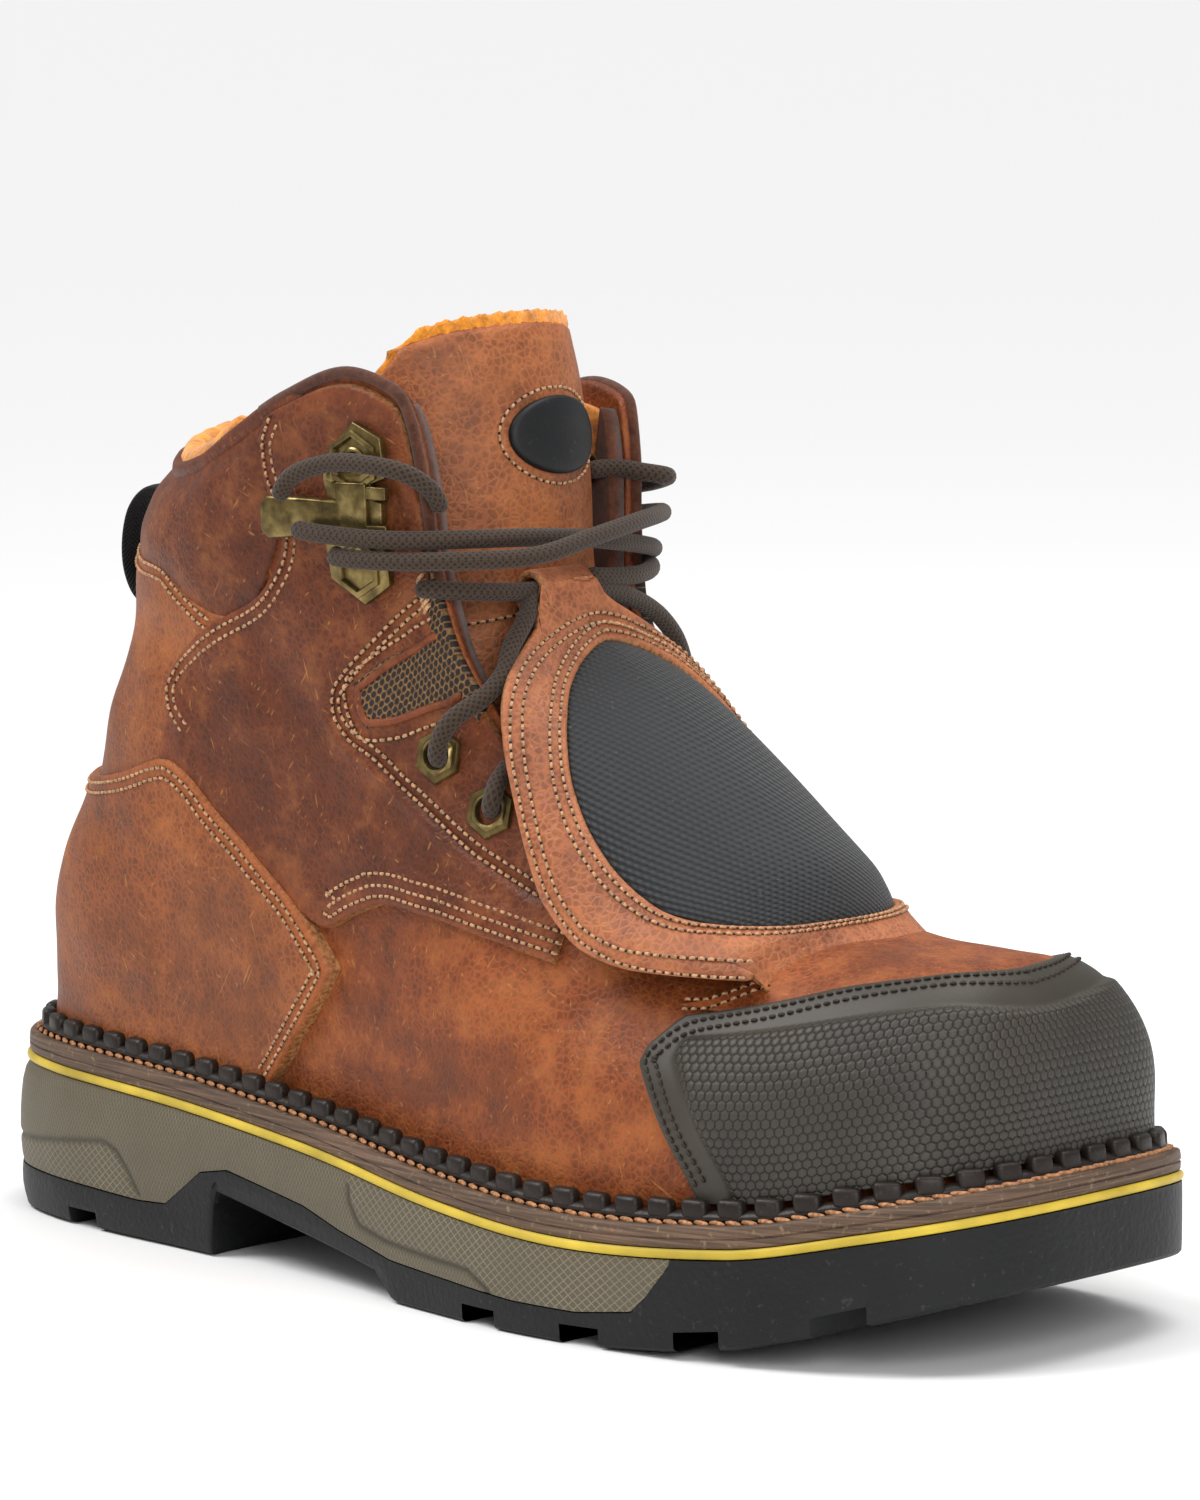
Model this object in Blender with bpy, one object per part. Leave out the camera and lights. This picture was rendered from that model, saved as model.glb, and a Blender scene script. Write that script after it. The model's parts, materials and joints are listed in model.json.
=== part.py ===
"""Metatarsal guard boot, right foot, as separate closed solids.

Lengths are written in millimetres and turned into metres when a solid is made. +X runs to the toe, -Y to the
outer side of the foot and +Z up. The origin is on the floor under the middle of the heel.
"""
import math

import bmesh
import bpy
import numpy as np

# Named sizes
LENGTH = 313.0
BALL_WIDTH = 117.0
HALF_BALL = BALL_WIDTH / 2
COLLAR_HEIGHT = 206.0
HEEL_CENTRE = 45.0
SOLE_HEIGHT = 36.0
WELT_REACH = 9.5
WALL = 2.2
GAP = 0.3
LINE_THICK = 2.1
WELT_THICK = 5.2
RIB_HEIGHT = 4.2
RIB_PITCH = 8.9
LUG_PITCH = 31.0
LUG_GAP = 11.0
LEATHER = 1.4
OVERLAY_RISE = 2.5
HOOK_HEIGHT = 41.0
EYELET_RADIUS = 5.6
LACE_RADIUS = 2.2
LOOP_HALF = 10.0


def table(columns, rows):
    """A short table with named columns."""
    values = np.array(rows, float)
    return {name: values[:, i] for i, name in enumerate(columns.split())}


# Outline of the sole seen from above, from the toe to the heel.
# along is a share of the length, outer and inner are shares of half the ball width.
SOLE_PLAN = table("along outer inner", [
    (1.000, 0.000, 0.000),
    (0.991, 0.359, 0.564),
    (0.966, 0.598, 0.786),
    (0.925, 0.769, 0.906),
    (0.870, 0.903, 0.966),
    (0.805, 0.997, 0.983),
    (0.725, 1.043, 0.940),
    (0.635, 1.043, 0.846),
    (0.540, 0.966, 0.735),
    (0.445, 0.863, 0.667),
    (0.350, 0.786, 0.667),
    (0.255, 0.723, 0.692),
    (0.165, 0.672, 0.684),
    (0.090, 0.598, 0.615),
    (0.037, 0.470, 0.487),
    (0.008, 0.256, 0.265),
    (0.000, 0.000, 0.000),
])

# Heights along the sole as shares of its height at the heel: the underside of the bright line and the bottom of
# the tread.
LINE_HEIGHT = table("along height", [
    (0, 1.0000), (0.191, 0.9444), (0.382, 0.8194), (0.573, 0.6444), (0.701, 0.5833), (0.828, 0.6389),
    (0.924, 0.7917), (1, 0.9306),
])
TREAD_HEIGHT = table("along height", [
    (-0.01, 0.0722), (0.012, 0.0167), (0.03, 0.0000), (0.2888, 0.0000), (0.2936, 0.4167), (0.487, 0.1667),
    (0.509, 0.0111), (0.516, 0.0000), (0.719, 0.0000), (0.78, 0.0389), (0.837, 0.1000), (0.895, 0.2222),
    (0.939, 0.3333), (0.971, 0.4167), (1, 0.4861),
])
# Top of the dark outsole under the lighter midsole, as shares of the same height.
RAND_HEIGHT = table("along height", [
    (-0.01, 0.3056), (0.115, 0.2889), (0.204, 0.2639), (0.236, 0.2778), (0.259, 0.4167), (0.278, 0.5333),
    (0.31, 0.5833), (0.401, 0.4667), (0.444, 0.3667), (0.508, 0.2667), (0.581, 0.2361), (0.649, 0.2028),
    (0.708, 0.2028), (0.757, 0.2556), (0.77, 0.3611), (0.783, 0.5000), (0.79, 0.5778),
])
MIDSOLE_END = 0.789
# How far the lower sole stands out past the welt, as a share of the same height.
FLARE = table("along out", [
    (0, 0.0639), (0.12, 0.0556), (0.25, 0.0333), (0.4, 0.0167), (0.8, 0.0111), (1, 0.0083),
])

# The top line of the upper from the toe ridge (share round 0) by the throat to the back of the collar (1).
# ahead is a share of the length, outer and inner of half the ball width, height of the collar height.
# closing is how much the wall folds over the foot, square how boxy that fold is.
# low, middle and high are the swell of the wall as shares of half the ball width. setback and drop are what the
# inner side's top line stands back, as a share of the length, and down, as a share of the collar height.
TOP_LINE = table("round ahead outer inner height closing square low middle high setback drop", [
    (0.000, 0.9073, 0.000, 0.000, 0.3990, 1.00, 0.62, 0.0137, 0.0000, 0.0000, 0.0000, 0.0000),
    (0.060, 0.9010, 0.000, 0.000, 0.4005, 1.00, 0.62, 0.0137, 0.0000, 0.0000, 0.0000, 0.0000),
    (0.120, 0.8818, 0.000, 0.000, 0.4015, 1.00, 0.64, 0.0137, 0.0000, 0.0000, 0.0000, 0.0000),
    (0.180, 0.8498, 0.000, 0.000, 0.4025, 1.00, 0.68, 0.0171, 0.0000, 0.0000, 0.0000, 0.0000),
    (0.240, 0.8051, 0.000, 0.000, 0.4070, 1.00, 0.74, 0.0256, 0.0000, 0.0000, 0.0000, 0.0000),
    (0.300, 0.7540, 0.000, 0.000, 0.4270, 1.00, 0.82, 0.0342, 0.0000, 0.0000, 0.0000, 0.0000),
    (0.330, 0.7270, 0.000, 0.000, 0.4420, 1.00, 0.86, 0.0342, 0.0000, 0.0000, 0.0000, 0.0000),
    (0.345, 0.7157, 0.103, 0.103, 0.4515, 0.97, 0.88, 0.0342, 0.0000, 0.0000, 0.0000, 0.0000),
    (0.390, 0.6645, 0.325, 0.308, 0.5000, 0.80, 0.92, 0.0342, 0.0000, 0.0000, 0.0032, 0.0000),
    (0.440, 0.6102, 0.496, 0.444, 0.5631, 0.55, 0.95, 0.0342, 0.0171, 0.0000, 0.0096, 0.0000),
    (0.490, 0.5559, 0.581, 0.513, 0.6359, 0.28, 1.00, 0.0342, 0.0342, 0.0000, 0.0160, 0.0000),
    (0.540, 0.5208, 0.603, 0.538, 0.7184, 0.10, 1.00, 0.0342, 0.0513, 0.0000, 0.0208, 0.0000),
    (0.585, 0.5016, 0.612, 0.564, 0.8058, 0.00, 1.00, 0.0342, 0.0513, 0.0000, 0.0112, 0.0049),
    (0.625, 0.4904, 0.622, 0.590, 0.9029, 0.00, 1.00, 0.0342, 0.0513, 0.0000, 0.0048, 0.0146),
    (0.660, 0.4760, 0.643, 0.624, 0.9757, 0.00, 1.00, 0.0427, 0.0513, 0.0000, 0.0016, 0.0243),
    (0.700, 0.4313, 0.684, 0.677, 1.0000, 0.00, 1.00, 0.0427, 0.0479, 0.0000, 0.0000, 0.0316),
    (0.750, 0.3738, 0.718, 0.711, 0.9709, 0.00, 1.00, 0.0427, 0.0513, 0.0085, 0.0000, 0.0243),
    (0.800, 0.3195, 0.711, 0.704, 0.9272, 0.00, 1.00, 0.0427, 0.0547, 0.0256, 0.0000, 0.0097),
    (0.850, 0.2684, 0.643, 0.639, 0.8908, 0.00, 1.00, 0.0547, 0.0581, 0.0427, 0.0000, 0.0000),
    (0.900, 0.2204, 0.496, 0.496, 0.8786, 0.00, 1.00, 0.0786, 0.0547, 0.0598, 0.0000, 0.0000),
    (0.950, 0.1837, 0.274, 0.274, 0.8908, 0.00, 1.00, 0.0855, 0.0410, 0.0684, 0.0000, 0.0000),
    (1.000, 0.1693, 0.000, 0.000, 0.9029, 0.00, 1.00, 0.0889, 0.0308, 0.0769, 0.0000, 0.0000),
])
RIDGE_END = 0.330


def smooth(rows, key, column, at):
    """Cubic through a table's rows that doesn't overshoot."""
    knots, values = rows[key], rows[column]
    order = np.argsort(knots)
    knots, values = knots[order], values[order]
    x = np.clip(np.asarray(at, float), knots[0], knots[-1])
    span, slope = np.diff(knots), np.diff(values) / np.diff(knots)
    tangent = np.zeros(len(values))
    before, after = slope[:-1], slope[1:]
    same = before * after > 0
    total = np.where(same, before + after, 1.0)
    tangent[1:-1] = np.where(same, 2 * before * after / total, 0.0)
    tangent[0], tangent[-1] = slope[0], slope[-1]
    i = np.clip(np.searchsorted(knots, x, side="right") - 1, 0, len(knots) - 2)
    u = (x - knots[i]) / span[i]
    return ((1 + 2 * u) * (1 - u) ** 2 * values[i] + u * (1 - u) ** 2 * span[i] * tangent[i]
            + u * u * (3 - 2 * u) * values[i + 1] + u * u * (u - 1) * span[i] * tangent[i + 1])


def straight(rows, column, x):
    """Height in millimetres by straight lines between the rows."""
    return np.interp(np.asarray(x, float) / LENGTH, rows["along"], rows[column]) * SOLE_HEIGHT


def line_height(x):
    return smooth(LINE_HEIGHT, "along", "height", np.asarray(x) / LENGTH) * SOLE_HEIGHT


def welt_top(x):
    return line_height(x) + LINE_THICK + WELT_THICK + 0.3


def curve(points, ends=None, per=24):
    """A dense smooth line through points, with end directions where they are given."""
    p = np.asarray(points, float)
    t = np.r_[0, np.cumsum(np.sqrt(np.linalg.norm(np.diff(p, axis=0), axis=1)))]
    m = np.zeros_like(p)
    for j in range(1, len(p) - 1):
        a = (p[j] - p[j - 1]) / (t[j] - t[j - 1])
        b = (p[j + 1] - p[j]) / (t[j + 1] - t[j])
        w = (t[j] - t[j - 1]) / (t[j + 1] - t[j - 1])
        m[j] = a * (1 - w) + b * w
    first = (p[1] - p[0]) / (t[1] - t[0])
    last = (p[-1] - p[-2]) / (t[-1] - t[-2])
    if ends is None:
        m[0], m[-1] = 2 * first - m[1], 2 * last - m[-2]
    else:
        m[0] = np.asarray(ends[0]) * np.linalg.norm(first)
        m[-1] = np.asarray(ends[1]) * np.linalg.norm(last)
    out = []
    for j in range(len(p) - 1):
        h = t[j + 1] - t[j]
        for k in range(per):
            u = k / per
            out.append((1 + 2 * u) * (1 - u) ** 2 * p[j] + u * (1 - u) ** 2 * h * m[j]
                       + u * u * (3 - 2 * u) * p[j + 1] + u * u * (u - 1) * h * m[j + 1])
    out.append(p[-1])
    return np.array(out)


def along(line, share):
    """Points at shares of a line's length."""
    d = np.r_[0, np.cumsum(np.linalg.norm(np.diff(line, axis=0), axis=1))]
    at = np.clip(np.asarray(share, float), 0, 1) * d[-1]
    return np.stack([np.interp(at, d, line[:, k]) for k in range(line.shape[1])], -1)


def plan_line(side):
    """The sole's edge on one side, toe to heel. side is -1 for the outer side and 1 for the inner."""
    column = "outer" if side < 0 else "inner"
    points = np.c_[SOLE_PLAN["along"] * LENGTH, side * SOLE_PLAN[column] * HALF_BALL]
    return curve(points, ((0, side), (0, -side)))


PLAN = {side: plan_line(side) for side in (-1, 1)}


def plan_edge(side, round_share, inset=0.0):
    """A point of the sole's edge moved inwards by inset, and the outward direction there."""
    s = np.asarray(round_share, float)
    p = along(PLAN[side], s)
    d = along(PLAN[side], np.clip(s + 1e-3, 0, 1)) - along(PLAN[side], np.clip(s - 1e-3, 0, 1))
    d = d / np.linalg.norm(d, axis=-1, keepdims=True)
    n = np.stack([d[..., 1], -d[..., 0]], -1) * side
    n = np.where((s <= 1e-9)[..., None], np.array([1.0, 0.0]), n)
    n = np.where((s >= 1 - 1e-9)[..., None], np.array([-1.0, 0.0]), n)
    return p - n * np.asarray(inset, float)[..., None], n


def hump(t, centre, width):
    return (np.cos(np.pi * np.clip((t - centre) / width, -1, 1)) + 1) / 2


def surface(side, round_share, up_share):
    """The outer skin of the upper at a share round one side (toe 0, heel 1) and a share up its wall."""
    s, t = np.broadcast_arrays(np.asarray(round_share, float), np.asarray(up_share, float))

    def get(column):
        return smooth(TOP_LINE, "round", column, s)

    foot, n = plan_edge(side, s, WELT_REACH * np.ones_like(s))
    floor = welt_top(foot[..., 0]) + 0.35
    ahead = get("ahead") * LENGTH - (get("setback") * LENGTH if side > 0 else 0.0)
    across = side * get("outer" if side < 0 else "inner") * HALF_BALL
    height = get("height") * COLLAR_HEIGHT - (get("drop") * COLLAR_HEIGHT if side > 0 else 0.0)
    c, q = get("closing"), get("square")
    a = t * np.pi / 2
    rise = (1 - c) * t + c * np.sin(a) ** q
    fold = (1 - c) * t + c * (1 - np.cos(a) ** q)
    swell = get("low") * hump(t, 0.24, 0.24) + get("middle") * hump(t, 0.50, 0.35)
    swell = (swell + get("high") * hump(t, 0.84, 0.16)) * HALF_BALL
    x = foot[..., 0] + (ahead - foot[..., 0]) * fold + n[..., 0] * swell
    y = foot[..., 1] + (across - foot[..., 1]) * fold + n[..., 1] * swell
    z = floor + (height - floor) * rise
    return np.stack([x, y, z], -1)


def surface_normal(side, s, t, step=0.004):
    s, t = np.broadcast_arrays(np.asarray(s, float), np.asarray(t, float))
    a = surface(side, np.clip(s + step, 0, 1), t) - surface(side, np.clip(s - step, 0, 1), t)
    b = surface(side, s, np.clip(t + step, 0, 1)) - surface(side, s, np.clip(t - step, 0, 1))
    n = np.cross(a, b) * side
    return n / np.linalg.norm(n, axis=-1, keepdims=True)


# Making solids

def make(name, verts, faces):
    """A closed mesh object in metres from points in millimetres."""
    mesh = bpy.data.meshes.new(name)
    points = np.asarray(verts, float).copy()
    points[:, 0] -= HEEL_CENTRE
    mesh.from_pydata((points * 0.001).tolist(), [], [list(f) for f in faces])
    bm = bmesh.new()
    bm.from_mesh(mesh)
    bmesh.ops.remove_doubles(bm, verts=bm.verts, dist=2e-6)
    bmesh.ops.recalc_face_normals(bm, faces=bm.faces)
    bm.to_mesh(mesh)
    bm.free()
    obj = bpy.data.objects.new(name, mesh)
    bpy.context.scene.collection.objects.link(obj)
    return obj


def weld(verts, faces, tolerance=1e-3):
    """Join points that coincide and drop faces that collapse."""
    keys, index, kept, order = {}, [], [], []
    for v in verts:
        key = tuple(int(round(c / tolerance)) for c in v)
        if key not in keys:
            keys[key] = len(kept)
            kept.append(v)
        index.append(keys[key])
    for f in faces:
        g = []
        for i in f:
            if index[i] not in g:
                g.append(index[i])
        if len(g) > 2:
            order.append(g)
    return np.array(kept), order


def point_normals(verts, faces):
    total = np.zeros_like(verts)
    for f in faces:
        p = verts[f]
        n = np.zeros(3)
        for k in range(1, len(f) - 1):
            n += np.cross(p[k] - p[0], p[k + 1] - p[0])
        total[f] += n
    return total / np.maximum(np.linalg.norm(total, axis=1, keepdims=True), 1e-12)


def shell(name, verts, faces, lift, depth, level_at=None):
    """A sheet with thickness: its outer face stands lift above the points, its inner face depth below that."""
    verts, faces = weld(np.asarray(verts, float), faces)
    n = point_normals(verts, faces)
    if level_at is not None:
        n = level_at(verts, n)
    lift = lift(verts) if callable(lift) else lift
    depth = depth(verts) if callable(depth) else depth
    outer = verts + n * np.reshape(lift, (-1, 1))
    inner = outer - n * np.reshape(depth, (-1, 1))
    count = len(verts)
    used = {}
    for f in faces:
        for a, b in zip(f, f[1:] + f[:1]):
            used[(a, b)] = used.get((a, b), 0) + 1
    rim = [(b, a, a + count, b + count) for (a, b) in used if (b, a) not in used]
    inside = [[i + count for i in reversed(f)] for f in faces]
    return make(name, np.vstack([outer, inner]), list(faces) + inside + rim)


def grid_faces(rows, cols, flip=False, base=0):
    out = []
    for i in range(rows - 1):
        for j in range(cols - 1):
            f = [base + i * cols + j, base + (i + 1) * cols + j, base + (i + 1) * cols + j + 1,
                 base + i * cols + j + 1]
            out.append(f[::-1] if flip else f)
    return out


def loft(name, rings, caps=True):
    """A solid through closed rings that have equal counts."""
    count = len(rings[0])
    verts = np.vstack(rings)
    faces = []
    for i in range(len(rings) - 1):
        for j in range(count):
            k = (j + 1) % count
            faces.append([i * count + j, i * count + k, (i + 1) * count + k, (i + 1) * count + j])
    for base, order in ((0, -1), ((len(rings) - 1) * count, 1)):
        ring = verts[base:base + count]
        apart = min(np.linalg.norm(ring[i] - ring[j]) for i in range(count) for j in range(i))
        if caps and apart > 1e-3:
            faces.append([base + j for j in range(count)][::order])
    verts, faces = weld(verts, faces)
    return make(name, verts, faces)


def ring_body(name, rings):
    """A closed ring through sections that have equal counts."""
    count, n = len(rings[0]), len(rings)
    verts = np.vstack(rings)
    faces = []
    for i in range(n):
        for j in range(count):
            k, h = (j + 1) % count, (i + 1) % n
            faces.append([i * count + j, i * count + k, h * count + k, h * count + j])
    return make(name, verts, faces)


def tube(name, path, radius, sides=6, spacing=7.5, flat=1.0):
    """A round cord along a smooth line through the path's points."""
    line = curve(path)
    length = np.linalg.norm(np.diff(line, axis=0), axis=1).sum()
    count = max(4, int(length / spacing) + 1)
    p = along(line, np.linspace(0, 1, count))
    d = np.gradient(p, axis=0)
    d /= np.linalg.norm(d, axis=1, keepdims=True)
    up = np.array([0.0, 0.0, 1.0])
    if abs(d[0] @ up) > 0.9:
        up = np.array([1.0, 0.0, 0.0])
    side = np.cross(d[0], up)
    rings = []
    for i in range(count):
        side = side - d[i] * (side @ d[i])
        side /= np.linalg.norm(side)
        other = np.cross(d[i], side)
        angle = np.arange(sides) * 2 * math.pi / sides
        rings.append(p[i] + radius * (np.cos(angle)[:, None] * side + flat * np.sin(angle)[:, None] * other))
    return loft(name, rings)


def combine(obj, other, how):
    """Cut or join another solid into this one; the other one is removed."""
    mod = obj.modifiers.new("combine", "BOOLEAN")
    mod.operation, mod.solver, mod.object = how, "EXACT", other
    bpy.context.view_layer.update()
    mesh = bpy.data.meshes.new_from_object(obj.evaluated_get(bpy.context.evaluated_depsgraph_get()))
    obj.modifiers.clear()
    old = obj.data
    obj.data = mesh
    bpy.data.meshes.remove(old)
    bpy.data.objects.remove(other)
    mesh.name = obj.name
    bm = bmesh.new()
    bm.from_mesh(mesh)
    bmesh.ops.remove_doubles(bm, verts=bm.verts, dist=1e-6)
    bmesh.ops.dissolve_degenerate(bm, edges=bm.edges, dist=1e-6)
    bm.to_mesh(mesh)
    bm.free()
    return obj


def boxes(name, corners):
    """Several separate boxes as one cutter; each is (x0, x1, y0, y1, z0, z1, rise of z1 over the length)."""
    verts, faces = [], []
    for x0, x1, y0, y1, z0, z1, rise in corners:
        b = len(verts)
        verts += [(x0, y0, z0), (x1, y0, z0), (x1, y1, z0), (x0, y1, z0)]
        verts += [(x0, y0, z1), (x1, y0, z1 + rise), (x1, y1, z1 + rise), (x0, y1, z1)]
        faces += [(b, b + 3, b + 2, b + 1), (b + 4, b + 5, b + 6, b + 7)]
        faces += [(b + i, b + (i + 1) % 4, b + 4 + (i + 1) % 4, b + 4 + i) for i in range(4)]
    return make(name, verts, faces)


# Sole

END_SHARES = [0, 0.0016, 0.008, 0.022, 0.042, 0.068, 0.10]


def stations(extra=(), end=1.0):
    """Shares of the length where the sole's sections stand."""
    middle = list(np.linspace(0.15, 0.90, 13))
    keep = [u for u in middle if all(abs(u - e) > 0.018 for e in extra)]
    out = sorted(set(END_SHARES + keep + [1 - e for e in END_SHARES] + list(extra)))
    return np.array([u for u in out if u < end - 0.004] + [end])


def edge_at(side, inset, shares):
    """Edge points at shares of the length of the outline moved in by inset, which may vary along it."""
    dense = np.linspace(0, 1, 801)
    base = along(PLAN[side], dense)
    value = inset(base[:, 0]) if callable(inset) else inset * np.ones(len(dense))
    p, _ = plan_edge(side, dense, value)
    x0, x1 = p[-1, 0], p[0, 0]
    x = x0 + np.asarray(shares) * (x1 - x0)
    y = np.interp(x, p[::-1, 0], p[::-1, 1])
    y[(shares <= 0) | (shares >= 1)] = 0.0
    return x, y


def plate(name, levels, shares):
    """A layer of the sole. levels are (inset, height) from its bottom to its top."""
    columns = []
    for side in (-1, 1):
        side_levels = levels if side < 0 else levels[::-1]
        for inset, height in side_levels:
            x, y = edge_at(side, inset, shares)
            columns.append(np.c_[x, y, height(x)])
    rings = [np.array([c[i] for c in columns]) for i in range(len(shares))]
    return loft(name, rings)


def flare(share):
    return lambda x: -share * straight(FLARE, "out", x)


def tread(x):
    return straight(TREAD_HEIGHT, "height", x)


def rand(x):
    x = np.asarray(x, float)
    level = straight(RAND_HEIGHT, "height", x)
    top = line_height(x) - 0.25
    return np.where(x / LENGTH > 0.7895, top, np.minimum(level, top - 0.2))


def build_sole():
    feature = [0.115, 0.204, 0.236, 0.259, 0.2785, 0.2888, 0.2936, 0.310, 0.401, 0.444, 0.487, 0.509, 0.581,
               0.719, 0.757, 0.770, 0.783, 0.7898]
    shares = stations(feature)

    def above_tread(x):
        return np.minimum(tread(x) + 0.097 * SOLE_HEIGHT, rand(x) - 0.6)

    def half_way(x):
        return tread(x) + (rand(x) - tread(x)) * 0.7

    outsole = plate("outsole", [(1.6, tread), (flare(0.8), above_tread), (flare(1.0), half_way),
                                (flare(0.9), rand)], shares)
    cuts = []
    below = -0.17 * SOLE_HEIGHT
    ball = 0.5942 * LENGTH
    for side in (-1, 1):
        for x0 in [0.1163 * LENGTH] + [ball + LUG_PITCH * k for k in range(4)]:
            x1 = x0 + LUG_GAP
            y = np.interp(0.5 * (x0 + x1), PLAN[side][::-1, 0], np.abs(PLAN[side][::-1, 1]))
            low, high = sorted((side * (y - 0.36 * HALF_BALL), side * (y + 0.15 * HALF_BALL)))
            top = float(tread(x0)) + 0.122 * SOLE_HEIGHT
            cuts.append((x0, x1, low, high, below, top, float(tread(x1)) - float(tread(x0))))
    half = 0.29 * HALF_BALL
    for x0 in [0.1917 * LENGTH, ball - 0.58 * LUG_PITCH] + [ball + LUG_PITCH * (0.5 + k) for k in range(3)]:
        x1 = x0 + 0.6 * LUG_GAP
        top = float(tread(x0)) + 0.095 * SOLE_HEIGHT
        cuts.append((x0, x1, -half, half, below, top, float(tread(x1)) - float(tread(x0))))
    cuts.append((-0.026 * LENGTH, 0.048 * LENGTH, -0.1 * HALF_BALL, 0.1 * HALF_BALL, below, 0.1 * SOLE_HEIGHT, 0.0))
    combine(outsole, boxes("tread_cut", cuts), "DIFFERENCE")

    mid_shares = stations([u for u in feature if u < 0.785], MIDSOLE_END)

    def mid_bottom(x):
        return np.minimum(rand(x) + GAP, line_height(x) - 1.0)

    def mid_top(x):
        return line_height(x) - 0.25

    def mid_low(x):
        return mid_bottom(x) * 0.72 + mid_top(x) * 0.28

    def mid_high(x):
        return mid_bottom(x) * 0.22 + mid_top(x) * 0.78

    plate("midsole", [(flare(0.9), mid_bottom), (flare(1.15), mid_low), (flare(0.85), mid_high),
                      (0.5, mid_top)], mid_shares)
    plain = stations()
    plate("sole_line", [(-0.2, line_height), (-0.2, lambda x: line_height(x) + LINE_THICK)], plain)
    plate("welt", [(0.3, lambda x: line_height(x) + LINE_THICK + 0.25), (0.0, lambda x: welt_top(x) - 2.6),
                   (0.5, lambda x: welt_top(x) - 0.05)], plain)
    inner = WELT_REACH + WALL + 0.9
    plate("insole", [(inner, lambda x: welt_top(x) + 0.35), (inner, lambda x: welt_top(x) + 3.5)], plain)


def build_storm_rib():
    """Blocks of rubber along the foot of the upper, joined by a low web."""
    inset = (WELT_REACH - 4.6) * np.ones(400)
    loop = np.vstack([plan_edge(-1, np.linspace(0, 1, 400), inset)[0],
                      plan_edge(1, np.linspace(1, 0, 400), inset)[0][1:-1]])
    closed = np.vstack([loop, loop[:1]])
    d = np.r_[0, np.cumsum(np.linalg.norm(np.diff(closed, axis=0), axis=1))]
    count = int(round(d[-1] / RIB_PITCH))
    rings = []
    for k in range(count):
        for share, tall in ((0.0, 1.0), (0.66, 1.0), (0.83, 0.0)):
            at = (k + share) / count * d[-1]
            p = np.array([np.interp(at, d, closed[:, i]) for i in (0, 1)])
            q = np.array([np.interp((at + 0.5) % d[-1], d, closed[:, i]) for i in (0, 1)])
            r = np.array([np.interp((at - 0.5) % d[-1], d, closed[:, i]) for i in (0, 1)])
            along_edge = (q - r) / np.linalg.norm(q - r)
            out = np.array([-along_edge[1], along_edge[0]])
            if out @ (p - np.array([LENGTH * 0.55, 0.0])) < 0:
                out = -out
            h = RIB_HEIGHT * (0.26 + 0.74 * tall)
            section = [(-1.5, 0.0), (-1.5, h), (1.2, h * 0.94), (1.8, 0.0)]
            ring = []
            for o, z in section:
                xy = p + out * o
                ring.append((xy[0], xy[1], float(welt_top(xy[0])) + 0.35 + z))
            rings.append(np.array(ring))
    ring_body("storm_rib", rings)


# Upper and the pieces laid on it

ROUND = [0.0, 0.035, 0.07, 0.105, 0.14, 0.175, 0.21, 0.25, 0.29, RIDGE_END, 0.355, 0.395,
         0.44, 0.48, 0.52, 0.56, 0.60, 0.63, 0.66, 0.69, 0.72,
         0.76, 0.80, 0.835, 0.865, 0.895, 0.925, 0.95, 0.975, 1.0]
UP = [0.0, 0.08, 0.16, 0.25, 0.36, 0.49, 0.63, 0.78, 0.91, 1.0]


def middle_plane(verts, n):
    """Keeps a piece's thickness square to the middle plane on its seams, and level where it meets the welt."""
    n = n.copy()
    n[np.abs(verts[:, 1]) < 1e-3, 1] = 0
    n[verts[:, 2] < welt_top(verts[:, 0]) + 1.0, 2] = 0
    return n / np.linalg.norm(n, axis=1, keepdims=True)


def build_upper():
    verts, faces = [], []
    s, t = np.meshgrid(ROUND, UP, indexing="ij")
    for side in (-1, 1):
        p = surface(side, s, t).reshape(-1, 3)
        edge = (s.reshape(-1) <= 1e-9) | (s.reshape(-1) >= 1 - 1e-9)
        edge |= (t.reshape(-1) >= 1 - 1e-9) & (s.reshape(-1) <= RIDGE_END + 1e-9)
        p[edge, 1] = 0.0
        faces += grid_faces(len(ROUND), len(UP), side < 0, len(verts))
        verts += p.tolist()

    def wall(points):
        height = np.clip(8.3 * (points[:, 2] / COLLAR_HEIGHT - 0.728), 0, 1)
        back = np.clip(10.4 * (0.383 - points[:, 0] / LENGTH), 0, 1)
        return WALL * (1 + 0.34 * height * back)

    shell("upper", verts, faces, 0.0, wall, middle_plane)


def patch(bottom, right, top, left, n, m):
    """Even (round, up) pairs inside four edge lines that meet at their ends."""
    def spread(points, count):
        p = np.asarray(points, float)
        return along(p, np.linspace(0, 1, count))

    b, t, l, r = spread(bottom, n), spread(top, n), spread(left, m), spread(right, m)
    u, v = np.linspace(0, 1, n)[:, None, None], np.linspace(0, 1, m)[None, :, None]
    return ((1 - v) * b[:, None] + v * t[:, None] + (1 - u) * l[None] + u * r[None]
            - (1 - u) * (1 - v) * b[0] - u * (1 - v) * b[-1] - (1 - u) * v * t[0] - u * v * t[-1])


def overlay(name, sides, grid, lift, depth):
    """A piece laid on the upper over the grid of (round, up) pairs, on one side or joined over both."""
    verts, faces = [], []
    for side in sides:
        p = surface(side, grid[..., 0], grid[..., 1])
        seam = (grid[..., 0] <= 1e-9) | (grid[..., 0] >= 1 - 1e-9)
        p[seam, 1] = 0.0
        faces += grid_faces(grid.shape[0], grid.shape[1], side < 0, len(verts))
        verts += p.reshape(-1, 3).tolist()
    return shell(name, verts, faces, lift, depth, middle_plane)


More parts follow.
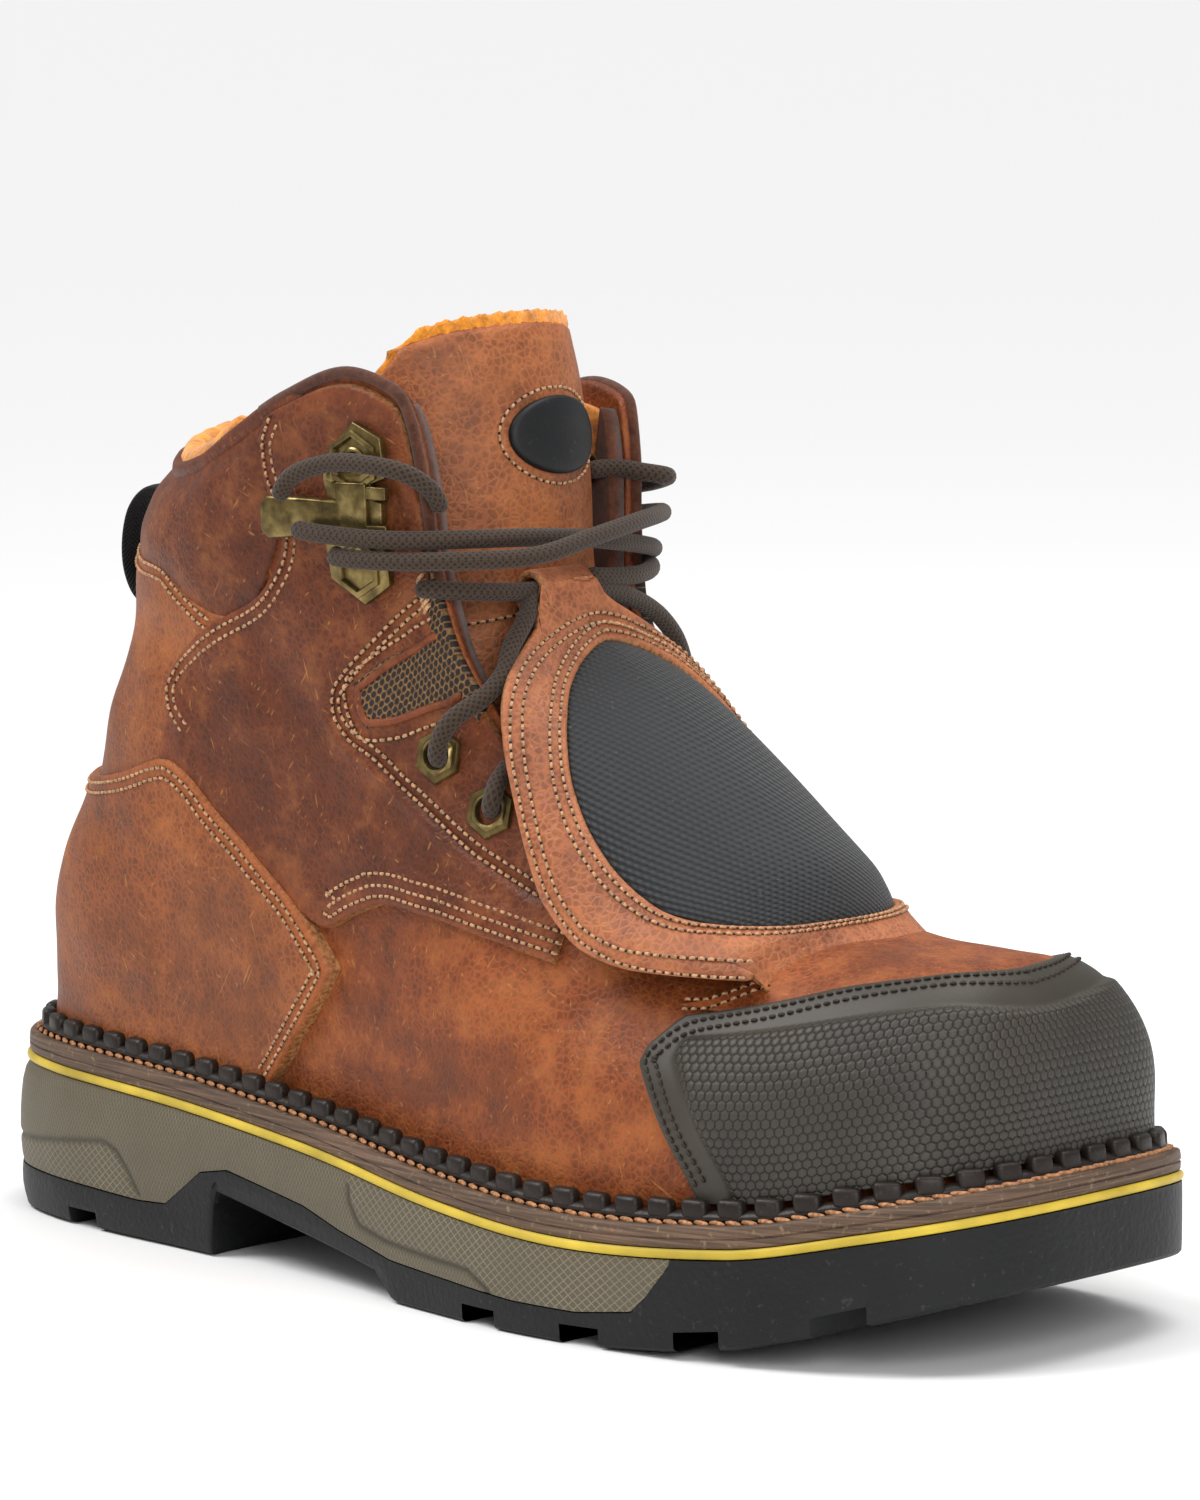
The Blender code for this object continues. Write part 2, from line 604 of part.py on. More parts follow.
CAP_TOP = [(0.0, 0.80), (0.06, 0.79), (0.10, 0.765), (0.164, 0.68), (0.238, 0.55), (0.294, 0.452)]
CAP_BACK = [(0.262, 0.014), (0.282, 0.116), (0.302, 0.24), (0.318, 0.32), (0.294, 0.452)]
COUNTER_TOP = [(0.612, 0.235), (0.65, 0.276), (0.688, 0.312), (0.742, 0.388), (0.774, 0.452), (0.805, 0.497),
               (0.87, 0.468), (0.93, 0.448), (1.0, 0.445)]
COUNTER_FRONT = [(0.664, 0.0), (0.622, 0.176), (0.612, 0.235)]
QUARTER_FOOT = [(0.405, 0.474), (0.434, 0.472), (0.494, 0.476), (0.568, 0.42), (0.60, 0.345), (0.622, 0.285),
                (0.645, 0.30), (0.684, 0.336), (0.736, 0.412), (0.768, 0.476), (0.795, 0.522)]
QUARTER_BACK = [(0.795, 0.522), (0.812, 0.56), (0.826, 0.616), (0.822, 0.66), (0.79, 0.688), (0.740, 0.700),
                (0.728, 0.748), (0.732, 0.804), (0.756, 0.884), (0.768, 0.955), (0.764, 0.985)]
QUARTER_TOP = [(0.405, 0.955), (0.44, 0.962), (0.49, 0.968), (0.54, 0.972), (0.60, 0.975), (0.65, 0.98),
               (0.70, 0.985), (0.764, 0.985)]


def build_overlays():
    cap = patch([(0.0, 0.014), (0.262, 0.014)], CAP_BACK, CAP_TOP, [(0.0, 0.014), (0.0, 0.80)], 11, 8)

    def above_rib(v):
        return np.clip((v[:, 2] - welt_top(v[:, 0]) - 2) / 8, 0, 1)

    overlay("toe_cap", (-1, 1), cap, lambda v: OVERLAY_RISE - 0.6 + 0.8 * above_rib(v),
            lambda v: LEATHER - 0.2 + 0.5 * above_rib(v))
    counter = patch([(0.664, 0.0), (1.0, 0.0)], [(1.0, 0.0), (1.0, 0.445)], COUNTER_TOP, COUNTER_FRONT, 13, 8)
    overlay("counter", (-1, 1), counter,
            lambda v: OVERLAY_RISE + np.where(v[:, 2] < welt_top(v[:, 0]) + 6, -0.1, 0.2), LEATHER + 0.1)
    stay = patch([(0.978, 0.045), (1.0, 0.045)], [(1.0, 0.045), (1.0, 0.43)], [(0.978, 0.43), (1.0, 0.43)],
                 [(0.978, 0.045), (0.978, 0.43)], 2, 9)
    overlay("heel_stay", (-1, 1), stay, OVERLAY_RISE + LEATHER + 0.5, LEATHER - 0.2)
    quarter = patch(QUARTER_FOOT, QUARTER_BACK, QUARTER_TOP, [(0.405, 0.474), (0.405, 0.955)], 14, 8)
    for side, label in ((-1, "outer"), (1, "inner")):
        overlay("quarter_" + label, (side,), quarter, OVERLAY_RISE, LEATHER)
    vent = patch([(0.628, 0.615), (0.525, 0.900)], [(0.525, 0.900), (0.525, 0.955)],
                 [(0.640, 0.645), (0.580, 0.900), (0.525, 0.955)], [(0.628, 0.615), (0.640, 0.645)], 6, 4)
    for side, label in ((-1, "outer"), (1, "inner")):
        overlay("vent_" + label, (side,), vent, OVERLAY_RISE + 0.9, 0.5)


# Tongue and guard

# ahead is a share of the length, height of the collar height, and radius and half of half the ball width.
TONGUE = table("ahead height radius half", [
    (0.7380, 0.4223, 1.0256, 0.1709), (0.6869, 0.4417, 0.9231, 0.2735), (0.6326, 0.4782, 0.7863, 0.3761),
    (0.5815, 0.5388, 0.6667, 0.4359), (0.5415, 0.6165, 0.5983, 0.4615), (0.5176, 0.7087, 0.5812, 0.4786),
    (0.5096, 0.8010, 0.5812, 0.5128), (0.5042, 0.8932, 0.5983, 0.5556), (0.4946, 0.9806, 0.6154, 0.5897),
    (0.4824, 1.0485, 0.6154, 0.5726),
])


def tongue_point(v, w):
    """Outer face of the tongue: v from its foot to its top, w from -1 on the outer side to 1."""
    rows = TONGUE
    k = np.linspace(0, 1, len(rows["ahead"]))
    held = dict(rows, at=k)

    def middle(at):
        at = np.clip(at, 0, 1)
        return smooth(held, "at", "ahead", at) * LENGTH, smooth(held, "at", "height", at) * COLLAR_HEIGHT

    x, z = middle(v)
    r = smooth(held, "at", "radius", v) * HALF_BALL
    half = smooth(held, "at", "half", v) * HALF_BALL
    y = w * half
    back = r - np.sqrt(np.maximum(r * r - y * y, 0.0))
    after, before = middle(v + 0.01), middle(v - 0.01)
    tilt, lift = after[0] - before[0], after[1] - before[1]
    size = np.hypot(tilt, lift)
    nx, nz = lift / size, -tilt / size
    corner = 0.017 * COLLAR_HEIGHT * np.clip(np.abs(w) - 0.55, 0, 1) ** 2 / 0.2 * np.clip((v - 0.85) / 0.15, 0, 1)
    return np.stack([x - nx * back, y, z - nz * back - corner], -1)


def build_tongue():
    v, w = np.meshgrid(np.linspace(0, 1, 12), np.linspace(-1, 1, 9), indexing="ij")
    p = tongue_point(v, w).reshape(-1, 3)
    shell("tongue", p, grid_faces(12, 9, True), 0.0, WALL + LEATHER)
    angle = np.arange(12) * 2 * math.pi / 12
    at, over = 0.80, 0.06
    ring = [(at + 0.062 * math.sin(a), over + 0.34 * math.cos(a)) for a in angle]
    centre = tongue_point(np.array(at), np.array(over))
    inner = [tongue_point(np.array((a + at) / 2), np.array((b + over) / 2))
             for a, b in ring]
    verts = [centre] + inner + [tongue_point(np.array(a), np.array(b)) for a, b in ring]
    faces = []
    for i in range(12):
        j = (i + 1) % 12
        faces.append([0, 1 + i, 1 + j])
        faces.append([1 + i, 13 + i, 13 + j, 1 + j])
    shell("tongue_badge", verts, faces, OVERLAY_RISE - GAP, LEATHER + 0.1)


# The guard's middle line and its outer and inner edges, from its top to where it is sewn to the vamp. ahead is a
# share of the length, across of half the ball width, height of the collar height, and thick of the upper's wall.
GUARD = table("ahead height outer_ahead outer_across outer_height inner_ahead inner_across inner_height thick", [
    (0.5319, 0.7937, 0.5176, 0.1709, 0.7903, 0.5160, 0.1709, 0.7903, 0.9091),
    (0.5399, 0.7549, 0.5192, 0.3675, 0.7476, 0.5128, 0.3333, 0.7476, 1.3636),
    (0.5559, 0.7102, 0.5310, 0.5641, 0.7063, 0.5192, 0.4786, 0.7063, 1.2727),
    (0.5799, 0.6699, 0.5479, 0.6769, 0.6626, 0.5319, 0.5812, 0.6626, 1.1818),
    (0.6118, 0.6311, 0.5639, 0.7060, 0.6117, 0.5479, 0.6427, 0.6117, 1.7273),
    (0.6486, 0.5903, 0.5847, 0.7402, 0.5558, 0.5655, 0.6752, 0.5558, 2.0000),
    (0.6869, 0.5485, 0.6086, 0.7744, 0.4976, 0.5863, 0.7009, 0.5000, 2.1818),
    (0.7236, 0.5068, 0.6374, 0.8000, 0.4466, 0.6086, 0.7179, 0.4539, 2.1818),
    (0.7556, 0.4709, 0.6773, 0.8137, 0.4053, 0.6358, 0.7179, 0.4248, 2.0000),
    (0.7780, 0.4437, 0.7220, 0.7897, 0.3908, 0.6645, 0.6923, 0.4136, 1.5455),
    (0.7955, 0.4262, 0.7668, 0.7248, 0.3893, 0.6933, 0.6410, 0.4126, 1.0000),
    (0.8067, 0.4194, 0.8035, 0.6393, 0.3874, 0.7220, 0.5641, 0.4126, 0.6364),
])


def guard_point(v, w):
    """Outer face of the guard: v from its top to its foot, w from -1 on the outer side to 1."""
    k = np.linspace(0, 1, len(GUARD["ahead"]))
    held = dict(GUARD, at=k)

    def get(column):
        return smooth(held, "at", column, v)

    def edge(column, size):
        return np.where(w < 0, get("outer_" + column), get("inner_" + column)) * size

    a = np.abs(w) * math.pi / 2
    wide = np.sign(w) * np.sin(a) ** np.where(w < 0, 0.95, 1.08) * edge("across", HALF_BALL)
    drop = 1 - np.maximum(np.cos(a), 0) ** np.where(w < 0, 0.92, 1.05)
    x, z = get("ahead") * LENGTH, get("height") * COLLAR_HEIGHT
    x = x + (edge("ahead", LENGTH) - x) * drop
    z = z + (edge("height", COLLAR_HEIGHT) - z) * drop
    return np.stack([x, wide, z], -1)


def build_guard():
    rows, cols = 15, 11
    v, w = np.meshgrid(np.linspace(0, 1, rows), np.linspace(-1, 1, cols), indexing="ij")
    p = guard_point(v, w).reshape(-1, 3)

    def thickness(points):
        held = dict(GUARD, at=np.linspace(0, 1, len(GUARD["ahead"])))
        thick = smooth(held, "at", "thick", v.reshape(-1)) * WALL
        edge = np.minimum(thick, LEATHER + GAP)
        return edge + (thick - edge) * (1 - w.reshape(-1) ** 2)

    shell("guard_flap", p, grid_faces(rows, cols), 0.0, thickness)
    v, w = np.meshgrid(np.linspace(0.14, 0.84, 11), np.linspace(-0.55, 0.50, 7), indexing="ij")
    middle = 0.5
    wide = np.clip(1 - np.abs((v - middle) / 0.36) ** 2.8, 0.0, 1.0) ** 0.45
    w = w * (0.30 + 0.70 * wide)
    p = guard_point(v, w).reshape(-1, 3)
    shell("guard_pad", p, grid_faces(11, 7), OVERLAY_RISE + GAP, 2.0)


# Hardware, laces and pull loop

def frame_on(side, s, t):
    """A point of the skin with directions ahead, up and outward there."""
    p = surface(side, np.array(s), np.array(t))
    n = surface_normal(side, np.array(s), np.array(t))
    ahead = np.array([1.0, 0.0, 0.0])
    ahead = ahead - n * (ahead @ n)
    ahead /= np.linalg.norm(ahead)
    up = np.cross(ahead, n)
    if up[2] < 0:
        up = -up
    return p, ahead, up, n


def prism(name, origin, ahead, up, n, outline, low, high):
    """A plate over an outline that is given in shares of the hook's height."""
    ring = np.array([origin + (a * ahead + b * up) * HOOK_HEIGHT for a, b in outline])
    return loft(name, [ring + n * low, ring + n * high])


def build_hardware():
    for side, label in ((-1, "outer"), (1, "inner")):
        for number, (s, t) in enumerate(((0.532, 0.765), (0.476, 0.765)), 1):
            p, ahead, up, n = frame_on(side, s, t)
            rings = []
            for rise, share in ((0.5, 1.0), (1.7, 0.93), (1.7, 0.45), (0.5, 0.41)):
                ring = []
                for k in range(12):
                    a = math.pi / 6 * k
                    r = EYELET_RADIUS * share
                    if share > 0.5:
                        r = r * math.cos(math.pi / 6) / math.cos((a % (math.pi / 3)) - math.pi / 6)
                    ring.append(p + n * (OVERLAY_RISE + rise) + r * (math.sin(a) * ahead + math.cos(a) * up))
                rings.append(np.array(ring))
            ring_body("eyelet_%s_%d" % (label, number), rings)
        p, ahead, up, n = frame_on(side, 0.672, 0.826)
        outline = [(0.000, 0.500), (0.185, 0.415), (0.210, 0.195), (0.112, 0.161), (0.112, 0.083),
                   (0.180, 0.063), (0.180, -0.054), (0.112, -0.078), (0.112, -0.156), (0.210, -0.210),
                   (0.220, -0.390), (0.049, -0.500), (-0.183, -0.366), (-0.215, -0.171), (-0.166, 0.000),
                   (-0.215, 0.171), (-0.215, 0.293)]
        foot = OVERLAY_RISE + 1.0
        hook = prism("hook_" + label, p, ahead, up, n, outline, foot, foot + 1.8)
        eye = [(0.056 * math.cos(k * math.pi / 5), 0.28 + 0.056 * math.sin(k * math.pi / 5)) for k in range(10)]
        combine(hook, prism("hook_eye", p, ahead, up, n, eye, 0.0, 3 * foot), "DIFFERENCE")
        lever = [(-0.598, 0.063), (-0.317, 0.049), (-0.073, 0.049), (-0.073, -0.088), (-0.317, -0.098),
                 (-0.598, -0.151)]
        combine(hook, prism("hook_lever", p, ahead, up, n, lever, foot + 1.1, foot + 4.3), "UNION")


# Laces as points (ahead, across, height) in shares of the length, half the ball width and the collar height.
LACES = {
    "lace_bar_1": [(0.4058, -0.8632, 0.8301), (0.4505, -0.8462, 0.8252), (0.4952, -0.7607, 0.8228),
                   (0.5256, -0.5641, 0.8228), (0.5383, -0.2906, 0.8204), (0.5374, 0.0000, 0.8136),
                   (0.5288, 0.2735, 0.8034), (0.5096, 0.5470, 0.7913), (0.4792, 0.7282, 0.7816),
                   (0.4409, 0.7966, 0.7767)],
    "lace_bar_2": [(0.4377, -0.8376, 0.8024), (0.4856, -0.8068, 0.8005), (0.5272, -0.6496, 0.8010),
                   (0.5559, -0.3761, 0.8034), (0.5591, -0.0684, 0.8180), (0.5489, 0.2393, 0.8277),
                   (0.5256, 0.5043, 0.8291), (0.4936, 0.7009, 0.8252), (0.4537, 0.7829, 0.8180)],
    "lace_tab_loop": [(0.3962, -0.8821, 0.8592), (0.4026, -0.8701, 0.8835), (0.4361, -0.8342, 0.9029),
                      (0.4728, -0.8000, 0.9029), (0.4984, -0.7385, 0.8932), (0.5073, -0.6581, 0.8738),
                      (0.5045, -0.6034, 0.8519)],
    "lace_outer": [(0.5192, -0.6923, 0.7646), (0.5335, -0.5214, 0.7694), (0.5367, -0.3333, 0.7767),
                   (0.5291, -0.3504, 0.7621), (0.5323, -0.5299, 0.7354), (0.5342, -0.6906, 0.7063),
                   (0.5329, -0.7761, 0.6699), (0.5272, -0.8274, 0.6335), (0.5204, -0.8274, 0.6029),
                   (0.5173, -0.7675, 0.5883)],
    "lace_inner": [(0.5048, 0.6154, 0.7646), (0.5208, 0.4615, 0.7694), (0.5272, 0.3162, 0.7767),
                   (0.5188, 0.3333, 0.7621), (0.5163, 0.4855, 0.7379), (0.5131, 0.6154, 0.7087),
                   (0.5112, 0.7094, 0.6699), (0.5077, 0.7590, 0.6335), (0.5013, 0.7521, 0.6019),
                   (0.4990, 0.6940, 0.5883)],
}


def build_laces():
    for name, shares in LACES.items():
        tube(name, np.array(shares) * [LENGTH, HALF_BALL, COLLAR_HEIGHT], LACE_RADIUS)


def build_pull_loop():
    """Webbing that stands off the back of the collar as a loop."""
    shares = [(0.1425, 0.8350), (0.1150, 0.8374), (0.0974, 0.8155), (0.0895, 0.7767), (0.0914, 0.7403),
              (0.1022, 0.7136), (0.1198, 0.7049)]
    line = curve(np.array(shares) * [LENGTH, COLLAR_HEIGHT])
    p = along(line, np.linspace(0, 1, 13))
    verts = [(x, y, z) for x, z in p for y in (-LOOP_HALF, 0.0, LOOP_HALF)]
    shell("pull_loop", verts, grid_faces(13, 3), 0.0, LEATHER + 0.4)


def main():
    for obj in list(bpy.data.objects):
        bpy.data.objects.remove(obj)
    build_sole()
    build_storm_rib()
    build_upper()
    build_overlays()
    build_tongue()
    build_guard()
    build_hardware()
    build_laces()
    build_pull_loop()


main()
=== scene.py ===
"""The looks of a metatarsal guard work boot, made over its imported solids.

The file is laid out as an add-on and run as a script. Sizes in its own functions are in millimetres, with the
back of the welt at x = 0, and build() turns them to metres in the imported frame, whose origin is under the
middle of the heel.
"""
import functools
import json
import math

import bmesh
import bpy
import numpy as np
from mathutils import Matrix, Vector

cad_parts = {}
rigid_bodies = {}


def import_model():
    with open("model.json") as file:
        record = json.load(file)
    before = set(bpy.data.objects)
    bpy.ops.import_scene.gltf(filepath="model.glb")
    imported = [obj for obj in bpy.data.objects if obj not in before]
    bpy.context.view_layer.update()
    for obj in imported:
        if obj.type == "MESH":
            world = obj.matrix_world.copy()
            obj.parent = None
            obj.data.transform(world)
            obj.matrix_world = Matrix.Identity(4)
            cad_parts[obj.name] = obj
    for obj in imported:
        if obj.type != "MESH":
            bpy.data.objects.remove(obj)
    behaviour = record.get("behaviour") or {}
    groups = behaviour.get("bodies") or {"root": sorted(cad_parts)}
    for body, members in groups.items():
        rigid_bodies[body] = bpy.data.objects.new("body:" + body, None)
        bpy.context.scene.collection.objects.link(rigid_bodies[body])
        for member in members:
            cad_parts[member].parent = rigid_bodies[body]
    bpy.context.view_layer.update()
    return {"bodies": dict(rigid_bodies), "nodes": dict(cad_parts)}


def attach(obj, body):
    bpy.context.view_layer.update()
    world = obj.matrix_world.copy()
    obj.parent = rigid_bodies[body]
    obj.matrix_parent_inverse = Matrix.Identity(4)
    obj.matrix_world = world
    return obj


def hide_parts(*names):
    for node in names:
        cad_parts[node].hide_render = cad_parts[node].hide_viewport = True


bl_info = {
    "name": "Metatarsal guard boot",
    "version": (1, 0, 0),
    "blender": (4, 5, 0),
    "location": "View3D > Sidebar > Boot",
    "description": "Builds the leather, rubber, cloth, metal and stitching of a work boot over its solids",
    "category": "Object",
}

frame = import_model()
BODY = next(iter(frame["bodies"]))
HEEL_CENTRE = 45.0

# The form of the boot, the same as in the part's source
LENGTH = 313.0
BALL_WIDTH = 117.0
HALF_BALL = BALL_WIDTH / 2
COLLAR_HEIGHT = 206.0
SOLE_HEIGHT = 36.0
WELT_REACH = 9.5
WALL = 2.2
GAP = 0.3
LINE_THICK = 2.1
WELT_THICK = 5.2
RIB_PITCH = 8.9
LUG_PITCH = 31.0
LUG_GAP = 11.0

# How far the pieces stand proud of the skin, and the stitches proud of the pieces
GUARD_LIFT = 1.3
PANEL_LIFT = 1.6
QUARTER_LIFT = 2.4
CAP_LIFT = 2.5
COUNTER_LIFT = 3.6
STITCH_RISE = 0.15

SIDES = ((-1, "outer"), (1, "inner"))


def table(columns, rows):
    """A short table with named columns."""
    values = np.array(rows, float)
    return {name: values[:, i] for i, name in enumerate(columns.split())}


# Outline of the sole seen from above, from the toe to the heel.
# along is a share of the length, outer and inner are shares of half the ball width.
SOLE_PLAN = table("along outer inner", [
    (1, 0, 0),
    (0.991, 0.359, 0.564),
    (0.966, 0.598, 0.786),
    (0.925, 0.769, 0.906),
    (0.870, 0.903, 0.966),
    (0.805, 0.997, 0.983),
    (0.725, 1.043, 0.940),
    (0.635, 1.043, 0.846),
    (0.540, 0.966, 0.735),
    (0.445, 0.863, 0.667),
    (0.350, 0.786, 0.667),
    (0.255, 0.723, 0.692),
    (0.165, 0.672, 0.684),
    (0.090, 0.598, 0.615),
    (0.037, 0.470, 0.487),
    (0.008, 0.256, 0.265),
    (0, 0, 0),
])

# Heights along the sole as shares of its height at the heel: the underside of the bright line and the bottom
# of
# the tread.
LINE_HEIGHT = table("along height", [
    (0, 1), (0.191, 0.9444), (0.382, 0.8194), (0.573, 0.6444), (0.701, 0.5833), (0.828, 0.6389),
    (0.924, 0.7917), (1, 0.9306),
])
TREAD_HEIGHT = table("along height", [
    (-0.01, 0.0722), (0.012, 0.0167), (0.03, 0), (0.2888, 0), (0.2936, 0.4167), (0.487, 0.1667),
    (0.509, 0.0111), (0.516, 0), (0.719, 0), (0.78, 0.0389), (0.837, 0.1000), (0.895, 0.2222),
    (0.939, 0.3333), (0.971, 0.4167), (1, 0.4861),
])
# Top of the dark outsole under the lighter midsole, as shares of the same height.
RAND_HEIGHT = table("along height", [
    (-0.01, 0.3056), (0.115, 0.2889), (0.204, 0.2639), (0.236, 0.2778), (0.259, 0.4167), (0.278, 0.5333),
    (0.31, 0.5833), (0.401, 0.4667), (0.444, 0.3667), (0.508, 0.2667), (0.581, 0.2361), (0.649, 0.2028),
    (0.708, 0.2028), (0.757, 0.2556), (0.77, 0.3611), (0.783, 0.5000), (0.79, 0.5778),
])
MIDSOLE_END = 0.789
# How far the lower sole stands out past the welt, as a share of the same height.
FLARE = table("along out", [
    (0, 0.0639), (0.12, 0.0556), (0.25, 0.0333), (0.4, 0.0167), (0.8, 0.0111), (1, 0.0083),
])

# The top line of the upper from the toe ridge (share round 0) by the throat to the back of the collar (1).
# ahead is a share of the length, outer and inner of half the ball width, height of the collar height.
# closing is how much the wall folds over the foot, square how boxy that fold is.
# low, middle and high are the swell of the wall as shares of half the ball width. setback and drop are what
# the
# inner side's top line stands back, as a share of the length, and down, as a share of the collar height.
TOP_LINE = table("round ahead outer inner height closing square low middle high setback drop", [
    (0, 0.9073, 0, 0, 0.3990, 1.00, 0.62, 0.0137, 0, 0, 0, 0),
    (0.060, 0.9010, 0, 0, 0.4005, 1.00, 0.62, 0.0137, 0, 0, 0, 0),
    (0.120, 0.8818, 0, 0, 0.4015, 1.00, 0.64, 0.0137, 0, 0, 0, 0),
    (0.180, 0.8498, 0, 0, 0.4025, 1.00, 0.68, 0.0171, 0, 0, 0, 0),
    (0.240, 0.8051, 0, 0, 0.4070, 1.00, 0.74, 0.0256, 0, 0, 0, 0),
    (0.300, 0.7540, 0, 0, 0.4270, 1.00, 0.82, 0.0342, 0, 0, 0, 0),
    (0.330, 0.7270, 0, 0, 0.4420, 1.00, 0.86, 0.0342, 0, 0, 0, 0),
    (0.345, 0.7157, 0.103, 0.103, 0.4515, 0.97, 0.88, 0.0342, 0, 0, 0, 0),
    (0.390, 0.6645, 0.325, 0.308, 0.5000, 0.80, 0.92, 0.0342, 0, 0, 0.0032, 0),
    (0.440, 0.6102, 0.496, 0.444, 0.5631, 0.55, 0.95, 0.0342, 0.0171, 0, 0.0096, 0),
    (0.490, 0.5559, 0.581, 0.513, 0.6359, 0.28, 1.00, 0.0342, 0.0342, 0, 0.0160, 0),
    (0.540, 0.5208, 0.603, 0.538, 0.7184, 0.10, 1.00, 0.0342, 0.0513, 0, 0.0208, 0),
    (0.585, 0.5016, 0.612, 0.564, 0.8058, 0.00, 1.00, 0.0342, 0.0513, 0, 0.0112, 0.0049),
    (0.625, 0.4904, 0.622, 0.590, 0.9029, 0.00, 1.00, 0.0342, 0.0513, 0, 0.0048, 0.0146),
    (0.660, 0.4760, 0.643, 0.624, 0.9757, 0.00, 1.00, 0.0427, 0.0513, 0, 0.0016, 0.0243),
    (0.700, 0.4313, 0.684, 0.677, 1, 0.00, 1.00, 0.0427, 0.0479, 0, 0, 0.0316),
    (0.750, 0.3738, 0.718, 0.711, 0.9709, 0.00, 1.00, 0.0427, 0.0513, 0.0085, 0, 0.0243),
    (0.800, 0.3195, 0.711, 0.704, 0.9272, 0.00, 1.00, 0.0427, 0.0547, 0.0256, 0, 0.0097),
    (0.850, 0.2684, 0.643, 0.639, 0.8908, 0.00, 1.00, 0.0547, 0.0581, 0.0427, 0, 0),
    (0.900, 0.2204, 0.496, 0.496, 0.8786, 0.00, 1.00, 0.0786, 0.0547, 0.0598, 0, 0),
    (0.950, 0.1837, 0.274, 0.274, 0.8908, 0.00, 1.00, 0.0855, 0.0410, 0.0684, 0, 0),
    (1, 0.1693, 0, 0, 0.9029, 0.00, 1.00, 0.0889, 0.0308, 0.0769, 0, 0),
])
RIDGE_END = 0.330


def smooth(rows, key, column, at):
    """Cubic through a table's rows that doesn't overshoot."""
    knots, values = rows[key], rows[column]
    order = np.argsort(knots)
    knots, values = knots[order], values[order]
    x = np.clip(np.asarray(at, float), knots[0], knots[-1])
    span, slope = np.diff(knots), np.diff(values) / np.diff(knots)
    tangent = np.zeros(len(values))
    before, after = slope[:-1], slope[1:]
    same = before * after > 0
    total = np.where(same, before + after, 1.0)
    tangent[1:-1] = np.where(same, 2 * before * after / total, 0.0)
    tangent[0], tangent[-1] = slope[0], slope[-1]
    i = np.clip(np.searchsorted(knots, x, side="right") - 1, 0, len(knots) - 2)
    u = (x - knots[i]) / span[i]
    return ((1 + 2 * u) * (1 - u) ** 2 * values[i] + u * (1 - u) ** 2 * span[i] * tangent[i]
            + u * u * (3 - 2 * u) * values[i + 1] + u * u * (u - 1) * span[i] * tangent[i + 1])


def straight(rows, column, x):
    """Height in millimetres by straight lines between the rows."""
    return np.interp(np.asarray(x, float) / LENGTH, rows["along"], rows[column]) * SOLE_HEIGHT


def line_height(x):
    return smooth(LINE_HEIGHT, "along", "height", np.asarray(x) / LENGTH) * SOLE_HEIGHT


def welt_top(x):
    return line_height(x) + LINE_THICK + WELT_THICK + 0.3


def curve(points, ends=None, per=24):
    """A dense smooth line through points, with end directions where they are given."""
    p = np.asarray(points, float)
    t = np.r_[0, np.cumsum(np.sqrt(np.linalg.norm(np.diff(p, axis=0), axis=1)))]
    m = np.zeros_like(p)
    for j in range(1, len(p) - 1):
        a = (p[j] - p[j - 1]) / (t[j] - t[j - 1])
        b = (p[j + 1] - p[j]) / (t[j + 1] - t[j])
        w = (t[j] - t[j - 1]) / (t[j + 1] - t[j - 1])
        m[j] = a * (1 - w) + b * w
    first = (p[1] - p[0]) / (t[1] - t[0])
    last = (p[-1] - p[-2]) / (t[-1] - t[-2])
    if ends is None:
        m[0], m[-1] = 2 * first - m[1], 2 * last - m[-2]
    else:
        m[0] = np.asarray(ends[0]) * np.linalg.norm(first)
        m[-1] = np.asarray(ends[1]) * np.linalg.norm(last)
    out = []
    for j in range(len(p) - 1):
        h = t[j + 1] - t[j]
        for k in range(per):
            u = k / per
            out.append((1 + 2 * u) * (1 - u) ** 2 * p[j] + u * (1 - u) ** 2 * h * m[j]
                       + u * u * (3 - 2 * u) * p[j + 1] + u * u * (u - 1) * h * m[j + 1])
    out.append(p[-1])
    return np.array(out)


def along(line, share):
    """Points at shares of a line's length."""
    d = np.r_[0, np.cumsum(np.linalg.norm(np.diff(line, axis=0), axis=1))]
    at = np.clip(np.asarray(share, float), 0, 1) * d[-1]
    return np.stack([np.interp(at, d, line[:, k]) for k in range(line.shape[1])], -1)


def plan_line(side):
    """The sole's edge on one side, toe to heel. side is -1 for the outer side and 1 for the inner."""
    column = "outer" if side < 0 else "inner"
    points = np.c_[SOLE_PLAN["along"] * LENGTH, side * SOLE_PLAN[column] * HALF_BALL]
    return curve(points, ((0, side), (0, -side)))


PLAN = {side: plan_line(side) for side in (-1, 1)}


def plan_edge(side, round_share, inset=0.0):
    """A point of the sole's edge moved inwards by inset, and the outward direction there."""
    s = np.asarray(round_share, float)
    p = along(PLAN[side], s)
    d = along(PLAN[side], np.clip(s + 1e-3, 0, 1)) - along(PLAN[side], np.clip(s - 1e-3, 0, 1))
    d = d / np.linalg.norm(d, axis=-1, keepdims=True)
    n = np.stack([d[..., 1], -d[..., 0]], -1) * side
    n = np.where((s <= 1e-9)[..., None], np.array([1.0, 0.0]), n)
    n = np.where((s >= 1 - 1e-9)[..., None], np.array([-1.0, 0.0]), n)
    return p - n * np.asarray(inset, float)[..., None], n


def hump(t, centre, width):
    return (np.cos(np.pi * np.clip((t - centre) / width, -1, 1)) + 1) / 2


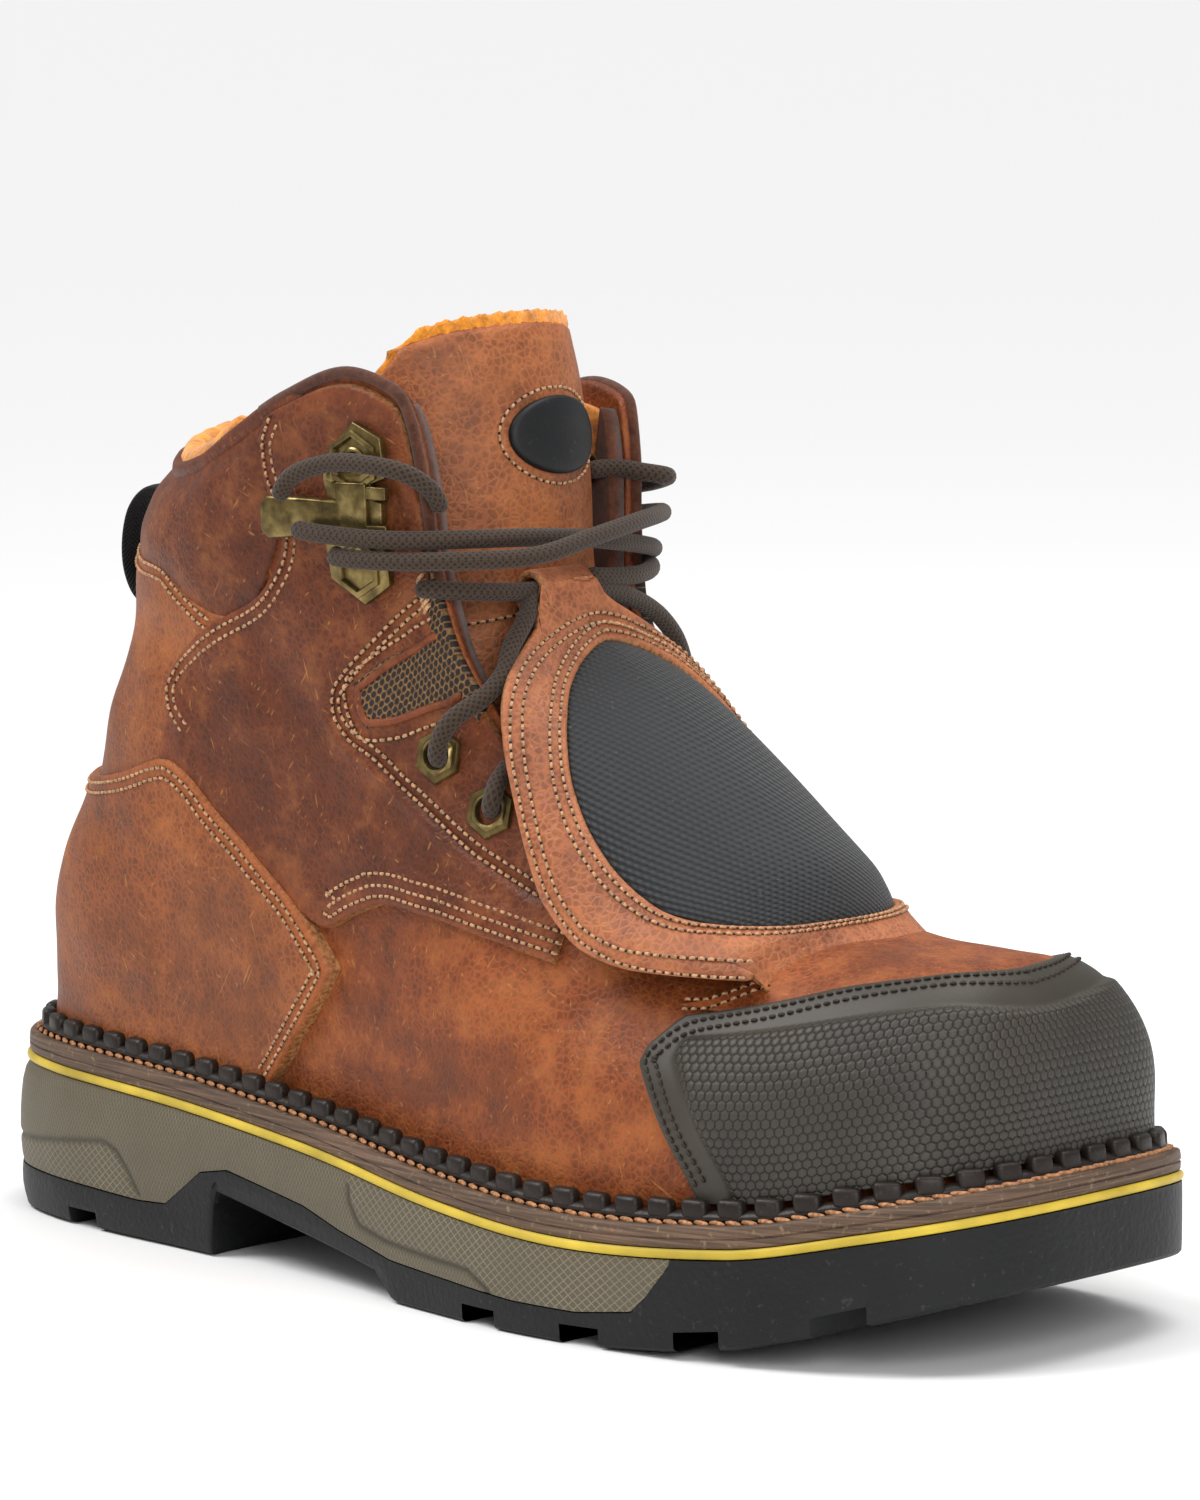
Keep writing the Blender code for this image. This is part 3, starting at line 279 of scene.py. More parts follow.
def surface(side, round_share, up_share):
    """The outer skin of the upper at a share round one side (toe 0, heel 1) and a share up its wall."""
    s, t = np.broadcast_arrays(np.asarray(round_share, float), np.asarray(up_share, float))

    def get(column):
        return smooth(TOP_LINE, "round", column, s)

    foot, n = plan_edge(side, s, WELT_REACH * np.ones_like(s))
    floor = welt_top(foot[..., 0]) + 0.35
    ahead = get("ahead") * LENGTH - (get("setback") * LENGTH if side > 0 else 0.0)
    across = side * get("outer" if side < 0 else "inner") * HALF_BALL
    height = get("height") * COLLAR_HEIGHT - (get("drop") * COLLAR_HEIGHT if side > 0 else 0.0)
    c, q = get("closing"), get("square")
    a = t * np.pi / 2
    rise = (1 - c) * t + c * np.sin(a) ** q
    fold = (1 - c) * t + c * (1 - np.cos(a) ** q)
    swell = get("low") * hump(t, 0.24, 0.24) + get("middle") * hump(t, 0.50, 0.35)
    swell = (swell + get("high") * hump(t, 0.84, 0.16)) * HALF_BALL
    x = foot[..., 0] + (ahead - foot[..., 0]) * fold + n[..., 0] * swell
    y = foot[..., 1] + (across - foot[..., 1]) * fold + n[..., 1] * swell
    z = floor + (height - floor) * rise
    return np.stack([x, y, z], -1)


def surface_normal(side, s, t, step=0.004):
    s, t = np.broadcast_arrays(np.asarray(s, float), np.asarray(t, float))
    a = surface(side, np.clip(s + step, 0, 1), t) - surface(side, np.clip(s - step, 0, 1), t)
    b = surface(side, s, np.clip(t + step, 0, 1)) - surface(side, s, np.clip(t - step, 0, 1))
    n = np.cross(a, b) * side
    return n / np.linalg.norm(n, axis=-1, keepdims=True)


def weld(verts, faces, tolerance=1e-3):
    """Join points that coincide and drop faces that collapse."""
    keys, index, kept, order = {}, [], [], []
    for v in verts:
        key = tuple(int(round(c / tolerance)) for c in v)
        if key not in keys:
            keys[key] = len(kept)
            kept.append(v)
        index.append(keys[key])
    for f in faces:
        g = []
        for i in f:
            if index[i] not in g:
                g.append(index[i])
        if len(g) > 2:
            order.append(g)
    return np.array(kept), order


def flare(share):
    return lambda x: -share * straight(FLARE, "out", x)


def tread(x):
    return straight(TREAD_HEIGHT, "height", x)


def rand(x):
    x = np.asarray(x, float)
    level = straight(RAND_HEIGHT, "height", x)
    top = line_height(x) - 0.25
    return np.where(x / LENGTH > 0.7895, top, np.minimum(level, top - 0.2))


# Outlines of the pieces on the skin as (round, up) pairs
CAP_TOP = [(0.0, 0.80), (0.06, 0.79), (0.10, 0.765), (0.164, 0.68), (0.238, 0.55), (0.294, 0.452)]
CAP_BACK = [(0.262, 0.014), (0.282, 0.116), (0.302, 0.24), (0.318, 0.32), (0.294, 0.452)]
COUNTER_TOP = [(0.612, 0.235), (0.65, 0.276), (0.688, 0.312), (0.742, 0.388), (0.774, 0.452), (0.805, 0.497),
               (0.87, 0.468), (0.93, 0.448), (1.0, 0.445)]
COUNTER_FRONT = [(0.664, 0.0), (0.622, 0.176), (0.612, 0.235)]
QUARTER_FOOT = [(0.405, 0.474), (0.434, 0.472), (0.494, 0.476), (0.568, 0.42), (0.60, 0.345), (0.622, 0.285),
                (0.645, 0.30), (0.684, 0.336), (0.736, 0.412), (0.768, 0.476), (0.795, 0.522)]
QUARTER_BACK = [(0.795, 0.522), (0.812, 0.56), (0.826, 0.616), (0.822, 0.66), (0.79, 0.688), (0.740, 0.700),
                (0.728, 0.748), (0.732, 0.804), (0.756, 0.884), (0.768, 0.955), (0.764, 0.985)]
QUARTER_TOP = [(0.405, 0.955), (0.44, 0.962), (0.49, 0.968), (0.54, 0.972), (0.60, 0.975), (0.65, 0.98),
               (0.70, 0.985), (0.764, 0.985)]


# Tongue, guard and laces

# ahead is a share of the length, height of the collar height, and radius and half of half the ball width.
TONGUE = table("ahead height radius half", [
    (0.7380, 0.4223, 1.0256, 0.1709), (0.6869, 0.4417, 0.9231, 0.2735), (0.6326, 0.4782, 0.7863, 0.3761),
    (0.5815, 0.5388, 0.6667, 0.4359), (0.5415, 0.6165, 0.5983, 0.4615), (0.5176, 0.7087, 0.5812, 0.4786),
    (0.5096, 0.8010, 0.5812, 0.5128), (0.5042, 0.8932, 0.5983, 0.5556), (0.4946, 0.9806, 0.6154, 0.5897),
    (0.4824, 1.0485, 0.6154, 0.5726),
])


def tongue_point(v, w):
    """Outer face of the tongue: v from its foot to its top, w from -1 on the outer side to 1."""
    rows = TONGUE
    k = np.linspace(0, 1, len(rows["ahead"]))
    held = dict(rows, at=k)

    def middle(at):
        at = np.clip(at, 0, 1)
        return smooth(held, "at", "ahead", at) * LENGTH, smooth(held, "at", "height", at) * COLLAR_HEIGHT

    x, z = middle(v)
    r = smooth(held, "at", "radius", v) * HALF_BALL
    half = smooth(held, "at", "half", v) * HALF_BALL
    y = w * half
    back = r - np.sqrt(np.maximum(r * r - y * y, 0.0))
    after, before = middle(v + 0.01), middle(v - 0.01)
    tilt, lift = after[0] - before[0], after[1] - before[1]
    size = np.hypot(tilt, lift)
    nx, nz = lift / size, -tilt / size
    corner = 0.017 * COLLAR_HEIGHT * np.clip(np.abs(w) - 0.55, 0,
                                             1) ** 2 / 0.2 * np.clip((v - 0.85) / 0.15, 0, 1)
    return np.stack([x - nx * back, y, z - nz * back - corner], -1)


# The guard's middle line and its outer and inner edges, from its top to where it is sewn to the vamp. ahead
# is a
# share of the length, across of half the ball width, and height of the collar height.
GUARD = table("ahead height outer_ahead outer_across outer_height inner_ahead inner_across inner_height", [
    (0.5319, 0.7937, 0.5176, 0.1709, 0.7903, 0.5160, 0.1709, 0.7903),
    (0.5399, 0.7549, 0.5192, 0.3675, 0.7476, 0.5128, 0.3333, 0.7476),
    (0.5559, 0.7102, 0.5310, 0.5641, 0.7063, 0.5192, 0.4786, 0.7063),
    (0.5799, 0.6699, 0.5479, 0.6769, 0.6626, 0.5319, 0.5812, 0.6626),
    (0.6118, 0.6311, 0.5639, 0.7060, 0.6117, 0.5479, 0.6427, 0.6117),
    (0.6486, 0.5903, 0.5847, 0.7402, 0.5558, 0.5655, 0.6752, 0.5558),
    (0.6869, 0.5485, 0.6086, 0.7744, 0.4976, 0.5863, 0.7009, 0.5000),
    (0.7236, 0.5068, 0.6374, 0.8000, 0.4466, 0.6086, 0.7179, 0.4539),
    (0.7556, 0.4709, 0.6773, 0.8137, 0.4053, 0.6358, 0.7179, 0.4248),
    (0.7780, 0.4437, 0.7220, 0.7897, 0.3908, 0.6645, 0.6923, 0.4136),
    (0.7955, 0.4262, 0.7668, 0.7248, 0.3893, 0.6933, 0.6410, 0.4126),
    (0.8067, 0.4194, 0.8035, 0.6393, 0.3874, 0.7220, 0.5641, 0.4126),
])


def guard_point(v, w):
    """Outer face of the guard: v from its top to its foot, w from -1 on the outer side to 1."""
    k = np.linspace(0, 1, len(GUARD["ahead"]))
    held = dict(GUARD, at=k)

    def get(column):
        return smooth(held, "at", column, v)

    def edge(column, size):
        return np.where(w < 0, get("outer_" + column), get("inner_" + column)) * size

    a = np.abs(w) * math.pi / 2
    wide = np.sign(w) * np.sin(a) ** np.where(w < 0, 0.95, 1.08) * edge("across", HALF_BALL)
    drop = 1 - np.maximum(np.cos(a), 0) ** np.where(w < 0, 0.92, 1.05)
    x, z = get("ahead") * LENGTH, get("height") * COLLAR_HEIGHT
    x = x + (edge("ahead", LENGTH) - x) * drop
    z = z + (edge("height", COLLAR_HEIGHT) - z) * drop
    return np.stack([x, wide, z], -1)


# Laces as points (ahead, across, height) in shares of the length, half the ball width and the collar height.
LACES = {
    "lace_bar_1": [(0.4058, -0.8632, 0.8301), (0.4505, -0.8462, 0.8252), (0.4952, -0.7607, 0.8228),
                   (0.5256, -0.5641, 0.8228), (0.5383, -0.2906, 0.8204), (0.5374, 0.0000, 0.8136),
                   (0.5288, 0.2735, 0.8034), (0.5096, 0.5470, 0.7913), (0.4792, 0.7282, 0.7816),
                   (0.4409, 0.7966, 0.7767)],
    "lace_bar_2": [(0.4377, -0.8376, 0.8024), (0.4856, -0.8068, 0.8005), (0.5272, -0.6496, 0.8010),
                   (0.5559, -0.3761, 0.8034), (0.5591, -0.0684, 0.8180), (0.5489, 0.2393, 0.8277),
                   (0.5256, 0.5043, 0.8291), (0.4936, 0.7009, 0.8252), (0.4537, 0.7829, 0.8180)],
    "lace_tab_loop": [(0.3962, -0.8821, 0.8592), (0.4026, -0.8701, 0.8835), (0.4361, -0.8342, 0.9029),
                      (0.4728, -0.8000, 0.9029), (0.4984, -0.7385, 0.8932), (0.5073, -0.6581, 0.8738),
                      (0.5045, -0.6034, 0.8519)],
}


# Places on the skin

def measured_skin():
    """Lengths along the foot line and up the wall, for patterns that follow the leather."""
    out = {}
    s, t = np.linspace(0, 1, 201), np.linspace(0, 1, 61)
    for side in (-1, 1):
        p = surface(side, s[:, None], t[None, :])
        foot = np.r_[0, np.cumsum(np.linalg.norm(np.diff(p[:, 12], axis=0), axis=1))]
        up = np.concatenate([np.zeros((201, 1)), np.cumsum(np.linalg.norm(np.diff(p, axis=1), axis=2),
                                                           axis=1)], 1)
        out[side] = (s, foot, up)
    return out


MEASURE = measured_skin()


def cloth_uv(side, s, t):
    """Millimetres along the boot and up its wall at a share round and a share up."""
    knots, foot, up = MEASURE[side]
    u = np.interp(s, knots, foot)
    x, y = np.clip(s, 0, 1) * 200, np.clip(t, 0, 1) * 60
    i, j = np.minimum(x.astype(int), 199), np.minimum(y.astype(int), 59)
    a, b = x - i, y - j
    v = (up[i, j] * (1 - a) * (1 - b) + up[i + 1, j] * a * (1 - b)
         + up[i, j + 1] * (1 - a) * b + up[i + 1, j + 1] * a * b)
    return np.stack([u * side, v], -1)


# Soft creases and swellings of the leather.
# side, round and up say where, length, width and depth are in millimetres, turn is in degrees from level.
CREASES = [(-1, 0.400, 0.300, 34, 7, -0.9, 24), (-1, 0.430, 0.200, 40, 8, -0.8, 12),
           (-1, 0.372, 0.420, 26, 5, -0.9, 40), (-1, 0.350, 0.560, 20, 5, -0.8, 58),
           (-1, 0.470, 0.340, 26, 9, 0.7, 18), (-1, 0.560, 0.180, 34, 12, 0.6, 4),
           (-1, 0.700, 0.560, 30, 9, -1.0, -38), (-1, 0.742, 0.660, 26, 7, -0.9, -52),
           (-1, 0.680, 0.660, 28, 10, 0.8, -30), (-1, 0.620, 0.520, 24, 9, -0.5, 10),
           (-1, 0.600, 0.700, 26, 12, 0.6, 70), (-1, 0.560, 0.580, 20, 8, -0.5, -35),
           (-1, 0.800, 0.620, 26, 7, -0.9, -20), (-1, 0.860, 0.700, 30, 8, -0.8, 0),
           (-1, 0.920, 0.560, 26, 10, 0.7, 0), (-1, 0.880, 0.260, 34, 16, 0.7, 0),
           (-1, 0.770, 0.200, 30, 14, -0.5, 30), (-1, 0.300, 0.860, 16, 6, -0.7, 20),
           (1, 0.400, 0.300, 34, 7, -0.9, 24), (1, 0.430, 0.200, 40, 8, -0.8, 12),
           (1, 0.372, 0.420, 26, 5, -0.9, 40), (1, 0.480, 0.380, 26, 9, 0.7, 18),
           (1, 0.700, 0.560, 30, 9, -1.0, -38), (1, 0.742, 0.660, 26, 7, -0.9, -52),
           (1, 0.620, 0.520, 24, 9, -0.6, 10), (1, 0.820, 0.640, 26, 7, -0.9, -20),
           (1, 0.900, 0.540, 26, 10, 0.7, 0), (1, 0.600, 0.760, 26, 10, 0.6, 70),
           (1, 0.860, 0.260, 34, 16, 0.7, 0), ]


def relief(points):
    """How far the leather stands out or in at points of the skin, in millimetres."""
    p = np.asarray(points, float)
    out = 0.28 * np.sin(p[..., 0] / 9.1 + 0.7
                        * np.sin(p[..., 2] / 13.0)) * np.sin(p[..., 2] / 11.3 + p[..., 1] / 17.0)
    out = out + 0.16 * np.sin(p[..., 0] / 4.7 + p[..., 2] / 6.1) * np.sin(p[..., 2] / 5.3 - p[..., 0] / 8.3)
    for side, s, t, length, width, depth, turn in CREASES:
        o = surface(side, np.array(s), np.array(t))
        n = surface_normal(side, np.array(s), np.array(t))
        level = np.cross([0, 0, 1.0], n)
        level /= np.linalg.norm(level)
        if level[0] < 0:
            level = -level
        up = np.cross(n, level)
        if up[2] < 0:
            up = -up
        a = math.radians(turn)
        d = p - o
        run = d @ (math.cos(a) * level + math.sin(a) * up)
        across = d @ (-math.sin(a) * level + math.cos(a) * up) + run * run / (3.0 * length)
        off = d @ n
        out = out + depth * np.exp(-(across / width) ** 2 - (run / length * 1.6) ** 2 - (off / 16.0) ** 2)
    foot = np.clip((p[..., 2] - welt_top(p[..., 0]) - 2.0) / 12.0, 0, 1)
    return out * foot


def skin(side, s, t, lift=0.0):
    """Points on the creased skin, lift millimetres proud of it, and the outward directions there."""
    p = surface(side, s, t)
    n = surface_normal(side, s, t)
    seam = (s <= 1e-9) | (s >= 1 - 1e-9) | ((t >= 1 - 1e-9) & (s <= RIDGE_END))
    p[..., 1] = np.where(seam, 0.0, p[..., 1])
    n[..., 1] = np.where(seam, 0.0, n[..., 1])
    n = n / np.maximum(np.linalg.norm(n, axis=-1, keepdims=True), 1e-9)
    return p + n * (np.asarray(lift, float) + relief(p))[..., None], n


def rounded(points, times=2):
    """An outline with its corners cut softly, its ends kept."""
    p = np.asarray(points, float)
    for _ in range(times):
        q = [p[0]]
        for a, b in zip(p[:-1], p[1:]):
            q += [a * 0.8 + b * 0.2, a * 0.2 + b * 0.8]
        p = np.array(q + [p[-1]])
    return p


def spaced(count, length):
    """Shares along a side of a piece, packed close at its ends so that its edge can be round."""
    near = np.array([0.0, 0.10, 0.30, 0.60, 1.0]) / length
    return np.r_[near, np.linspace(near[-1], 1 - near[-1], count - 8)[1:-1], (1 - near)[::-1]]


def outlined(bottom, right, top, left, u, v, soft=2):
    """(round, up) pairs inside four edge lines that meet at their ends, at the shares u and v."""
    b, t = along(rounded(bottom, soft), u), along(rounded(top, soft), u)
    l, r = along(rounded(left, soft), v), along(rounded(right, soft), v)
    u, v = u[:, None, None], v[None, :, None]
    return ((1 - v) * b[:, None] + v * t[:, None] + (1 - u) * l[None] + u * r[None]
            - (1 - u) * (1 - v) * b[0] - u * (1 - v) * b[-1] - (1 - u) * v * t[0] - u * v * t[-1])


# Making meshes

def linear(hex_colour):
    """A written sRGB colour as the linear numbers that the shaders take."""
    parts = [int(hex_colour[i:i + 2], 16) / 255 for i in (1, 3, 5)]
    return tuple(c / 12.92 if c <= 0.04045 else ((c + 0.055) / 1.055) ** 2.4 for c in parts) + (1.0,)


def linked(name, data):
    """A new object of the scene."""
    obj = bpy.data.objects.new(name, data)
    bpy.context.scene.collection.objects.link(obj)
    return obj


def smooth_faces(mesh):
    mesh.polygons.foreach_set("use_smooth", [True] * len(mesh.polygons))


def mesh_object(name, points, edges, faces):
    """A smooth mesh object of the scene from points in millimetres."""
    mesh = bpy.data.meshes.new(name)
    mesh.from_pydata((np.asarray(points, float) * 0.001).tolist(), edges, faces)
    smooth_faces(mesh)
    return linked(name, mesh)


def build(name, verts, faces, look, slot=None, uv=None, marks=None, stands_for=(), sharp=None):
    """A finished piece from points and uv in millimetres; marks are named values for each point."""
    points = np.asarray(verts, float).reshape(-1, 3).copy()
    points[:, 0] -= HEEL_CENTRE
    obj = mesh_object(name, points, [], [list(map(int, f)) for f in faces])
    mesh = obj.data
    if uv is not None:
        loops = np.empty(len(mesh.loops), np.int32)
        mesh.loops.foreach_get("vertex_index", loops)
        layer = mesh.uv_layers.new(name="UVMap")
        layer.data.foreach_set("uv", (np.asarray(uv, float).reshape(-1, 2)[loops]
                                      * 0.001).ravel().astype(np.float32))
    for label, values in (marks or {}).items():
        attribute = mesh.attributes.new(label, "FLOAT", "POINT")
        attribute.data.foreach_set("value", np.asarray(values, np.float32).ravel())
    if sharp is not None:
        mesh.set_sharp_from_angle(angle=math.radians(sharp))
    return dress(obj, look, slot, stands_for)


def dress(obj, look, slot=None, stands_for=()):
    """Gives a finished piece its material, its body and the solids that it stands for."""
    obj.data.materials.clear()
    obj.data.materials.append(finish(look))
    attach(obj, BODY)
    if stands_for:
        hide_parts(*stands_for)
    return obj


def closed_sheet(outer, inner, outward):
    """Points and faces of a closed shell from two grids; outward is a rough direction out at each point."""
    n, m = outer.shape[:2]
    verts = np.vstack([outer.reshape(-1, 3), inner.reshape(-1, 3)])
    i, j = np.meshgrid(np.arange(n - 1), np.arange(m - 1), indexing="ij")
    a = (i * m + j).ravel()
    quads = np.stack([a, a + m, a + m + 1, a + 1], 1)
    normal = np.cross(verts[quads[:, 1]] - verts[quads[:, 0]], verts[quads[:, 3]] - verts[quads[:, 0]])
    if (normal * outward.reshape(-1, 3)[quads[:, 0]]).sum() < 0:
        quads = quads[:, ::-1]
    count = n * m
    rim_a = list(range(0, m)) + list(range(2 * m - 1, n * m, m)) + list(range(n * m - 2, (n - 1) * m - 1, -1))
    rim_a += list(range((n - 2) * m, 0, -m))
    used = set()
    for f in quads:
        for k in range(4):
            used.add((int(f[k]), int(f[(k + 1) % 4])))
    rim = []
    for x, y in zip(rim_a, rim_a[1:] + rim_a[:1]):
        rim.append([y, x, x + count, y + count] if (x, y) in used else [x, y, y + count, x + count])
    return verts, quads.tolist() + (quads[:, ::-1] + count).tolist() + rim


def edge_distance(p, free):
    """Millimetres from each point of a grid to its nearest free side, measured along the grid."""
    out = np.full(p.shape[:2], 1e6)
    step = np.linalg.norm(np.diff(p, axis=0), axis=2)
    zero = np.zeros((1, p.shape[1]))
    if "start" in free:
        out = np.minimum(out, np.concatenate([zero, np.cumsum(step, 0)], 0))
    if "end" in free:
        out = np.minimum(out, np.concatenate([np.cumsum(step[::-1], 0)[::-1], zero], 0))
    step = np.linalg.norm(np.diff(p, axis=1), axis=2)
    zero = np.zeros((p.shape[0], 1))
    if "bottom" in free:
        out = np.minimum(out, np.concatenate([zero, np.cumsum(step, 1)], 1))
    if "top" in free:
        out = np.minimum(out, np.concatenate([np.cumsum(step[:, ::-1], 1)[:, ::-1], zero], 1))
    return out


def round_over(distance, reach):
    """Rises in a quarter circle from 0 at an edge to 1 at a reach from it."""
    return np.sqrt(np.clip(1 - (1 - np.clip(distance / reach, 0, 1)) ** 2, 0, 1))


def twice(values):
    """The same values for the outer and for the inner points of a sheet."""
    return np.tile(np.ravel(values), 2)


def ring_faces(rings, sides, meet=False, caps=False):
    """Faces between rings of points; the last ring meets the first, or both get caps, or both stay open."""
    faces = [[i * sides + k, i * sides + (k + 1) % sides, (i + 1) % rings * sides + (k + 1) % sides,
              (i + 1) % rings * sides + k] for i in range(rings if meet else rings - 1) for k in range(sides)]
    if caps:
        faces += [list(range(sides))[::-1], list(range((rings - 1) * sides, rings * sides))]
    return faces


def smoothstep(x, low, high):
    a = np.clip((np.asarray(x, float) - low) / (high - low), 0, 1)
    return a * a * (3 - 2 * a)


# A piece's edges start this far under the skin, so that no gap shows
SUNK_EDGE = -0.5


def laid_piece(name, grid, sides, lift, look, slot, free, stands_for=(), extra=None, thick=1.6,
               seam_first=True):
    """A piece laid on the skin over a grid of (round, up) pairs, with a round edge where it is free.

    Over both sides the grid starts (seam_first) or ends at the seam in the middle plane. extra adds to the
    lift, by distance, s and t. The piece carries its distance from its edges, for the shader, and a pattern
    map.
    """
    s, t = grid[..., 0], grid[..., 1]
    parts = []
    for side in sides:
        p, n = skin(side, s, t)
        parts.append([p, n, cloth_uv(side, s, t), s, t])
    if len(sides) == 2:
        a, b = parts
        if seam_first:
            merged = [np.concatenate([x[::-1], y[1:]]) for x, y in zip(a, b)]
        else:
            merged = [np.concatenate([x, y[::-1][1:]]) for x, y in zip(a, b)]
    else:
        merged = parts[0]
    p, n, uv, s, t = merged
    distance = edge_distance(p, free)
    height = (lift - SUNK_EDGE) * round_over(distance, 1.0) + SUNK_EDGE
    if extra is not None:
        height = height + extra(distance, s, t)
    outer = p + n * height[..., None]
    inner = p + n * np.minimum(height - 0.4, lift - thick)[..., None]
    verts, faces = closed_sheet(outer, inner, n)
    near = np.clip(1 - distance / 7.0, 0, 1)
    raw = np.clip(1.0 - distance / 0.7, 0, 1)
    marks = {"wear": twice(near), "raw": np.r_[raw.ravel(), np.ones(raw.size)],
             "inset": twice(distance)}
    return build(name, verts, faces, look, slot, np.vstack([uv.reshape(-1, 2)] * 2), marks, stands_for)


def swept(path, radius, sides=12, spacing=1.2):
    """Points, faces and pattern map of a round cord along a path, with rounded ends."""
    line = curve(path, per=16)
    length = np.linalg.norm(np.diff(line, axis=0), axis=1).sum()
    count = max(6, int(length / spacing) + 1)
    share = np.linspace(0, 1, count)
    p = along(line, share)
    d = np.gradient(p, axis=0)
    d /= np.linalg.norm(d, axis=1, keepdims=True)
    side = np.cross(d[0], [0.3, 0.1, 1.0])
    rings, uv = [], []
    angle = np.arange(sides + 1) * 2 * math.pi / sides
    for i in range(count):
        side = side - d[i] * (side @ d[i])
        side /= np.linalg.norm(side)
        from_end = min(i, count - 1 - i) * length / (count - 1)
        r = radius * math.sqrt(max(1 - max(1 - from_end / radius, 0) ** 2, 0.02))
        rings.append(p[i] + r * (np.cos(angle)[:, None] * side + np.sin(angle)[:, None]
                                 * np.cross(d[i], side)))
        uv.append(np.c_[np.full(sides + 1, share[i] * length), angle * radius])
    verts = np.vstack(rings)
    m = sides + 1
    faces = [[i * m + j, i * m + j + 1, (i + 1) * m + j + 1, (i + 1) * m + j]
             for i in range(count - 1) for j in range(sides)]
    faces += [[j for j in range(sides)][::-1], [(count - 1) * m + j for j in range(sides)]]
    return verts, faces, np.vstack(uv)


def strip(line, across):
    """Points of a strip along an (x, z) line, at places to both sides of it, and the directions out of it."""
    d = np.gradient(line, axis=0)
    n = np.stack([d[:, 1], np.zeros(len(d)), -d[:, 0]], -1)
    n /= np.linalg.norm(n, axis=1, keepdims=True)
    grid = np.stack(np.broadcast_arrays(line[:, :1], across, line[:, 1:]), -1)
    return grid, np.broadcast_to(n[:, None], grid.shape)


def joined(pieces):
    """Several sets of points, faces and maps as one."""
    verts, faces, uvs, base = [], [], [], 0
    for v, f, uv in pieces:
        verts.append(v)
        uvs.append(uv)
        faces += [[k + base for k in g] for g in f]
        base += len(v)
    return np.vstack(verts), faces, np.vstack(uvs)


# Materials

NOISE = "ShaderNodeTexNoise"
CELLS = "ShaderNodeTexVoronoi"
RAMP = "ShaderNodeValToRGB"
MATH = "ShaderNodeMath"
VECTOR = "ShaderNodeVectorMath"
MIX = "ShaderNodeMix"
BUMP = "ShaderNodeBump"
MAPPING = "ShaderNodeMapping"
ATTRIBUTE = "ShaderNodeAttribute"
UV_MAP = "ShaderNodeUVMap"
SPLIT = "ShaderNodeSeparateXYZ"
# Settings of a mix node that blends two colours, by the place of its result
COLOURS = {"out": 2, "data_type": "RGBA"}


def fill(inputs, values):
    """Sets a node's inputs, by name or place, to values, or links them from sockets."""
    for key, value in values.items() if isinstance(values, dict) else enumerate(values):
        if isinstance(value, bpy.types.NodeSocket):
            value.id_data.links.new(value, inputs[key])
        else:
            inputs[key].default_value = value


def node(tree, kind, inputs=(), out=0, stops=None, **settings):
    """Adds a node with its settings and links, and gives one of its sockets; inputs are values or sockets.

    Inputs go by name or place, and stops are the (place, value or colour) pairs of a colour ramp.
    """
    new = tree.nodes.new(kind)
    for key, value in settings.items():
        setattr(new, key, value)
    fill(new.inputs, inputs)
    for place, value in stops or ():
        point = new.color_ramp.elements.new(place)
        point.color = value if isinstance(value, tuple) else (value, value, value, 1.0)
    if stops:
        new.color_ramp.elements.remove(new.color_ramp.elements[0])
        new.color_ramp.elements.remove(new.color_ramp.elements[-1])
    return new.outputs[out] if len(new.outputs) else new


def shade(colour, factor):
    """A linear colour made lighter or darker."""
    return tuple(min(c * factor, 1.0) for c in tuple(colour)[:3]) + (1.0,)


def start(name, roughness, specular=0.5):
    """A new material, what adds its nodes, its shader's inputs and its object coordinates."""
    material = bpy.data.materials.new(name)
    material.use_nodes = True
    tree = material.node_tree
    tree.nodes.clear()
    node(tree, "ShaderNodeOutputMaterial", [node(tree, "ShaderNodeBsdfPrincipled")])
    shader = tree.nodes["Principled BSDF"].inputs
    fill(shader, {"Roughness": roughness, "Specular IOR Level": specular})
    add = functools.partial(node, tree)
    return material, add, shader, add("ShaderNodeTexCoord", out="Object")


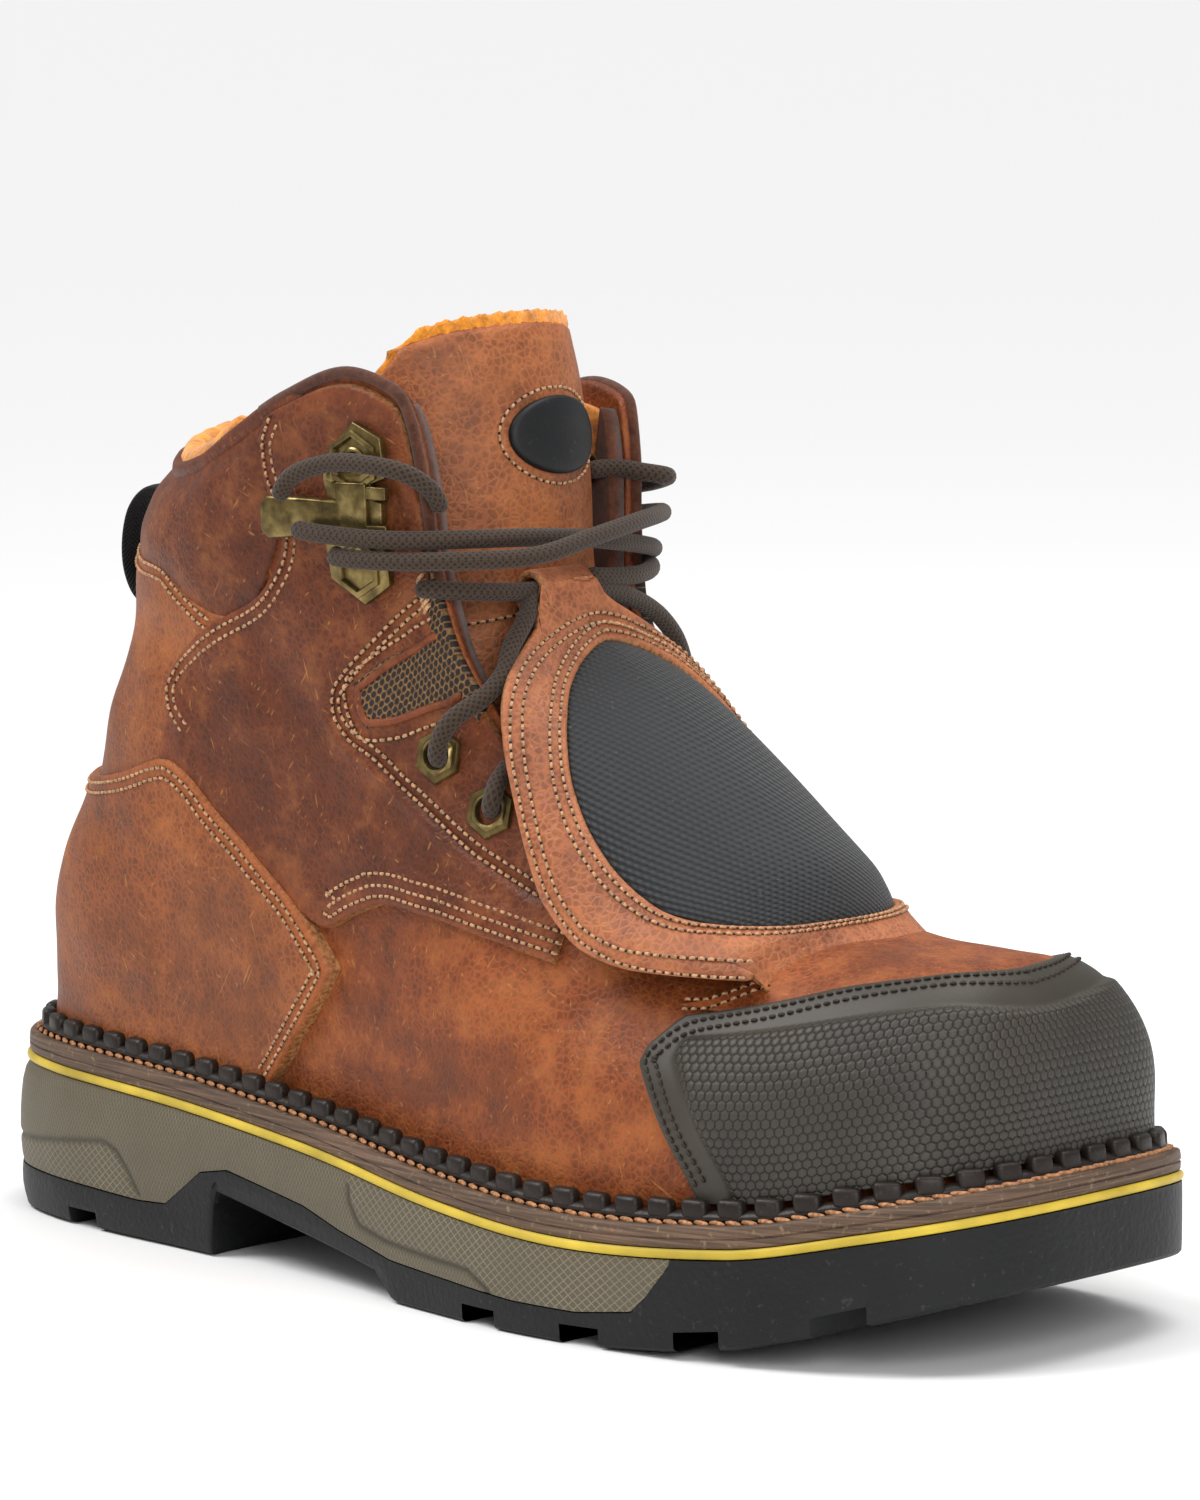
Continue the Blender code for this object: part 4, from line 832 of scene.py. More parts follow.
def pull_up_leather(name, colour, rough=0.5):
    """Waxed pull-up cowhide: mottled brown that turns lighter where it is bent, stretched or scuffed."""
    material, add, shader, place = start(name, rough, 0.28)
    rubbed_tone = shade(linear("#c98a4c"), 0.9)
    tan = linear("#b5763c")
    rubbed = tuple(0.65 * own + 0.35 * pale for own, pale in zip(shade(colour, 1.3), tan))
    broad = add(NOISE, {"Vector": place, "Scale": 24.0, "Detail": 5.0, "Roughness": 0.6, "Distortion": 0.5})
    patches = add(NOISE, {"Vector": place, "Scale": 120.0, "Detail": 6.0, "Roughness": 0.7})
    blend = add(MIX, {0: 0.55, 6: broad, 7: patches}, **COLOURS)
    tone = add(RAMP, [blend], stops=[(0.37, shade(colour, 0.56)), (0.49, shade(colour, 0.95)),
                                     (0.63, rubbed)])
    # creases between the grain's pebbles, about 1.5 mm across, show lighter where the wax has moved
    bent = add(NOISE, {"Vector": place, "Scale": 420.0, "Detail": 2.0}, out="Color")
    wander = add(VECTOR, [bent, (0.0011, 0.0011, 0.0011), place], operation="MULTIPLY_ADD")
    pebbles = add(CELLS, {"Vector": wander, "Scale": 560.0}, feature="DISTANCE_TO_EDGE")
    net = add(RAMP, [pebbles], stops=[(0.03, 1.0), (0.22, 0.0)])
    where = add(RAMP, [broad], stops=[(0.40, 0.12), (0.62, 0.55)])
    creased = add(MATH, [net, where], operation="MULTIPLY")
    tone = add(MIX, {0: creased, 6: tone, 7: shade(colour, 2.2)}, **COLOURS)
    # thin pale scratches, half a millimetre wide and a centimetre long, in a few directions
    for turn, lean in ((0.5, 0.2), (-0.9, 0.4), (1.3, -0.3), (2.2, 0.1)):
        streak = add(MAPPING, {"Vector": place, "Rotation": (lean, turn, 0.3 * turn),
                               "Scale": (1 / 70, 1 / 1100, 1 / 1100)}, vector_type="TEXTURE")
        line = add(NOISE, {"Vector": streak, "Scale": 1.0, "Detail": 1.0})
        line = add(RAMP, [line], stops=[(0.725, 0.0), (0.78, 0.4)])
        tone = add(MIX, {0: line, 6: tone, 7: rubbed_tone}, **COLOURS)
    worn = add(ATTRIBUTE, out="Fac", attribute_name="wear")
    soft = add(RAMP, [patches], stops=[(0.35, 0.1), (0.65, 0.85)])
    worn = add(MATH, [worn, soft], operation="MULTIPLY")
    tone = add(MIX, {0: worn, 6: tone, 7: shade(colour, 2.1)}, **COLOURS)
    # cut edges show pale fibres
    fibres = add(NOISE, {"Vector": place, "Scale": 900.0, "Detail": 3.0, "Roughness": 0.7})
    fluff = add(RAMP, [fibres], stops=[(0.35, linear("#6b4326")), (0.65, linear("#b98657"))])
    cut = add(ATTRIBUTE, out="Fac", attribute_name="raw")
    tone = add(MIX, {0: cut, 6: tone, 7: fluff}, **COLOURS)
    polish = add(RAMP, [blend], stops=[(0.3, rough - 0.08), (0.7, rough + 0.12)])
    grain = add(RAMP, [pebbles], stops=[(0.0, 0.0), (0.25, 1.0)])
    normal = add(BUMP, {"Height": grain, "Strength": 0.35, "Distance": 0.0003})
    normal = add(BUMP, {"Height": fibres, "Strength": 0.3, "Distance": 0.0002, "Normal": normal})
    normal = add(BUMP, {"Height": patches, "Strength": 0.5, "Distance": 0.0008, "Normal": normal})
    fill(shader, {"Base Color": tone, "Roughness": polish, "Normal": normal})
    return material


def hexagons(add, uv, pitch):
    """How near each point is to the edge of its cell of a hexagon grid, 0 in the middle to 1 at the edge."""
    scaled = add(MAPPING, {"Vector": uv, "Scale": (1 / pitch, 1 / (pitch * math.sqrt(3)), 1.0)})
    cells = []
    for shift in (0.0, 0.5):
        cell = add(VECTOR, [scaled, (shift, shift, 0.0)], operation="ADD")
        cell = add(VECTOR, [cell], operation="FRACTION")
        cell = add(VECTOR, [cell, (0.5, 0.5, 0.0)], operation="SUBTRACT")
        cell = add(VECTOR, [cell], operation="ABSOLUTE")
        flat = add(VECTOR, [cell, (1.0, 0.0, 0.0)], out="Value", operation="DOT_PRODUCT")
        slant = add(VECTOR, [cell, (0.5, 1.5, 0.0)], out="Value", operation="DOT_PRODUCT")
        cells.append(add(MATH, [flat, slant], operation="MAXIMUM"))
    nearest = add(MATH, cells, operation="MINIMUM")
    return add(MATH, [nearest, 2.0], operation="MULTIPLY")


def moulded_rubber(name, colour, rough=0.5, grain=1400.0, depth=0.0001):
    """Moulded rubber: matt, with the fine even grain of its mould and a little dust."""
    material, add, shader, place = start(name, rough, 0.3)
    cloud = add(NOISE, {"Vector": place, "Scale": 60.0, "Detail": 3.0})
    tone = add(RAMP, [cloud], stops=[(0.3, shade(colour, 0.7)), (0.7, shade(colour, 1.2))])
    dust = add(NOISE, {"Vector": place, "Scale": 520.0, "Detail": 3.0, "Roughness": 0.7})
    dust = add(RAMP, [dust], stops=[(0.62, 0.0), (0.80, 0.12)])
    tone = add(MIX, {0: dust, 6: tone, 7: linear("#a49c8c")}, **COLOURS)
    fine = add(NOISE, {"Vector": place, "Scale": grain, "Detail": 2.0})
    normal = add(BUMP, {"Height": fine, "Strength": 0.6, "Distance": depth})
    fill(shader, {"Base Color": tone, "Normal": normal})
    return material


def cap_rubber(colour, pitch):
    """Abrasion rubber of the toe bumper: a raised panel of small domed hexagons, with painted shade in the
    gaps between them.
    """
    material, add, shader, place = start("moulded_abrasion_rubber", 0.5, 0.4)
    cell = hexagons(add, add(UV_MAP, uv_map="UVMap"), pitch)
    panel = add(ATTRIBUTE, out="Fac", attribute_name="panel")
    dome = add(RAMP, [cell], stops=[(0.45, 1.0), (0.80, 0.75), (0.97, 0.0)])
    # painted shade: the gaps between the domes are darkened towards a quarter of the rubber's colour, as
    # shade would fall there
    painted_gap_shade = add(RAMP, [cell], stops=[(0.76, 0.0), (0.94, 0.72)])
    painted_gap_shade = add(MATH, [painted_gap_shade, panel], operation="MULTIPLY")
    cloud = add(NOISE, {"Vector": place, "Scale": 45.0, "Detail": 4.0})
    tone = add(RAMP, [cloud], stops=[(0.3, shade(colour, 0.8)), (0.7, shade(colour, 1.2))])
    tone = add(MIX, {0: painted_gap_shade, 6: tone, 7: shade(colour, 0.25)}, **COLOURS)
    height = add(MATH, [dome, panel], operation="MULTIPLY")
    fine = add(NOISE, {"Vector": place, "Scale": 1500.0, "Detail": 2.0})
    normal = add(BUMP, {"Height": fine, "Strength": 0.35, "Distance": 0.00008})
    normal = add(BUMP, {"Height": height, "Strength": 1.0, "Distance": 0.0005, "Normal": normal})
    fill(shader, {"Base Color": tone, "Normal": normal})
    return material


def ballistic_cloth(colour):
    """Black ballistic nylon: thick yarns in a slanting basket weave, with painted shade in its dips and
    painted highlight on its yarns.
    """
    material, add, shader, place = start("ballistic_nylon", 0.6, 0.35)
    uv = add(UV_MAP, uv_map="UVMap")
    # yarns 1.2 mm apart one way, and beaten 1.5 mm apart along each
    turned = add(MAPPING, {"Vector": uv, "Rotation": (0, 0, 0.66), "Scale": (1 / 0.0012, 1 / 0.0015, 1)})
    across = add(SPLIT, [turned], out="X")
    along_yarn = add(SPLIT, [turned], out="Y")
    rib = add(MATH, [across, 0.5], operation="PINGPONG")
    row = add(MATH, [across], operation="FLOOR")
    shifted = add(MATH, [row, 0.5, along_yarn], operation="MULTIPLY_ADD")
    beat = add(MATH, [shifted, 0.5], operation="PINGPONG")
    weave = add(MATH, [beat, 0.7, rib], operation="MULTIPLY_ADD")
    # painted shade and highlight: the weave's dips are darkened and its raised yarns lightened
    tone = add(RAMP, [weave], stops=[(0.10, shade(colour, 0.25)), (0.45, shade(colour, 0.9)),
                                     (0.80, shade(colour, 1.7))])
    lint = add(NOISE, {"Vector": place, "Scale": 800.0, "Detail": 2.0})
    lint = add(RAMP, [lint], stops=[(0.72, 0.0), (0.78, 0.16)])
    tone = add(MIX, {0: lint, 6: tone, 7: linear("#b5b0a6")}, **COLOURS)
    normal = add(BUMP, {"Height": weave, "Strength": 0.9, "Distance": 0.0005})
    fill(shader, {"Base Color": tone, "Sheen Weight": 0.12, "Normal": normal})
    return material


def braided_cord(name, colour, pitch=0.0016):
    """Braided polyester cord: two crossing sets of small slanting strands, with painted shade between them
    and painted highlight on their tops.
    """
    material, add, shader, place = start(name, 0.85, 0.3)
    uv = add(UV_MAP, uv_map="UVMap")
    waves = []
    for lean in (1.0, -1.0):
        run = add(VECTOR, [uv, (1.0 / pitch, lean / pitch, 0.0)], out="Value", operation="DOT_PRODUCT")
        waves.append(add(MATH, [run, 0.5], operation="PINGPONG"))
    strand = add(MATH, waves, operation="MAXIMUM")
    fuzz = add(NOISE, {"Vector": place, "Scale": 1600.0, "Detail": 2.0, "Roughness": 0.7})
    height = add(MATH, [fuzz, 0.35, strand], operation="MULTIPLY_ADD")
    # painted shade and highlight: the strands' low parts are darkened and their tops lightened
    tone = add(RAMP, [height], stops=[(0.30, shade(colour, 0.35)), (0.62, shade(colour, 1.35))])
    normal = add(BUMP, {"Height": height, "Strength": 0.8, "Distance": 0.0004})
    fill(shader, {"Base Color": tone, "Sheen Weight": 0.12, "Normal": normal})
    return material


def napped_cloth(name, colour, scale=520.0, depth=0.0006, sheen=0.3):
    """Fleece or suede: short raised fibres that catch the light at grazing angles."""
    material, add, shader, place = start(name, 0.95, 0.2)
    nap = add(NOISE, {"Vector": place, "Scale": scale, "Detail": 5.0, "Roughness": 0.72, "Distortion": 0.5})
    curls = add(NOISE, {"Vector": place, "Scale": scale * 0.3, "Detail": 3.0})
    blend = add(MIX, {0: 0.45, 6: nap, 7: curls}, **COLOURS)
    tone = add(RAMP, [blend], stops=[(0.38, shade(colour, 0.5)), (0.60, shade(colour, 1.2))])
    fill(shader, {"Base Color": tone, "Sheen Weight": sheen, "Sheen Roughness": 0.6})
    normal = add(BUMP, {"Height": nap, "Strength": 0.8, "Distance": depth})
    normal = add(BUMP, {"Height": curls, "Strength": 0.6, "Distance": depth * 2.5, "Normal": normal})
    fill(shader, {"Normal": normal})
    return material


def mesh_cloth():
    """Knitted spacer mesh: brass-brown bars round dark hexagon holes."""
    material, add, shader, place = start("knitted_spacer_mesh", 0.7)
    uv = add(UV_MAP, uv_map="UVMap")
    turned = add(MAPPING, {"Vector": uv, "Rotation": (0, 0, 0.5)})
    # holes 2 mm apart
    cell = hexagons(add, turned, 0.0020)
    bar = add(RAMP, [cell], stops=[(0.60, 0.0), (0.80, 1.0)])
    yarn = add(NOISE, {"Vector": place, "Scale": 1500.0, "Detail": 2.0})
    yarn = add(RAMP, [yarn], stops=[(0.3, linear("#4d3218")), (0.7, linear("#8a6436"))])
    tone = add(MIX, {0: bar, 6: linear("#120b06"), 7: yarn}, **COLOURS)
    normal = add(BUMP, {"Height": bar, "Strength": 1.0, "Distance": 0.0006})
    fill(shader, {"Base Color": tone, "Normal": normal})
    return material


def webbing():
    """Black woven nylon webbing in a fine herringbone, 1.1 mm to a rib, with painted shade between the ribs
    and painted highlight on them.
    """
    material, add, shader, _ = start("woven_nylon_webbing", 0.8, 0.3)
    uv = add(UV_MAP, uv_map="UVMap")
    run = add(SPLIT, [uv], out="X")
    cross = add(SPLIT, [uv], out="Y")
    zigzag = add(MATH, [cross, 0.0025], operation="PINGPONG")
    slant = add(MATH, [run, zigzag], operation="ADD")
    rib = add(MATH, [slant, 0.00055], operation="PINGPONG")
    height = add(MATH, [rib, 1800.0], operation="MULTIPLY")
    # painted shade and highlight: the webbing is darker between its ribs and lighter on them
    tone = add(RAMP, [height], stops=[(0.1, linear("#08080a")), (0.9, linear("#26272a"))])
    normal = add(BUMP, {"Height": height, "Strength": 0.8, "Distance": 0.0003})
    fill(shader, {"Base Color": tone, "Normal": normal})
    return material


def antique_brass():
    """Cast hardware with antique brass plating, darker and lighter in patches."""
    material, add, shader, place = start("antique_brass_plating", 0.4)
    cloud = add(NOISE, {"Vector": place, "Scale": 260.0, "Detail": 3.0, "Roughness": 0.5})
    tone = add(RAMP, [cloud], stops=[(0.30, linear("#4a3f28")), (0.50, linear("#75643c")),
                                     (0.70, linear("#978455"))])
    rough = add(RAMP, [cloud], stops=[(0.3, 0.42), (0.7, 0.26)])
    spots = add(NOISE, {"Vector": place, "Scale": 900.0, "Detail": 3.0})
    normal = add(BUMP, {"Height": spots, "Strength": 0.35, "Distance": 0.00015})
    fill(shader, {"Base Color": tone, "Metallic": 0.9, "Roughness": rough, "Normal": normal})
    return material


def waxed_thread(name, colour):
    """Waxed polyester thread, uneven in tone where the wax has dried."""
    material, add, shader, place = start(name, 0.6, 0.4)
    twist = add(NOISE, {"Vector": place, "Scale": 1300.0, "Detail": 2.0})
    tone = add(RAMP, [twist], stops=[(0.35, shade(colour, 0.45)), (0.62, shade(colour, 1.15))])
    fill(shader, {"Base Color": tone})
    return material


def foam_side(colour):
    """Moulded polyurethane foam: a fine net of lines, with coarser diamonds inside its panels, and painted
    shade in the lines and in the grooves.
    """
    material, add, shader, place = start("moulded_polyurethane_foam", 0.55, 0.35)
    uv = add(UV_MAP, uv_map="UVMap")
    panel = add(ATTRIBUTE, out="Fac", attribute_name="panel")
    nets = []
    # diamonds 2.6 mm wide in the panels, and a net of 1.2 mm elsewhere
    for width, slope in ((0.0012, 0.6), (0.0026, 1.3)):
        sets = []
        for lean in (slope, -slope):
            run = add(VECTOR, [uv, (1 / width, lean / width, 0.0)], out="Value", operation="DOT_PRODUCT")
            sets.append(add(MATH, [run, 0.5], operation="PINGPONG"))
        net = add(MATH, sets, operation="MINIMUM")
        nets.append(add(RAMP, [net], stops=[(0.02, 0.0), (0.14, 1.0)]))
    height = add(MIX, {0: panel, 6: nets[0], 7: nets[1]}, **COLOURS)
    cloud = add(NOISE, {"Vector": place, "Scale": 70.0, "Detail": 4.0})
    tone = add(RAMP, [cloud], stops=[(0.3, shade(colour, 0.85)), (0.7, shade(colour, 1.15))])
    # painted shade: the low lines of the net are darkened towards a third of the foam's colour
    low = add(RAMP, [height], stops=[(0.0, 0.30), (1.0, 0.0)])
    tone = add(MIX, {0: low, 6: tone, 7: shade(colour, 0.35)}, **COLOURS)
    # painted shade: the grooves round the panels are darkened to about a fifth of the foam's colour
    groove = add(ATTRIBUTE, out="Fac", attribute_name="groove")
    tone = add(MIX, {0: groove, 6: tone, 7: shade(colour, 0.22)}, **COLOURS)
    normal = add(BUMP, {"Height": height, "Strength": 0.7, "Distance": 0.0003})
    fill(shader, {"Base Color": tone, "Normal": normal})
    return material


def stacked_board(colour):
    """Stacked leather board: dark and pale layers with a trimmed, waxed edge."""
    material, add, shader, place = start("stacked_leather_board", 0.55, 0.35)
    layered = add(MAPPING, {"Vector": place, "Scale": (30.0, 30.0, 1500.0)})
    grain = add(NOISE, {"Vector": layered, "Scale": 1.0, "Detail": 5.0, "Roughness": 0.7})
    tone = add(RAMP, [grain], stops=[(0.32, shade(colour, 0.4)), (0.50, shade(colour, 1.0)),
                                     (0.66, shade(colour, 1.9))])
    fibres = add(NOISE, {"Vector": place, "Scale": 700.0, "Detail": 3.0})
    fibres = add(RAMP, [fibres], stops=[(0.60, 0.0), (0.72, 0.3)])
    tone = add(MIX, {0: fibres, 6: tone, 7: linear("#b59a78")}, **COLOURS)
    normal = add(BUMP, {"Height": grain, "Strength": 0.5, "Distance": 0.0003})
    fill(shader, {"Base Color": tone, "Normal": normal})
    return material


FINISHES = {}


def finish(name):
    """The material of that name, made once."""
    scene = bpy.context.scene
    colours, sizes = scene.boot_colours, scene.boot_sizes
    makers = {
        "leather": lambda: pull_up_leather("waxed_cowhide", colours.leather),
        "quarter": lambda: pull_up_leather("waxed_quarter_cowhide", colours.quarter),
        "counter": lambda: pull_up_leather("waxed_counter_cowhide", colours.counter),
        "guard": lambda: pull_up_leather("waxed_guard_cowhide", colours.guard, 0.46),
        "tongue": lambda: pull_up_leather("waxed_tongue_cowhide", colours.tongue, 0.46),
        "cap": lambda: cap_rubber(colours.toe_rubber, sizes.hexagon_pitch),
        "outsole": lambda: moulded_rubber("moulded_outsole_rubber", linear("#0c0d0f"), 0.5, 700.0, 0.0003),
        "rib": lambda: moulded_rubber("moulded_rib_rubber", linear("#221a15"), 0.42, 1000.0, 0.0002),
        "line": lambda: moulded_rubber("moulded_yellow_rubber", colours.line, 0.45, 500.0, 0.0002),
        "badge": lambda: moulded_rubber("moulded_badge_rubber", linear("#111214"), 0.5, 1200.0, 0.0001),
        "midsole": lambda: foam_side(colours.midsole),
        "welt": lambda: stacked_board(linear("#574334")),
        "pad": lambda: ballistic_cloth(linear("#1a1c1f")),
        "mesh": mesh_cloth,
        "lace": lambda: braided_cord("braided_polyester_cord", colours.lace),
        "fleece": lambda: napped_cloth("pile_fleece", colours.fleece),
        "suede": lambda: napped_cloth("napped_suede", linear("#56301f"), 900.0, 0.0003, 0.15),
        "insole": lambda: napped_cloth("pressed_felt", linear("#4a4640"), 700.0, 0.0003, 0.2),
        "webbing": webbing,
        "brass": antique_brass,
        "thread": lambda: waxed_thread("waxed_tan_thread", colours.thread),
        "dark_thread": lambda: waxed_thread("waxed_dark_thread", linear("#33281d")),
        "welt_thread": lambda: waxed_thread("waxed_welt_thread", linear("#b98257")),
        # painted shade: near-black for the needle holes and for the holes of the eyelets and hooks
        "hole": lambda: waxed_thread("needle_hole_shadow", linear("#1a0e08")),
    }
    if name not in FINISHES:
        FINISHES[name] = makers[name]()
    return FINISHES[name]


# Repeats made by geometry nodes

def repeat_tree():
    """Copies of a shape along curves, turned so that their Z follows the stored outward direction."""
    tree = bpy.data.node_groups.get("Shapes along lines")
    if tree:
        return tree
    tree = bpy.data.node_groups.new("Shapes along lines", "GeometryNodeTree")
    for label, kind, way in (("Lines", "NodeSocketGeometry", "INPUT"), ("Shape", "NodeSocketObject", "INPUT"),
                             ("Pitch", "NodeSocketFloat", "INPUT"), ("Finish", "NodeSocketMaterial", "INPUT"),
                             ("Geometry", "NodeSocketGeometry", "OUTPUT")):
        tree.interface.new_socket(label, in_out=way, socket_type=kind)
    inside = tree.nodes.new("NodeGroupInput").outputs
    line = node(tree, "GeometryNodeMeshToCurve", {"Mesh": inside["Lines"]})
    even = node(tree, "GeometryNodeResampleCurve", {"Curve": line, "Length": inside["Pitch"]}, mode="LENGTH")
    outward = node(tree, "GeometryNodeInputNamedAttribute", {"Name": "outward"}, out="Attribute",
                   data_type="FLOAT_VECTOR")
    tangent = node(tree, "GeometryNodeInputTangent")
    turn = node(tree, "FunctionNodeAxesToRotation", {"Primary Axis": outward, "Secondary Axis": tangent},
                primary_axis="Z", secondary_axis="X")
    shape = node(tree, "GeometryNodeObjectInfo", {"Object": inside["Shape"]}, out="Geometry")
    copies = node(tree, "GeometryNodeInstanceOnPoints", {"Points": even, "Instance": shape, "Rotation": turn})
    real = node(tree, "GeometryNodeRealizeInstances", {"Geometry": copies})
    dressed = node(tree, "GeometryNodeSetMaterial", {"Geometry": real, "Material": inside["Finish"]})
    node(tree, "NodeGroupOutput", {"Geometry": dressed})
    return tree


def repeat_along(name, lines, shape, pitch, look, slot, loop=False):
    """One mesh of a shape repeated along lines; each line is (points, outward directions) in millimetres."""
    verts, edges, outward = [], [], []
    for points, directions in lines:
        base = len(verts)
        verts += points.tolist()
        outward += directions.tolist()
        edges += [(base + i, base + i + 1) for i in range(len(points) - 1)]
        if loop:
            edges.append((base + len(points) - 1, base))
    placed = np.array(verts)
    placed[:, 0] -= HEEL_CENTRE
    carrier = mesh_object(name + "_lines", placed, edges, [])
    attribute = carrier.data.attributes.new("outward", "FLOAT_VECTOR", "POINT")
    attribute.data.foreach_set("vector", np.array(outward, np.float32).ravel())
    tree = repeat_tree()
    modifier = carrier.modifiers.new("repeat", "NODES")
    modifier.node_group = tree
    values = {"Shape": shape, "Pitch": pitch * 0.001, "Finish": finish(look)}
    for item in tree.interface.items_tree:
        if item.in_out == "INPUT" and item.name in values:
            modifier[item.identifier] = values[item.name]
    bpy.context.view_layer.update()
    graph = bpy.context.evaluated_depsgraph_get()
    result = bpy.data.meshes.new_from_object(carrier.evaluated_get(graph))
    bpy.data.objects.remove(carrier)
    result.name = name
    smooth_faces(result)
    return dress(linked(name, result), look, slot)


def drop(*objects):
    """Takes shapes that were only made to be repeated off the scene again."""
    for obj in objects:
        bpy.data.objects.remove(obj)


def stitch_shape(length, width, height):
    """A short thread that dips into the leather at both ends."""
    verts, sides, rings = [], 5, 6
    for i in range(rings):
        a = i / (rings - 1)
        x = (a - 0.5) * length
        fat = math.sqrt(max(1 - (2 * a - 1) ** 4, 0.05))
        z = height * (0.35 - 1.6 * (a - 0.5) ** 2 * 2)
        for k in range(sides):
            b = 2 * math.pi * k / sides
            verts.append((x, width / 2 * fat * math.cos(b), z + height / 2 * fat * math.sin(b)))
    return mesh_object("stitch", verts, [], ring_faces(rings, sides, caps=True))


def hole_shape(shift, radius):
    """A dark dot of painted shade for a needle hole, half a stitch further on."""
    verts = [(shift, 0, 0.10)] + [(shift + radius * math.cos(k * math.pi / 4),
                                   0.8 * radius * math.sin(k * math.pi / 4), 0.02) for k in range(8)]
    faces = [(0, 1 + k, 1 + (k + 1) % 8) for k in range(8)]
    verts.append((shift, 0, -0.3))
    faces += [(9, 1 + (k + 1) % 8, 1 + k) for k in range(8)]
    return mesh_object("hole", verts, [], faces)


def offset_row(point_at, lifted_at, line, inset, lift, toward, trim=(0.0, 0.0), count=220):
    """A line in a surface's own coordinates moved sideways towards a place, as points and directions."""
    uv = along(rounded(line), np.linspace(trim[0], 1 - trim[1], count))
    a, b = uv[:, 0], uv[:, 1]
    step = 0.003
    p = point_at(a, b)
    pa = (point_at(a + step, b) - point_at(a - step, b)) / (2 * step)
    pb = (point_at(a, b + step) - point_at(a, b - step)) / (2 * step)
    d = np.gradient(p, axis=0)
    d /= np.maximum(np.linalg.norm(d, axis=1, keepdims=True), 1e-9)
    n = np.cross(pa, pb)
    n /= np.maximum(np.linalg.norm(n, axis=1, keepdims=True), 1e-9)
    across = np.cross(n, d)
    goal = point_at(np.array([toward[0]]), np.array([toward[1]]))[0]
    if ((goal - p) * across).sum() < 0:
        across = -across
    aa, ab, bb = (pa * pa).sum(1), (pa * pb).sum(1), (pb * pb).sum(1)
    ra, rb = (pa * across).sum(1) * inset, (pb * across).sum(1) * inset
    det = np.maximum(aa * bb - ab * ab, 1e-9)
    a = a + (ra * bb - rb * ab) / det
    b = b + (rb * aa - ra * ab) / det
    return lifted_at(a, b, lift)


def skin_row(side, line, inset, lift, toward, trim=(0.0, 0.0)):
    def point_at(s, t):
        return surface(side, np.clip(s, 0, 1), np.clip(t, 0, 1))

    def lifted_at(s, t, lift):
        return skin(side, np.clip(s, 0, 1), np.clip(t, 0, 1), lift)

    return offset_row(point_at, lifted_at, line, inset, lift, toward, trim)


def line_distance(points, line):
    """The distance of each point from a line of points."""
    p = np.asarray(points, float)
    flat = p.reshape(-1, p.shape[-1])
    best = np.full(len(flat), 1e9)
    for a, b in zip(line[:-1], line[1:]):
        d = b - a
        k = np.clip(((flat - a) @ d) / max(d @ d, 1e-12), 0, 1)
        best = np.minimum(best, np.linalg.norm(flat - a - k[:, None] * d, axis=1))
    return best.reshape(p.shape[:-1])


def inside(x, y, outline):
    """Whether points lie in a flat outline."""
    out = np.zeros(np.shape(x), bool)
    for (x0, y0), (x1, y1) in zip(outline, outline[1:] + outline[:1]):
        cross = (y0 > y) != (y1 > y)
        out ^= cross & (x < (x1 - x0) * (y - y0) / ((y1 - y0) or 1e-9) + x0)
    return out


# Sole

def sole_loop(levels, start=0.0, count=420):
    """Rings round the sole. levels are (inset, height at x) from below; start cuts the toe end off at x."""
    rings = []
    for inset, height in levels:
        parts = []
        for side in (-1, 1):
            first = 0.0
            if start:
                at = along(PLAN[side], np.linspace(0, 1, 2001))[:, 0]
                first = np.interp(-start, -at[:1400], np.linspace(0, 1, 2001)[:1400])
            s = np.linspace(first, 1, count)
            p, n = plan_edge(side, s, np.zeros(count))
            value = inset(p[:, 0]) if callable(inset) else inset * np.ones(count)
            p = p - n * value[:, None]
            p[-1, 1] = 0.0
            if not start:
                p[0, 1] = 0.0
            parts.append(p)
        p = np.vstack([parts[0], parts[1][::-1][1:] if start else parts[1][::-1][1:-1]])
        rings.append(np.c_[p, height(p[:, 0])])
    return np.array(rings), count


def sole_body(levels, start=0.0, count=420):
    """Points, faces and pattern map of a closed layer of the sole."""
    rings, half = sole_loop(levels, start, count)
    k, m = rings.shape[:2]
    faces = []
    wrap = m if not start else m - 1
    for i in range(k - 1):
        for j in range(wrap):
            h = (j + 1) % m
            faces.append([i * m + j, i * m + h, (i + 1) * m + h, (i + 1) * m + j])
    if start:
        for i in range(k - 1):
            faces.append([i * m + m - 1, i * m, (i + 1) * m, (i + 1) * m + m - 1])
    for base, flip in ((0, True), ((k - 1) * m, False)):
        for j in range(half - 1):
            if start:
                a, b, c, d = j, j + 1, m - 2 - j, m - 1 - j
            else:
                a, b, c, d = j, j + 1, (m - j - 1) % m, (m - j) % m
            f = []
            for v in (a, b, c, d):
                if v not in f:
                    f.append(v)
            if len(f) > 2:
                faces.append([base + v for v in (f if flip else f[::-1])])
    step = np.r_[0, np.cumsum(np.linalg.norm(np.diff(rings[0, :, :2], axis=0), axis=1))]
    uv = np.stack([np.broadcast_to(step, (k, m)), rings[..., 2]], -1)
    return rings.reshape(-1, 3), outward_faces(rings.reshape(-1, 3), faces), uv.reshape(-1, 2), rings


def outward_faces(verts, faces):
    """The faces of a closed body, turned round together if they point inwards."""
    volume = 0.0
    for f in faces:
        a = verts[f[0]]
        for b, c in zip(f[1:-1], f[2:]):
            volume += a @ np.cross(verts[b], verts[c])
    return faces if volume > 0 else [list(reversed(f)) for f in faces]


def above(base, rise):
    return lambda x: base(x) + rise


